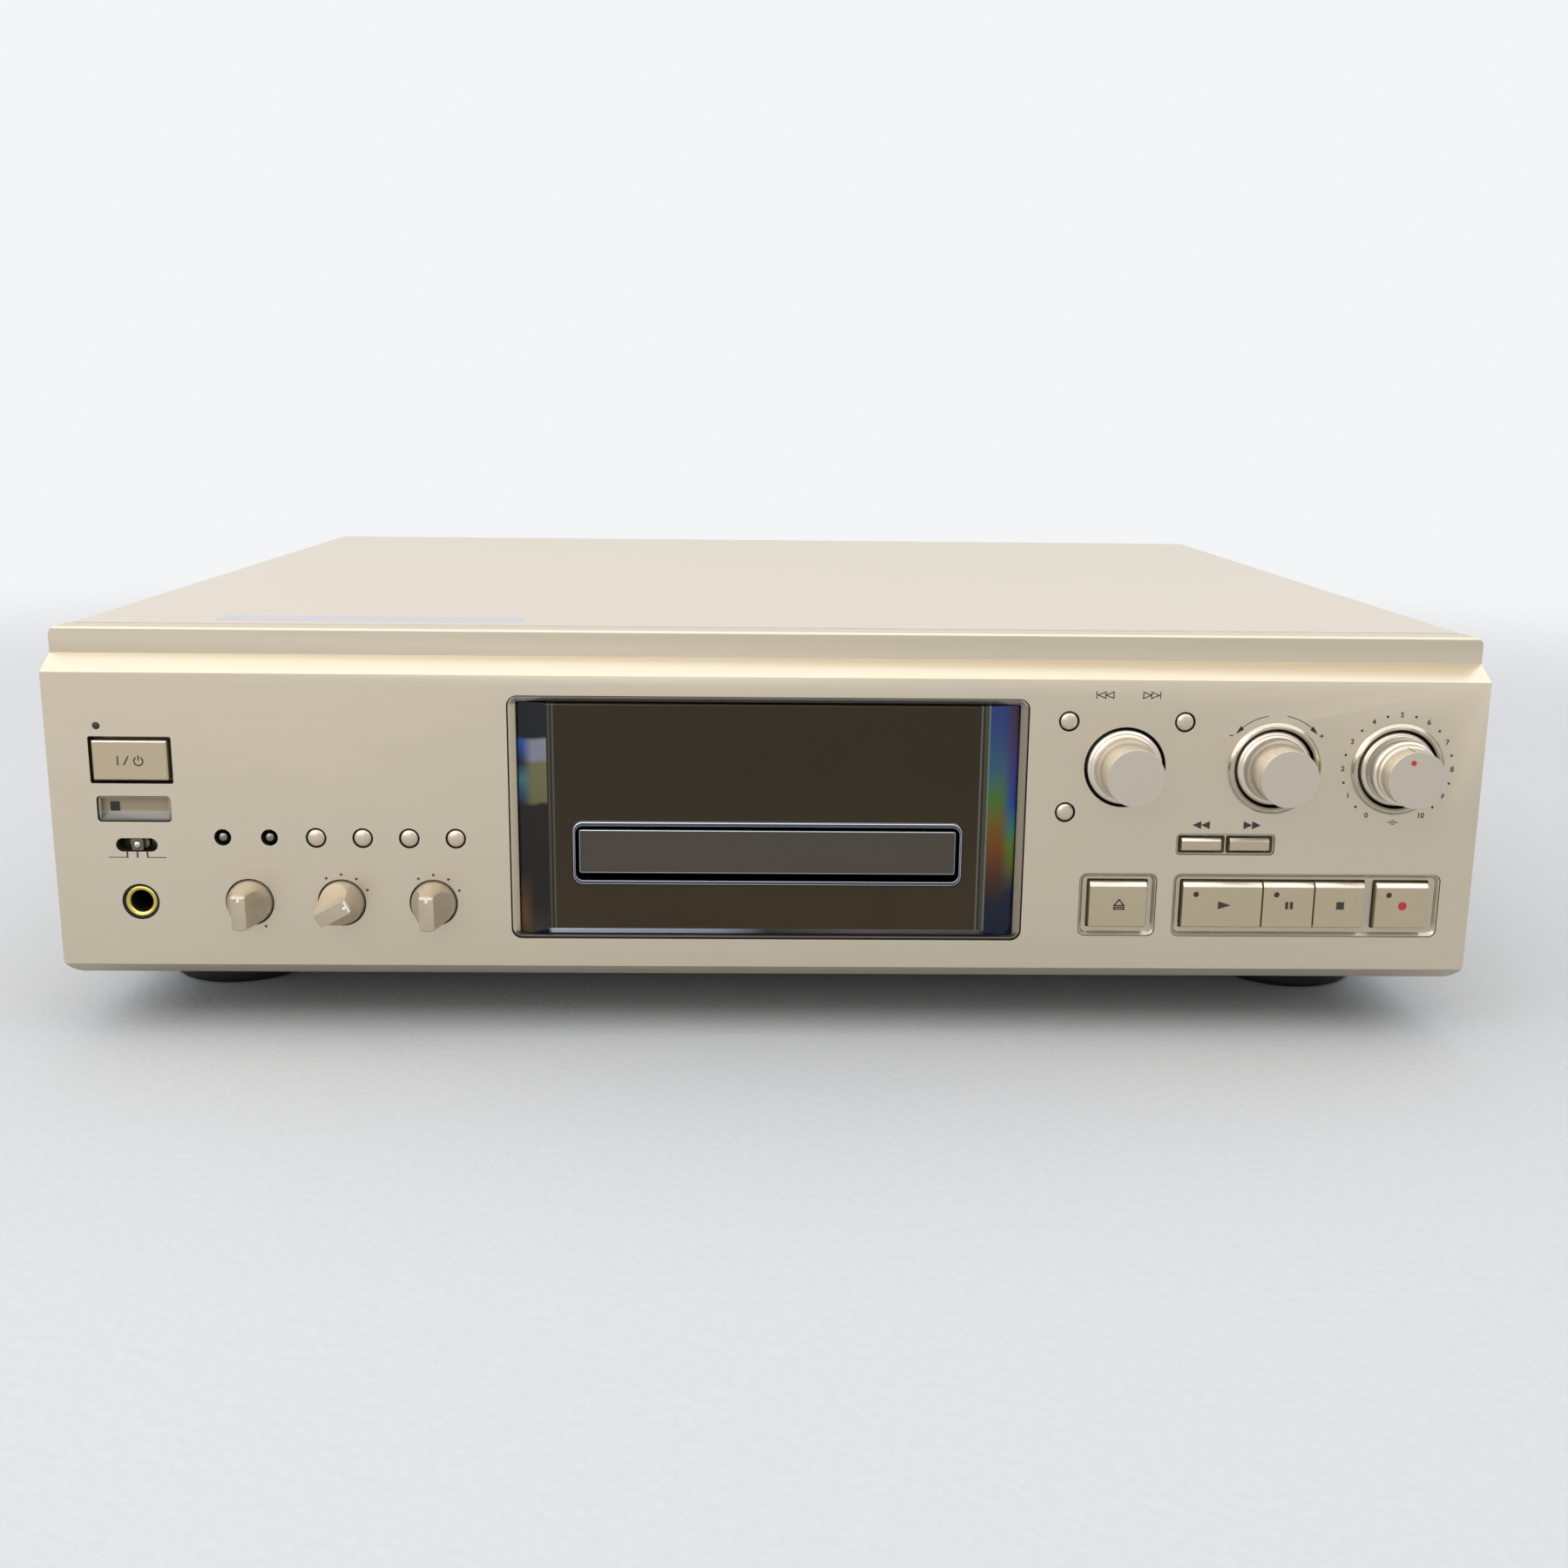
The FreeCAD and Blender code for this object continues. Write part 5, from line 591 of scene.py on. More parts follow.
def finish(name):
    """The named finish, made the first time that a piece takes it."""
    make, code, *values = FINISHES[name]
    colours = bpy.context.scene.deck_colours
    base = linear(code) if code.startswith("#") else getattr(colours, code)[:]
    return bpy.data.materials.get(name) or make(name, base, *values)


# ---- meshes -------------------------------------------------------------------------
def settle(piece, node, replaces=True):
    """The piece goes with a node: its body and, unless it only adds to it, its place."""
    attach(piece, BODY_OF[node])
    if replaces:
        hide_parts(node)
    return piece


def mesh_from(name, bm):
    """The built shape as a mesh of its own."""
    mesh = bpy.data.meshes.new(name)
    bm.to_mesh(mesh)
    bm.free()
    return mesh


def piece_from(name, mesh, materials, smooth=40.0):
    """Object with its materials, shaded smooth but for edges sharper than the given angle."""
    mesh.name = name
    for material in materials:
        mesh.materials.append(material)
    mesh.shade_smooth()
    mesh.set_sharp_from_angle(angle=math.radians(smooth))
    piece = bpy.data.objects.new(name, mesh)
    bpy.context.scene.collection.objects.link(piece)
    return piece


def clean_copy(node):
    """The node's mesh with its doubles merged and its flat regions joined."""
    bm = bmesh.new()
    bm.from_mesh(frame["nodes"][node].data)
    bmesh.ops.remove_doubles(bm, verts=bm.verts, dist=DOUBLES)
    bmesh.ops.dissolve_limit(bm, angle_limit=FLAT, verts=bm.verts, edges=bm.edges)
    return mesh_from(node, bm)


def dress(node, material, edge, limit=35.0, segments=2, rim=None):
    """Stands in for a node with its sharp edges rounded off, in a finish of their own or not."""
    piece = piece_from(node + "_dressed", clean_copy(node), [material] + ([rim] if rim else []))
    bevel = piece.modifiers.new("Edges", 'BEVEL')
    bevel.width = edge
    bevel.segments = segments
    bevel.limit_method = 'ANGLE'
    bevel.angle_limit = math.radians(limit)
    bevel.harden_normals = True
    bevel.material = 1 if rim else -1
    return settle(piece, node)


def carry_over(name, *nodes):
    """The nodes' own solids, in the named finish."""
    for node in nodes:
        for slot in frame["nodes"][node].material_slots:
            slot.material = finish(name)


def filleted(points, radius, steps=4):
    """Polyline of (radius, depth) points with its inner corners rounded."""
    result = [points[0]]
    for before, corner, after in zip(points, points[1:], points[2:]):
        p, c, n = Vector(before), Vector(corner), Vector(after)
        cut = min(radius, (p - c).length / 2, (n - c).length / 2)
        start, end = c + (p - c).normalized() * cut, c + (n - c).normalized() * cut
        for i in range(steps + 1):
            t = i / steps
            result.append(tuple((1 - t) ** 2 * start + 2 * t * (1 - t) * c + t ** 2 * end))
    return result + [points[-1]]


def lathe(name, profile, x, z, materials, steps=96, ring=False):
    """Turned piece about an axis along Y; profile points are (radius, y) in metres."""
    bm = bmesh.new()
    rows = []
    for radius, y in profile:
        count = 1 if radius < ON_AXIS else steps
        rows.append([bm.verts.new((x + radius * math.cos(2 * math.pi * i / steps), y,
                                   z + radius * math.sin(2 * math.pi * i / steps)))
                     for i in range(count)])
    pairs = list(zip(rows, rows[1:])) + ([(rows[-1], rows[0])] if ring else [])
    for near, far in pairs:
        for i in range(steps):
            j = (i + 1) % steps
            corners = [row[at % len(row)]
                       for row, at in ((near, i), (near, j), (far, j), (far, i))]
            unique = list(dict.fromkeys(corners))
            if len(unique) > 2:
                bm.faces.new(unique)
    bmesh.ops.recalc_face_normals(bm, faces=bm.faces)
    return piece_from(name, mesh_from(name, bm), materials)


# ---- printed shapes, drawn as (x, z) polygons in metres -----------------------------
def bar(x, z, w, h):
    """Upright rectangle about its middle."""
    return [[(x - w / 2, z - h / 2), (x + w / 2, z - h / 2), (x + w / 2, z + h / 2),
             (x - w / 2, z + h / 2)]]


def stroke(x0, z0, x1, z1, width):
    """Straight line with square ends."""
    ahead = Vector((x1 - x0, z1 - z0)).normalized() * width / 2
    aside = Vector((-ahead.y, ahead.x))
    a, b = Vector((x0, z0)) - ahead, Vector((x1, z1)) + ahead
    return [[tuple(a - aside), tuple(b - aside), tuple(b + aside), tuple(a + aside)]]


def disc(x, z, r, steps=32):
    """Filled circle."""
    angles = [2 * math.pi * i / steps for i in range(steps)]
    return [[(x + r * math.cos(a), z + r * math.sin(a)) for a in angles]]


def arc(x, z, r, first, last, width, steps=24):
    """Curved line; angles in degrees, clockwise from the top."""
    def at(radius, i):
        angle = math.radians(first + (last - first) * i / steps)
        return (x + radius * math.sin(angle), z + radius * math.cos(angle))
    inner, outer = r - width / 2, r + width / 2
    return [[at(inner, i), at(inner, i + 1), at(outer, i + 1), at(outer, i)] for i in range(steps)]


def closed_line(points, width):
    """Outline through the points and back to the first."""
    ends = zip(points, points[1:] + points[:1])
    return [shape for a, b in ends for shape in stroke(*a, *b, width)]


def triangle(x, z, w, h, facing=1):
    """Triangle that points to the right, or to the left with facing -1."""
    back, tip = x - facing * w / 2, x + facing * w / 2
    return [(back, z - h / 2), (tip, z), (back, z + h / 2)]


def numeral(text, x, z, height):
    """A number as polygons, centred on its place."""
    cap_share, weight = 0.72, 0.035          # cap height per font size, added weight per height
    curve = bpy.data.curves.new("numeral", 'FONT')
    curve.body = text
    curve.size = height / cap_share
    curve.offset = height * weight
    curve.align_x, curve.align_y = 'CENTER', 'CENTER'
    writer = bpy.data.objects.new("numeral", curve)
    mesh = bpy.data.meshes.new_from_object(writer)
    shapes = [[(x + mesh.vertices[i].co.x, z + mesh.vertices[i].co.y) for i in face.vertices]
              for face in mesh.polygons]
    bpy.data.objects.remove(writer)
    bpy.data.meshes.remove(mesh)
    bpy.data.curves.remove(curve)
    return shapes


def placed(shapes, middle, degrees=0.0):
    """Shapes about the origin, turned clockwise and moved to their place."""
    c, s = math.cos(math.radians(degrees)), math.sin(math.radians(degrees))
    return [[(middle.x + x * c + z * s, middle.z - x * s + z * c) for x, z in shape]
            for shape in shapes]


def printed(name, node, shapes, front, height, material):
    """Thin raised print that goes with a node, on a surface that faces the front."""
    bm = bmesh.new()
    for shape in shapes:
        bm.faces.new([bm.verts.new((x, front, z)) for x, z in shape])
    bmesh.ops.remove_doubles(bm, verts=bm.verts, dist=2 * DOUBLES)
    grown = bmesh.ops.extrude_face_region(bm, geom=bm.faces[:])
    moved = [item for item in grown["geom"] if isinstance(item, bmesh.types.BMVert)]
    bmesh.ops.translate(bm, verts=moved, vec=(0.0, height, 0.0))
    bmesh.ops.recalc_face_normals(bm, faces=bm.faces)
    # The extrusion's walls come in an order that changes from run to run.
    ordered = sorted(bm.faces, key=lambda face: [corner.co[:] for corner in face.verts])
    for index, face in enumerate(ordered):
        face.index = index
    bm.faces.sort()
    return settle(piece_from(name, mesh_from(name, bm), [material]), node, replaces=False)


# ---- geometry nodes -----------------------------------------------------------------
def node_tree(name, sockets):
    """Geometry tree with named inputs; each socket is (name, type)."""
    tree = bpy.data.node_groups.new(name, 'GeometryNodeTree')
    tree.interface.new_socket("Geometry", in_out='OUTPUT', socket_type='NodeSocketGeometry')
    for label, kind in [("Geometry", 'NodeSocketGeometry')] + sockets:
        tree.interface.new_socket(label, in_out='INPUT', socket_type=kind)
    return tree, add(tree, "NodeGroupInput"), add(tree, "NodeGroupOutput")


def baked(tree, mesh, values):
    """Runs the tree on a mesh and returns the result as a plain mesh."""
    host = bpy.data.objects.new("host", mesh)
    bpy.context.scene.collection.objects.link(host)
    modifier = host.modifiers.new("Nodes", 'NODES')
    modifier.node_group = tree
    for item in tree.interface.items_tree:
        if item.in_out == 'INPUT' and item.name in values:
            modifier[item.identifier] = values[item.name]
    depsgraph = bpy.context.evaluated_depsgraph_get()
    result = bpy.data.meshes.new_from_object(host.evaluated_get(depsgraph))
    bpy.data.objects.remove(host)
    return result


def dial_tree():
    """Round dots along an arc about an axis along Y."""
    tree, start, end = node_tree("Dial dots", [
        ("Centre", 'NodeSocketVector'), ("Radius", 'NodeSocketFloat'),
        ("First", 'NodeSocketFloat'), ("Step", 'NodeSocketFloat'), ("Count", 'NodeSocketInt'),
        ("Dot radius", 'NodeSocketFloat'), ("Height", 'NodeSocketFloat'),
        ("Material", 'NodeSocketMaterial')])
    index = add(tree, "GeometryNodeInputIndex")
    angle = add(tree, "ShaderNodeMath", {0: index.outputs[0], 1: start.outputs["Step"],
                                         2: start.outputs["First"]}, operation='MULTIPLY_ADD')
    sine = add(tree, "ShaderNodeMath", {0: angle.outputs[0]}, operation='SINE')
    cosine = add(tree, "ShaderNodeMath", {0: angle.outputs[0]}, operation='COSINE')
    unit = add(tree, "ShaderNodeCombineXYZ", {"X": sine.outputs[0], "Z": cosine.outputs[0]})
    place = add(tree, "ShaderNodeVectorMath", {
        0: unit.outputs[0], 1: start.outputs["Radius"], 2: start.outputs["Centre"]},
        operation='MULTIPLY_ADD')
    points = add(tree, "GeometryNodePoints", {"Count": start.outputs["Count"],
                                              "Position": place.outputs[0]})
    dot = add(tree, "GeometryNodeMeshCylinder", {
        "Vertices": 20, "Radius": start.outputs["Dot radius"], "Depth": start.outputs["Height"]})
    copies = add(tree, "GeometryNodeInstanceOnPoints", {
        "Points": points.outputs[0], "Instance": dot.outputs["Mesh"],
        "Rotation": (math.pi / 2, 0.0, 0.0)})
    real = add(tree, "GeometryNodeRealizeInstances", {"Geometry": copies.outputs[0]})
    inked = add(tree, "GeometryNodeSetMaterial", {"Geometry": real.outputs[0],
                                                  "Material": start.outputs["Material"]})
    tree.links.new(inked.outputs[0], end.inputs[0])
    return tree


def screw_tree():
    """A cross-head screw on every point, turned to face along the point's own direction."""
    taper, reach, slot = 0.78, 1.1, 0.26     # shares of the head's radius
    tree, start, end = node_tree("Cross-head screws", [
        ("Head radius", 'NodeSocketFloat'), ("Head height", 'NodeSocketFloat'),
        ("Material", 'NodeSocketMaterial')])
    radius, height = start.outputs["Head radius"], start.outputs["Head height"]
    top = add(tree, "ShaderNodeMath", {0: radius, 1: taper}, operation='MULTIPLY')
    head = add(tree, "GeometryNodeMeshCone", {"Vertices": 28, "Radius Top": top.outputs[0],
                                              "Radius Bottom": radius, "Depth": height})
    arm = add(tree, "ShaderNodeMath", {0: radius, 1: reach}, operation='MULTIPLY')
    slim = add(tree, "ShaderNodeMath", {0: radius, 1: slot}, operation='MULTIPLY')
    sizes = [add(tree, "ShaderNodeCombineXYZ", {"X": a, "Y": b, "Z": height})
             for a, b in ((arm.outputs[0], slim.outputs[0]), (slim.outputs[0], arm.outputs[0]))]
    lift = add(tree, "ShaderNodeCombineXYZ", {"Z": height})
    cross = [add(tree, "GeometryNodeTransform", {
        "Geometry": add(tree, "GeometryNodeMeshCube", {"Size": size.outputs[0]}).outputs["Mesh"],
        "Translation": lift.outputs[0]}) for size in sizes]
    cut = add(tree, "GeometryNodeMeshBoolean", {0: head.outputs["Mesh"]}, operation='DIFFERENCE',
              solver='EXACT')
    for beam in cross:
        tree.links.new(beam.outputs[0], cut.inputs[1])
    facing = add(tree, "GeometryNodeInputNamedAttribute", {"Name": "facing"},
                 data_type='FLOAT_VECTOR')
    turn = add(tree, "FunctionNodeAlignRotationToVector", {"Vector": facing.outputs[0]}, axis='Z')
    scale = add(tree, "GeometryNodeInputNamedAttribute", {"Name": "size"}, data_type='FLOAT')
    copies = add(tree, "GeometryNodeInstanceOnPoints", {
        "Points": start.outputs["Geometry"], "Instance": cut.outputs["Mesh"],
        "Rotation": turn.outputs[0], "Scale": scale.outputs[0]})
    real = add(tree, "GeometryNodeRealizeInstances", {"Geometry": copies.outputs[0]})
    plated = add(tree, "GeometryNodeSetMaterial", {"Geometry": real.outputs[0],
                                                   "Material": start.outputs["Material"]})
    tree.links.new(plated.outputs[0], end.inputs[0])
    return tree


# ---- the stage ----------------------------------------------------------------------
class DECK_OT_stage(bpy.types.Operator):
    """Floor, soft light, background and camera"""
    bl_idname = "deck.stage"
    bl_label = "Stage"

    def execute(self, context):
        stage, colours = context.scene.deck_stage, context.scene.deck_colours
        bm = bmesh.new()
        bmesh.ops.create_grid(bm, x_segments=1, y_segments=1, size=FLOOR_REACH)
        carpet = woven_floor("short pile carpet", colours.floor[:], colours.backdrop[:])
        piece_from("floor", mesh_from("floor", bm), [carpet])
        self.light("overhead", *OVERHEAD_LAMP, stage.top)
        self.light("front", *FRONT_LAMP, stage.front)
        self.sky(context.scene, stage.world, colours.backdrop[:])
        self.camera(context.scene, stage.lens)
        context.scene.view_settings.view_transform = 'Standard'
        return {'FINISHED'}

    def light(self, name, place, target, size, power):
        """Flat lamp, aimed at its target."""
        lamp = bpy.data.lights.new(name, 'AREA')
        lamp.shape = 'RECTANGLE'
        lamp.size, lamp.size_y = size
        lamp.energy = power
        holder = bpy.data.objects.new(name, lamp)
        holder.location = place
        aim = Vector(target) - Vector(place)
        holder.rotation_euler = aim.to_track_quat('-Z', 'Y').to_euler()
        bpy.context.scene.collection.objects.link(holder)

    def sky(self, scene, strength, backdrop):
        """Even light on matt surfaces; the camera and reflections see the pale background."""
        world = bpy.data.worlds.new("studio")
        world.use_nodes = True
        scene.world = world
        tree = world.node_tree
        seen = add(tree, "ShaderNodeLightPath")
        mirrored = add(tree, "ShaderNodeMath", {0: seen.outputs["Is Glossy Ray"],
                                                1: seen.outputs["Is Transmission Ray"]},
                       operation='MAXIMUM')
        shown = add(tree, "ShaderNodeMath", {0: seen.outputs["Is Camera Ray"],
                                             1: mirrored.outputs[0]}, operation='MAXIMUM')
        level = add(tree, "ShaderNodeMapRange", {"Value": shown.outputs[0], "To Min": strength,
                                                 "To Max": 1.0})
        background = tree.nodes["Background"]
        background.inputs["Color"].default_value = backdrop
        tree.links.new(level.outputs["Result"], background.inputs["Strength"])

    def camera(self, scene, lens):
        """Square on to the front, from a little above."""
        forward = Vector((math.sin(YAW) * math.cos(DIP), math.cos(YAW) * math.cos(DIP),
                          -math.sin(DIP)))
        right = Vector((math.cos(YAW), -math.sin(YAW), 0.0))
        up = right.cross(forward)
        across = math.cos(ROLL) * right + math.sin(ROLL) * up
        upward = math.cos(ROLL) * up - math.sin(ROLL) * right
        data = bpy.data.cameras.new("camera")
        data.lens, data.sensor_width = lens, SENSOR_WIDTH
        data.clip_start, data.clip_end = 0.01, 20.0
        camera = bpy.data.objects.new("camera", data)
        turn = Matrix((across, upward, -forward)).transposed().to_4x4()
        camera.matrix_world = Matrix.Translation(CAMERA_PLACE) @ turn
        scene.collection.objects.link(camera)
        scene.camera = camera


# ---- fascia and window --------------------------------------------------------------
class DECK_OT_fascia(bpy.types.Operator):
    """Fascia with its broken edges, and the standby lamp"""
    bl_idname = "deck.fascia"
    bl_label = "Fascia"

    def execute(self, context):
        sizes, colours = context.scene.deck_sizes, context.scene.deck_colours
        fascia = dress("fascia", finish("hairline anodised aluminium"), sizes.fascia_edge)
        self.paint_openings(fascia)
        self.shade_bevel(fascia, shaded(colours.fascia[:], 0.78))
        x, z = STANDBY_LAMP
        profile = filleted([(0.0, FACE - 0.25 * MM), (STANDBY_RADIUS, FACE + 0.05 * MM),
                            (STANDBY_RADIUS, FACE + STANDBY_BACK), (0.0, FACE + STANDBY_BACK)],
                           STANDBY_ROUND)
        lamp = lathe("standby_lamp", profile, x, z, [finish("dark acrylic lamp")], steps=32)
        settle(lamp, "ir_window", replaces=False)
        return {'FINISHED'}

    def paint_openings(self, fascia):
        """The walls of the openings take a dark colour as painted shade; the edges stay bright."""
        fascia.data.materials.append(finish("matt brown black paint"))
        fascia.modifiers["Edges"].material = 0
        low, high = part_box("fascia")
        left, right, foot = (low.x + OPENING_MARGIN, high.x - OPENING_MARGIN,
                             low.z + OPENING_MARGIN)
        for face in fascia.data.polygons:
            x, y, z = face.center
            inside = left < x < right and foot < z < LEDGE_FOOT and y < FACE + WALL_DEPTH
            if inside and abs(face.normal.y) < 0.05:
                face.material_index = 1

    def shade_bevel(self, fascia, colour):
        """The bevel at the foot faces down and takes painted shade, a darker copy of the fascia's finish."""
        fascia.data.materials.append(hairline_anodised_aluminium("milled anodised aluminium",
                                                                 colour))
        for face in fascia.data.polygons:
            if face.normal.z < -0.25 and face.normal.y < -0.25:
                face.material_index = 2


class DECK_OT_window(bpy.types.Operator):
    """Smoked block with its facets, metal frame, slot bezel and tray door"""
    bl_idname = "deck.window"
    bl_label = "Window"

    def execute(self, context):
        sizes = context.scene.deck_sizes
        dress("window_frame", finish("champagne lacquered frame"), sizes.metal_edge)
        self.block(sizes)
        # The bevelled edges of the bezel and the door take bright chrome as a painted highlight.
        bright = finish("polished chrome edge")
        dress("tray_bezel", finish("black chrome plate"), sizes.rim_edge, rim=bright)
        dress("tray_door", finish("mirror gloss ABS"), sizes.door_edge, segments=3, rim=bright)
        return {'FINISHED'}

    def block(self, sizes):
        """The block's ends and its foot are facets, each with its own painted light and reflections."""
        block = dress("window_block", finish("smoked cast acrylic"), sizes.glass_edge, limit=15.0)
        low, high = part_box("window_block")
        left, right = (low.x + FACET_WIDTH, low.x), (high.x - FACET_WIDTH, high.x)
        for facet in (prismatic_facet("left bevelled facet", LEFT_INNER_PAINTED, LEFT_OUTER_PAINTED, left),
                      prismatic_facet("right bevelled facet", RIGHT_INNER_PAINTED, RIGHT_OUTER_PAINTED, right),
                      lower_bevel("lower bevel")):
            block.data.materials.append(facet)
        # The end facets take painted split light, and the foot takes a painted reflection.
        for face in block.data.polygons:
            sideways, ahead, upward = face.normal.x, -face.normal.y, face.normal.z
            if ahead > 0.5 and abs(sideways) > 0.2:
                face.material_index = 1 if sideways < 0 else 2
            elif ahead > 0.5 and upward < -0.5:
                face.material_index = 3


# ---- keys and buttons ---------------------------------------------------------------
class DECK_OT_keys(bpy.types.Operator):
    """Rectangular keys, their bezels, signs and lamps"""
    bl_idname = "deck.keys"
    bl_label = "Keys"

    def execute(self, context):
        sizes = context.scene.deck_sizes
        for node in KEYS:
            key = dress(node, finish("champagne lacquered ABS"), sizes.key_edge)
            # The top bevel of each key takes a lighter lacquer as a painted highlight.
            key.data.materials.append(finish("polished pearl lacquer"))
            for face in key.data.polygons:
                if face.normal.z > 0.3 and face.normal.y < -0.3:
                    face.material_index = 1
        dress("key_bezels", finish("grey champagne lacquered ABS"), sizes.metal_edge)
        for node, sign in key_signs(sizes.key_stroke).items():
            ink = finish("red printing ink" if node == "record_key" else "dark brown printing ink")
            printed(node + "_symbol", node, placed(sign, centre_of(node)),
                    front_of(node) - sizes.ink, sizes.ink * 1.5, ink)
        for node, aside in KEY_LAMPS:
            self.lamp(node, aside, sizes.lamp)
        return {'FINISHED'}

    def lamp(self, node, aside, radius):
        """Small lens with a flat dome, let into the key's face."""
        face, middle = front_of(node), centre_of(node)
        profile = filleted([(0.0, face - 0.22 * MM), (radius * 0.8, face - 0.15 * MM),
                            (radius, face + 0.1 * MM), (radius, face + 1.0 * MM),
                            (0.0, face + 1.0 * MM)], 0.2 * MM)
        lens = lathe(node + "_lamp", profile, middle.x + aside, middle.z + KEY_LAMP_UP,
                     [finish("dark acrylic lamp")], steps=32)
        settle(lens, node, replaces=False)


def key_signs(width):
    """The sign of each key that has one, about the middle of the key."""
    aside = Vector((SIGN_ASIDE, 0.0, 0.0))
    signs = {"play_key": [triangle(0.4 * MM, 0.0, 4.0 * MM, 2.5 * MM)],
             "pause_key": bar(-0.72 * MM, 0.0, 0.95 * MM, 2.3 * MM)
             + bar(0.72 * MM, 0.0, 0.95 * MM, 2.3 * MM),
             "stop_key": bar(0.0, 0.0, 2.4 * MM, 2.4 * MM),
             "record_key": disc(0.0, 0.0, 1.35 * MM),
             "eject_key": eject_sign(width)}
    signs = {node: placed(sign, aside) for node, sign in signs.items()}
    return {**signs, "power_key": power_sign(width)}


def eject_sign(width):
    """Outlined roof over an outlined bar."""
    half, peak, eaves, top, foot = 1.5 * MM, 1.6 * MM, -0.2 * MM, -0.8 * MM, -1.4 * MM
    roof = closed_line([(-half, eaves), (half, eaves), (0.0, peak)], width)
    return roof + closed_line([(-half, foot), (half, foot), (half, top), (-half, top)], width)


def power_sign(width):
    """A line, a slash, and an open circle with a line in its gap."""
    line_x, circle_x = -3.5 * MM, 2.6 * MM
    return (bar(line_x, 0.0, width, 2.8 * MM)
            + stroke(-1.7 * MM, -1.2 * MM, -0.4 * MM, 1.2 * MM, width)
            + arc(circle_x, -0.15 * MM, 1.3 * MM, 32, 328, width)
            + bar(circle_x, 0.8 * MM, width, 1.6 * MM))


class DECK_OT_buttons(bpy.types.Operator):
    """Round buttons with domed pearl caps, and the two recessed pins"""
    bl_idname = "deck.buttons"
    bl_label = "Round buttons"

    def execute(self, context):
        for node in ROUND_BUTTONS:
            self.button(node, BUTTON_RADIUS, BUTTON_DOME, finish("pearl lacquered ABS"))
        for node in PIN_BUTTONS:
            self.button(node, PIN_RADIUS, PIN_DOME, finish("dark nickel plate"))
        return {'FINISHED'}

    def button(self, node, radius, dome, material):
        """Domed cap, the flange that keeps it in, and its stem."""
        low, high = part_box(node)
        place = centre_of(node)
        flange = (high.x - low.x) / 2
        front, back = FACE + FLANGE_DEPTH, FACE + FLANGE_DEPTH + FLANGE
        profile = domed(radius, dome, low.y, 10)
        profile += [(radius, front), (flange, front), (flange, back), (STEM_RADIUS, back),
                    (STEM_RADIUS, high.y), (0.0, high.y)]
        settle(lathe(node + "_cap", profile, place.x, place.z, [material], steps=64), node)


def domed(radius, rise, front, steps):
    """A quarter of an ellipse, from the tip of a dome to its rim."""
    angles = [math.pi / 2 * i / steps for i in range(steps + 1)]
    return [(radius * math.sin(a), front + rise * (1 - math.cos(a))) for a in angles]


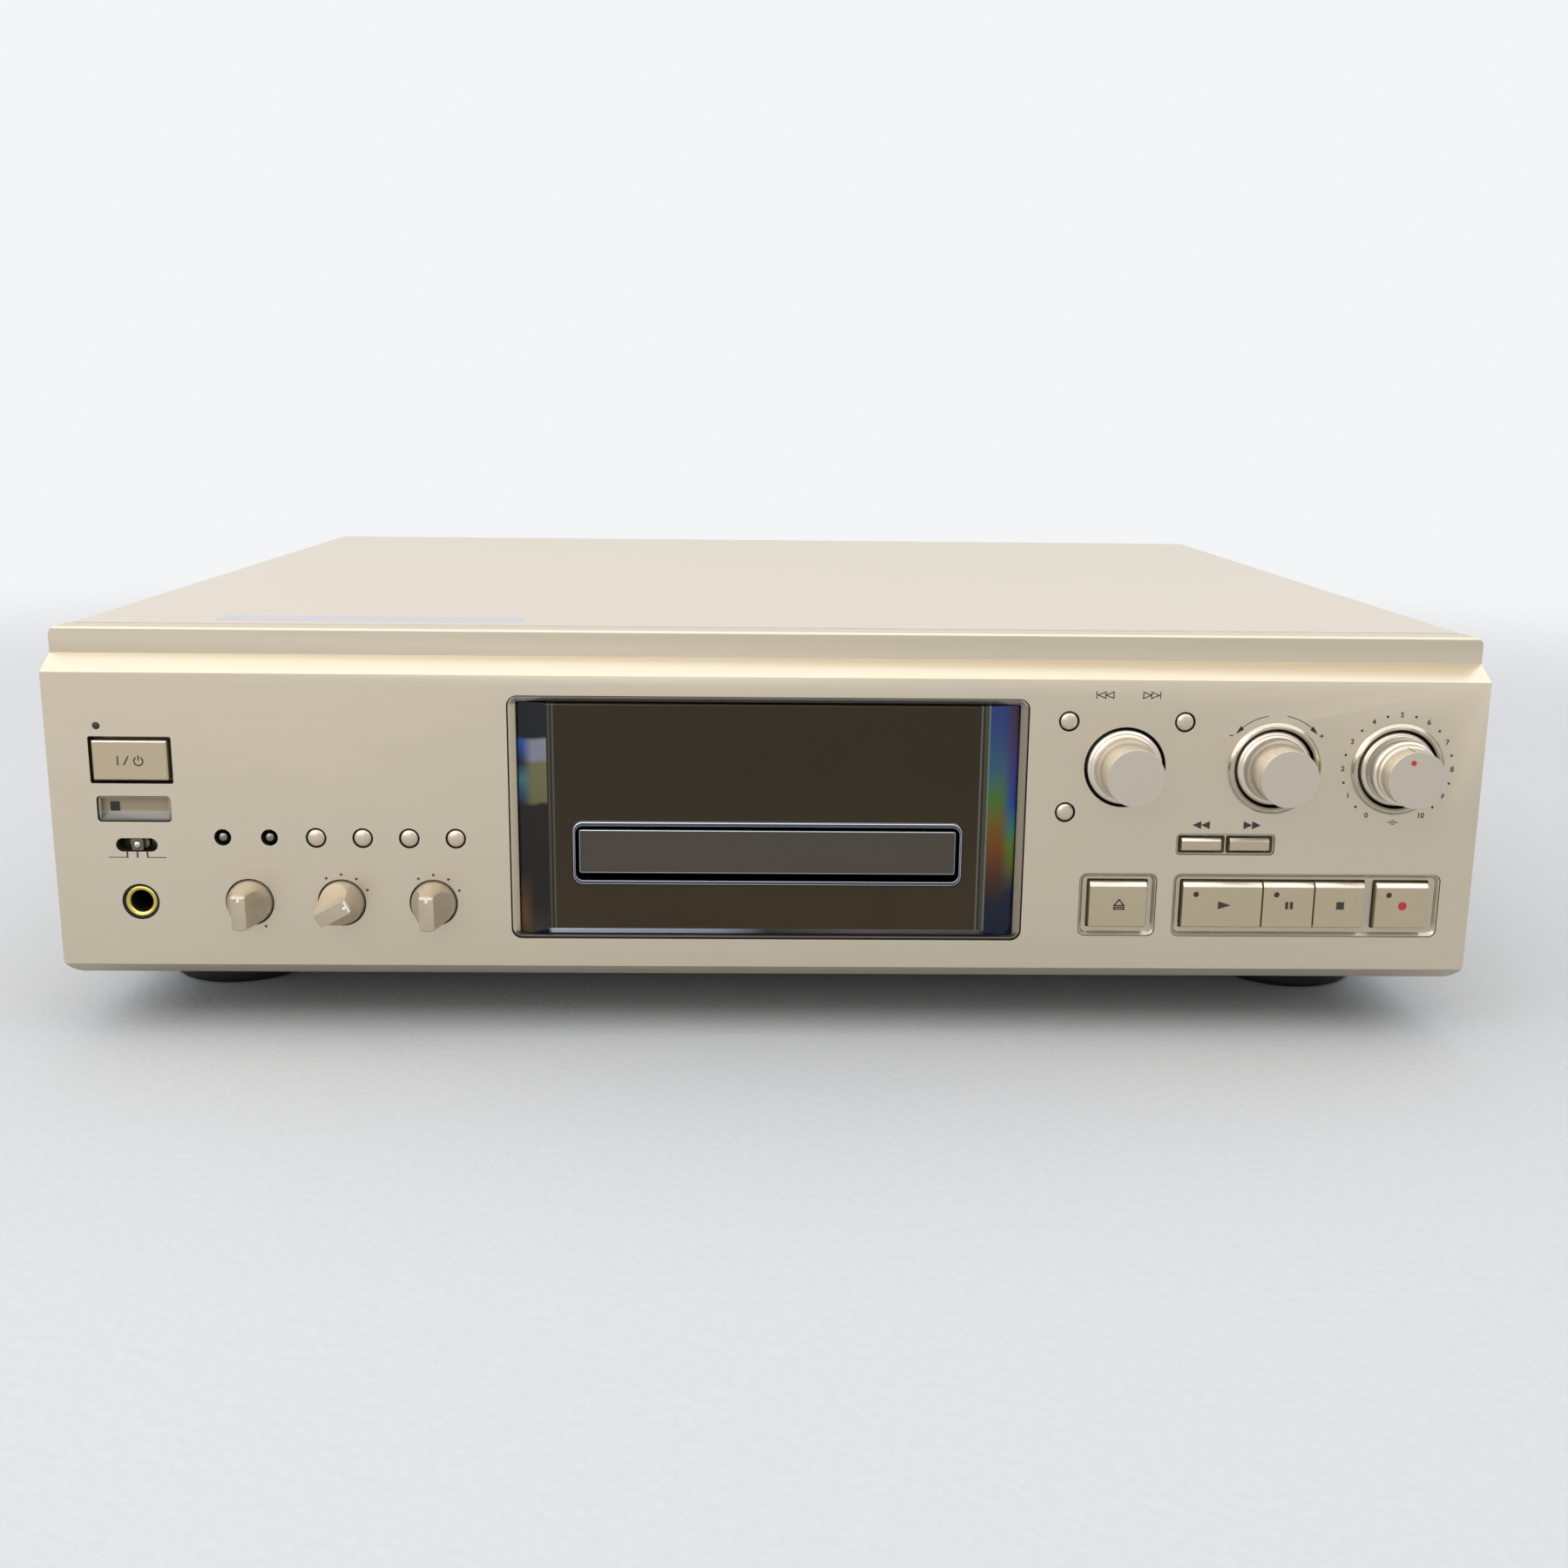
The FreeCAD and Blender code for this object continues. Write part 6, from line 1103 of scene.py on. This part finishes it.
# ---- knobs --------------------------------------------------------------------------
class DECK_OT_level_knobs(bpy.types.Operator):
    """Jog knob, level knobs and their polished rings"""
    bl_idname = "deck.level_knobs"
    bl_label = "Level knobs"

    def execute(self, context):
        sizes = context.scene.deck_sizes
        self.simple_knob("jog_knob", INNER_BORE)
        self.simple_knob("level_knob")
        self.balance()
        self.analog()
        dress("level_rings", finish("polished champagne aluminium"), sizes.ring_edge, limit=50.0)
        return {'FINISHED'}

    def simple_knob(self, node, bore=0.0):
        """Flat cap, slightly conical barrel, and a skirt that flares like a trumpet."""
        low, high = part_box(node)
        foot = FACE - 4.6 * MM
        barrel = filleted([(CAP_RADIUS - CAP_EDGE, low.y), (CAP_RADIUS, low.y),
                           (BARREL_RADIUS, foot)], 0.28 * MM)
        skirt = skirt_profile(node, (BARREL_RADIUS, foot), FACE, 0.9 * MM, 0.75 * MM, 0.35 * MM)
        end = [(bore, high.y), (bore, FACE), (0.0, FACE)] if bore else [(0.0, high.y)]
        capped_knob(node, [(0.0, low.y)] + barrel + skirt + end)

    def balance(self):
        """Rear knob: a ring with a step at its front, on a sleeve for the inner shaft."""
        low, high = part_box("balance_knob")
        place, grip, rim = centre_of("balance_knob"), REAR_RADIUS - 0.1 * MM, FACE - 0.2 * MM
        foot = rim - 3.2 * MM
        barrel = filleted([(INNER_BORE, low.y), (REAR_RADIUS - 0.7 * MM, low.y),
                           (grip, low.y + 0.5 * MM), (grip, foot)], 0.18 * MM)
        skirt = skirt_profile("balance_knob", (grip, foot), rim, 0.8 * MM, 0.6 * MM, 0.4 * MM)
        knob = lathe("balance_knob_turned", barrel + skirt + [(INNER_BORE, high.y)], place.x,
                     place.z, [finish("turned anodised aluminium")], ring=True)
        settle(knob, "balance_knob")

    def analog(self):
        """Front knob with a groove near its foot, a red mark on its cap and a line."""
        low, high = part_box("analog_knob")
        foot = front_of("balance_knob") - 0.3 * MM
        front = low.y + 0.03 * MM
        groove = ((0.35, 1.5), (0.6, 1.25), (0.1, 1.0), (0.1, 0.4), (0.5, 0.0))
        barrel = filleted([(CAP_RADIUS - CAP_EDGE, front), (CAP_RADIUS, front)]
                          + [(BARREL_RADIUS - inset * MM, foot - rise * MM)
                             for inset, rise in groove], 0.14 * MM)
        shaft = [(INNER_SHAFT, foot), (INNER_SHAFT, high.y), (0.0, high.y)]
        capped_knob("analog_knob", [(0.0, front)] + barrel + shaft)
        mark = placed(disc(0.0, RED_MARK_REACH, RED_MARK_RADIUS), centre_of("analog_knob"),
                      RED_MARK_TURN)
        printed("analog_knob_mark", "analog_knob", mark, low.y, 0.05 * MM,
                finish("red printing ink"))
        self.pointer_line(front + 0.3 * MM, foot - 1.6 * MM)

    def pointer_line(self, front, back):
        """Line cut along the barrel of the front knob, a little left of the top."""
        place, angle = centre_of("analog_knob"), math.radians(POINTER_TURN)
        side = Vector((math.cos(angle), 0.0, -math.sin(angle))) * 0.16 * MM
        out = Vector((math.sin(angle), 0.0, math.cos(angle)))
        bm = bmesh.new()
        corners = []
        for y, radius in ((front, CAP_RADIUS), (back, BARREL_RADIUS - 0.35 * MM)):
            for lift in (-0.1 * MM, 0.03 * MM):
                middle = Vector((place.x, y, place.z)) + out * (radius + lift)
                corners += [bm.verts.new(middle - side), bm.verts.new(middle + side)]
        bmesh.ops.convex_hull(bm, input=corners)
        line = piece_from("analog_knob_line", mesh_from("analog_knob_line", bm),
                          [finish("line cut and blackened")])
        settle(line, "analog_knob", replaces=False)


def capped_knob(node, profile):
    """Turned knob whose flat end has a finish of its own."""
    place, front = centre_of(node), profile[0][1]
    knob = lathe(node + "_turned", profile, place.x, place.z,
                 [finish("turned anodised aluminium"), finish("blasted anodised aluminium")])
    for face in knob.data.polygons:
        if face.normal.y < -0.99 and abs(face.center.y - front) < 0.02 * MM:
            face.material_index = 1
    settle(knob, node)


def skirt_profile(node, start, rim, lip, crest, roll):
    """From the barrel's foot through a hollow flare and over a rolled rim to the shaft."""
    low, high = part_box(node)
    skirt = (high.x - low.x) / 2
    end = (skirt - lip, rim - 0.9 * MM)
    edge = filleted([end, (skirt - crest, rim - 1.0 * MM), (skirt, rim - roll),
                     (skirt, FACE + SKIRT_BACK)], 0.16 * MM)
    return (quarter(start, end)[1:] + edge[1:]
            + [(SHAFT_RADIUS, FACE + SKIRT_BACK), (SHAFT_RADIUS, high.y)])


def quarter(start, end, steps=10):
    """Hollow curve from along the axis to across it."""
    (r0, y0), (r1, y1) = start, end
    return [(r1 - (r1 - r0) * math.cos(math.pi / 2 * i / steps),
             y0 + (y1 - y0) * math.sin(math.pi / 2 * i / steps)) for i in range(steps + 1)]


class DECK_OT_pointer_knobs(bpy.types.Operator):
    """Bar-grip knobs with the white mark on the grip and the line on the skirt"""
    bl_idname = "deck.pointer_knobs"
    bl_label = "Pointer knobs"

    def execute(self, context):
        sizes = context.scene.deck_sizes
        across, stem = (4.75 * MM, 3.4 * MM, 0.5 * MM), (4.0 * MM, 0.75 * MM, 1.1 * MM)
        mark = bar(0.0, *across) + bar(0.0, *stem)
        notch = bar(0.0, NOTCH_REACH, 0.5 * MM, 0.7 * MM)
        for node, turn in POINTER_KNOBS:
            dress(node, finish("champagne lacquered zinc"), sizes.key_edge, limit=28.0)
            middle = axis_of(node)
            printed(node + "_mark", node, placed(mark, middle, turn),
                    front_of(node) - sizes.ink / 3, MARK_DEPTH, finish("white paint"))
            printed(node + "_notch", node, placed(notch, middle, turn), FACE - NOTCH_DEPTH,
                    MARK_DEPTH, finish("dark brown printing ink"))
        return {'FINISHED'}


# ---- small controls -----------------------------------------------------------------
class DECK_OT_small_controls(bpy.types.Operator):
    """Sensor window, slide switch and headphone socket"""
    bl_idname = "deck.small_controls"
    bl_label = "Small controls"

    def execute(self, context):
        sizes = context.scene.deck_sizes
        dress("ir_window", finish("smoke grey acrylic"), sizes.metal_edge)
        self.sensor()
        dress("timer_lever", finish("smoke lacquered ABS"), sizes.metal_edge)
        self.nib()
        dress("phones_jack", finish("black moulded ABS"), sizes.metal_edge)
        dress("phones_ring", finish("gold plated brass"), sizes.gold_edge, limit=50.0)
        return {'FINISHED'}

    def sensor(self):
        """Square sensor behind the lens's upper left corner."""
        middle = centre_of("ir_window")
        plate = bar(middle.x - 6.5 * MM, middle.z + 0.3 * MM, SENSOR_SIZE, SENSOR_SIZE)
        printed("remote_sensor", "ir_window", plate, FACE + SENSOR_DEPTH, MARK_DEPTH,
                finish("sensor glass"))

    def nib(self):
        """Rounded nib that a fingernail moves."""
        front, middle = front_of("timer_lever"), centre_of("timer_lever")
        profile = domed(NIB_RADIUS, NIB_RADIUS, front - NIB_OUT, 8)
        profile += [(NIB_RADIUS, front + NIB_ROOT), (0.0, front + NIB_ROOT)]
        nib = lathe("timer_lever_nib", profile, middle.x, middle.z, [finish("nickel plate")],
                    steps=40)
        settle(nib, "timer_lever", replaces=False)


# ---- prints on the fascia -----------------------------------------------------------
class DECK_OT_prints(bpy.types.Operator):
    """Scales, ticks and symbols printed on the fascia"""
    bl_idname = "deck.prints"
    bl_label = "Prints"

    def execute(self, context):
        sizes, ink = context.scene.deck_sizes, finish("dark brown printing ink")
        shapes = self.dial_numbers(sizes) + self.level_arrows(sizes) + self.balance_mark(sizes)
        shapes += self.timer_scale(sizes) + self.search_arrows() + self.skip_arrows(sizes)
        printed("fascia_prints", "fascia", shapes, FACE - sizes.ink, sizes.ink * 1.3, ink)
        self.dots(sizes, ink)
        return {'FINISHED'}

    def dial_numbers(self, sizes):
        """The numbers 0 to 10 round the level dial."""
        middle = axis_of("analog_knob")
        first, step = -150, 30
        shapes = []
        for value in range(11):
            angle = math.radians(first + step * value)
            shapes += numeral(str(value), middle.x + sizes.dial * math.sin(angle),
                              middle.z + sizes.dial * math.cos(angle), sizes.numeral)
        return shapes

    def level_arrows(self, sizes):
        """Arrows round the level knob, with minus and plus beside their heads."""
        middle = axis_of("level_knob")
        reach, head = 16.2 * MM, 0.75 * MM
        start, end, barb, tip = 10, 46, 40, 50
        sign, aside, up = 1.3 * MM, 13.6 * MM, 10.0 * MM
        shapes = []
        for side in (-1, 1):
            shapes += arc(middle.x, middle.z, reach, side * start, side * end, sizes.stroke * 0.8)
            corners = ((reach, tip), (reach + head, barb), (reach - head, barb))
            shapes.append([(middle.x + r * math.sin(math.radians(side * turn)),
                            middle.z + r * math.cos(math.radians(side * turn)))
                           for r, turn in corners])
            x, z = middle.x + side * aside, middle.z + up
            shapes += bar(x, z, sign, sizes.stroke)
            if side > 0:
                shapes += bar(x, z, sizes.stroke, sign)
        return shapes

    def balance_mark(self, sizes):
        """Two concentric circles with a dash on each side."""
        middle = axis_of("analog_knob")
        x, z = middle.x, middle.z - 16.5 * MM
        ring, dot, dash, aside = 0.62 * MM, 0.2 * MM, 0.85 * MM, 1.25 * MM
        shapes = arc(x, z, ring, 0, 360, sizes.stroke * 0.75) + disc(x, z, dot, 12)
        for side in (-1, 1):
            shapes += bar(x + side * aside, z, dash, sizes.stroke * 0.8)
        return shapes

    def timer_scale(self, sizes):
        """Three ticks, the outer ones joined to lines that run outwards."""
        middle = centre_of("timer_lever")
        top, foot = middle.z - 2.1 * MM, middle.z - 4.0 * MM
        pitch, tick, line, aside = 3.0 * MM, 0.5 * MM, 5.4 * MM, 5.9 * MM
        shapes = []
        for i in (-1, 0, 1):
            shapes += bar(middle.x + i * pitch, (top + foot) / 2, tick, top - foot)
        for side in (-1, 1):
            shapes += bar(middle.x + side * aside, foot + sizes.stroke / 2, line,
                          sizes.stroke * 0.8)
        return shapes

    def search_arrows(self):
        """Filled double triangles over the two search keys."""
        width, height, aside, apart = 2.7 * MM, 2.5 * MM, 0.45 * MM, 1.3 * MM
        shapes = []
        for node, facing in (("rewind_key", -1), ("forward_key", 1)):
            x = centre_of(node).x + facing * aside
            for i in (-1, 1):
                shapes.append(triangle(x + i * apart, SEARCH_SIGN_Z, width, height, facing))
        return shapes

    def skip_arrows(self, sizes):
        """Outlined double triangles with a bar, above the jog knob."""
        middle = axis_of("jog_knob")
        width, height, apart = 2.3 * MM, 1.9 * MM, 1.2 * MM
        bar_height, bar_aside = 2.2 * MM, 2.75 * MM
        shapes = []
        for facing in (-1, 1):
            x, z = middle.x + facing * 6.8 * MM, middle.z + 22.0 * MM
            for i in (-1, 1):
                outline = triangle(x + i * apart, z, width, height, facing)
                shapes += closed_line(outline, sizes.stroke)
            shapes += bar(x + facing * bar_aside, z, sizes.stroke, bar_height)
        return shapes

    def dots(self, sizes, ink):
        """Dots round the level dial and beside the pointer knobs."""
        tree = dial_tree()
        # knob, reach, first dot and step in degrees, number of dots
        rows = (("analog_knob", sizes.dial, -135.0, 30.0, 10),
                ("input_knob", sizes.selector, -30.0, 31.0, 4),
                ("mode_knob", sizes.selector, -30.0, 31.0, 4),
                ("phones_knob", sizes.selector, -150.0, 300.0, 2))
        bm = bmesh.new()
        for node, reach, first, step, count in rows:
            middle = axis_of(node)
            bm.from_mesh(baked(tree, bpy.data.meshes.new("empty"), {
                "Centre": (middle.x, FACE - sizes.ink / 4, middle.z), "Radius": reach,
                "First": math.radians(first), "Step": math.radians(step), "Count": count,
                "Dot radius": sizes.dot, "Height": sizes.ink * 1.5, "Material": ink}))
        dots = piece_from("dial_dots", mesh_from("dial_dots", bm), [ink])
        settle(dots, "fascia", replaces=False)


# ---- case ---------------------------------------------------------------------------
class DECK_OT_case(bpy.types.Operator):
    """Painted cover with its blank label, feet and case screws"""
    bl_idname = "deck.case"
    bl_label = "Case"

    def execute(self, context):
        sizes = context.scene.deck_sizes
        cover = dress("top_cover", finish("champagne baked enamel"), sizes.case_edge, limit=50.0)
        self.label(cover, sizes)
        dress("feet", finish("black moulded ABS"), sizes.case_edge)
        self.screws(sizes)
        return {'FINISHED'}

    def label(self, cover, sizes):
        """Blank strip of foil near the front edge of the cover, let into its surface."""
        cover.data.materials.append(finish("metallised film"))
        low = Vector((LABEL_LEFT, LABEL_FRONT))
        high = low + Vector((sizes.label, LABEL_DEPTH))
        bm = bmesh.new()
        bm.from_mesh(cover.data)
        for axis, place in ((0, low.x), (0, high.x), (1, low.y), (1, high.y)):
            point, normal = Vector((0.0, 0.0, 0.0)), Vector((0.0, 0.0, 0.0))
            point[axis], normal[axis] = place, 1.0
            top = [face for face in bm.faces if face.normal.z > 0.99]
            edges = dict.fromkeys(edge for face in top for edge in face.edges)
            corners = dict.fromkeys(vertex for face in top for vertex in face.verts)
            bmesh.ops.bisect_plane(bm, geom=top + list(edges) + list(corners),
                                   dist=0.0001 * MM, plane_co=point, plane_no=normal)
        for face in bm.faces:
            x, y, _ = face.calc_center_median()
            if face.normal.z > 0.99 and low.x < x < high.x and low.y < y < high.y:
                face.material_index = 1
        bm.to_mesh(cover.data)
        bm.free()

    def screws(self, sizes):
        """Heads at the places of the case's screws, each facing outwards."""
        places = screw_places(sizes.screw_height)
        mesh = bpy.data.meshes.new("screw places")
        mesh.from_pydata([place for place, _, _ in places], [], [])
        facings = mesh.attributes.new("facing", 'FLOAT_VECTOR', 'POINT')
        facings.data.foreach_set("vector", [value for _, facing, _ in places for value in facing])
        scales = mesh.attributes.new("size", 'FLOAT', 'POINT')
        scales.data.foreach_set("value", [scale for _, _, scale in places])
        steel = finish("black zinc plated screws")
        heads = baked(screw_tree(), mesh, {"Head radius": sizes.screw_head,
                                           "Head height": sizes.screw_height, "Material": steel})
        settle(piece_from("case_screw_heads", heads, [steel]), "case_screws")


def screw_places(height):
    """Middle of every head's foot, the way that it faces and its size, read from the solids."""
    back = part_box("top_cover")[1].y
    places = []
    for low, high in islands(frame["nodes"]["case_screws"].data):
        x, y, z = (low + high) / 2
        scale = 1.0
        if high.z < UNDERSIDE:
            under_foot = high.x - low.x > FOOT_SCREW_WIDTH
            scale = FOOT_SCREW_SCALE if under_foot else 1.0
            seat = (x, y, low.z + (FOOT_SCREW_HEAD if under_foot else height))
            facing = (0.0, 0.0, -1.0)
        elif high.y > back:
            seat, facing = (x, high.y - height, z), (0.0, 1.0, 0.0)
        else:
            side = math.copysign(1.0, x)
            outer = low.x if side < 0 else high.x
            seat, facing = (outer - side * height, y, z), (side, 0.0, 0.0)
        places.append((seat, facing, scale))
    return places


def islands(mesh):
    """Lowest and highest corner of every separate solid in a mesh."""
    bm = bmesh.new()
    bm.from_mesh(mesh)
    bmesh.ops.remove_doubles(bm, verts=bm.verts, dist=DOUBLES)
    seen, boxes = set(), []
    for first in bm.verts:
        if first in seen:
            continue
        group, todo = [], [first]
        seen.add(first)
        while todo:
            vertex = todo.pop()
            group.append(vertex.co.copy())
            for edge in vertex.link_edges:
                other = edge.other_vert(vertex)
                if other not in seen:
                    seen.add(other)
                    todo.append(other)
        boxes.append(tuple(Vector([end(c[i] for c in group) for i in range(3)])
                           for end in (min, max)))
    bm.free()
    return boxes


class DECK_OT_rear(bpy.types.Operator):
    """Rear panel, sockets with their coloured insulators, and the mains inlet"""
    bl_idname = "deck.rear"
    bl_label = "Rear"

    def execute(self, context):
        sizes = context.scene.deck_sizes
        dress("rear_panel", finish("champagne baked enamel"), sizes.panel_edge)
        carry_over("black moulded ABS", "jack_blocks", "ac_inlet")
        dress("jack_shells", finish("nickel plate"), sizes.metal_edge, limit=50.0)
        self.insulators()
        return {'FINISHED'}

    def insulators(self):
        """Plastic ring inside every phono shell: red right, white left, orange digital."""
        shells = sorted(islands(frame["nodes"]["jack_shells"].data),
                        key=lambda box: (box[0].x, box[0].z))
        columns = sorted({column_of(box) for box in shells})
        colours = {columns[-1]: "red", columns[-2]: "white"}
        outer = SHELL_RADIUS - SHELL_WALL
        for number, (low, high) in enumerate(shells):
            middle = (low + high) / 2
            colour = colours.get(column_of((low, high)), "orange")
            front, back = high.y + 0.15 * MM, high.y - 0.5 * MM
            profile = filleted([(SLEEVE_RADIUS, back), (SLEEVE_RADIUS, front), (outer, front),
                                (outer, back)], 0.1 * MM)
            ring = lathe("insulator_%d" % number, profile, middle.x, middle.z,
                         [finish(colour + " polypropylene")], steps=40, ring=True)
            settle(ring, "jack_blocks", replaces=False)


def column_of(box):
    """Middle of a box from left to right, to a tenth of a millimetre."""
    return round((box[0].x + box[1].x) / 2, 4)


class DECK_OT_inside(bpy.types.Operator):
    """Finishes of the tray and of everything behind the front"""
    bl_idname = "deck.inside"
    bl_label = "Inside"

    def execute(self, context):
        dress("tray", finish("black moulded ABS"), context.scene.deck_sizes.tray_edge)
        carry_over("black moulded ABS", "sub_panel", "mechanism_frame")
        carry_over("grey moulded ABS", "panel_controls")
        carry_over("natural acetal", "jog_plunger", "loading_gear", "motor_gear")
        carry_over("zinc plated steel", "chassis")
        carry_over("bright steel", "drive_motors", "spindle", "sled", "sled_screw")
        carry_over("lacquered laminate", "front_board", "power_board", "main_board")
        carry_over("varnished laminations", "transformer")
        carry_over("black anodised aluminium", "heat_sink")
        carry_over("display glass", "display_tube")
        return {'FINISHED'}


# ---- panel and registration ---------------------------------------------------------
class DECK_PT_panel(bpy.types.Panel):
    """Lists the deck's operators, sizes and colours"""
    bl_idname = "DECK_PT_panel"
    bl_label = "Minidisc deck"
    bl_space_type = 'VIEW_3D'
    bl_region_type = 'UI'
    bl_category = "Deck"

    def draw(self, context):
        for operator in OPERATORS:
            self.layout.operator(operator.bl_idname)
        scene = context.scene
        for group in (scene.deck_sizes, scene.deck_colours, scene.deck_stage):
            box = self.layout.box()
            for name in group.__annotations__:
                box.prop(group, name)


GROUPS = (DeckSizes, DeckColours, DeckStage)
OPERATORS = (DECK_OT_stage, DECK_OT_fascia, DECK_OT_window, DECK_OT_keys, DECK_OT_buttons,
             DECK_OT_level_knobs, DECK_OT_pointer_knobs, DECK_OT_small_controls, DECK_OT_prints,
             DECK_OT_case, DECK_OT_rear, DECK_OT_inside)


def register():
    """Adds the deck's classes and puts its properties on the scene."""
    for cls in GROUPS + OPERATORS + (DECK_PT_panel,):
        bpy.utils.register_class(cls)
    bpy.types.Scene.deck_sizes = bpy.props.PointerProperty(type=DeckSizes)
    bpy.types.Scene.deck_colours = bpy.props.PointerProperty(type=DeckColours)
    bpy.types.Scene.deck_stage = bpy.props.PointerProperty(type=DeckStage)


def unregister():
    """Takes them away again, in the opposite order."""
    del bpy.types.Scene.deck_stage
    del bpy.types.Scene.deck_colours
    del bpy.types.Scene.deck_sizes
    for cls in reversed(GROUPS + OPERATORS + (DECK_PT_panel,)):
        bpy.utils.unregister_class(cls)


def main():
    """Builds the deck."""
    register()
    for operator in OPERATORS:
        family, name = operator.bl_idname.split(".")
        getattr(getattr(bpy.ops, family), name)()


if __name__ == "__main__":
    main()
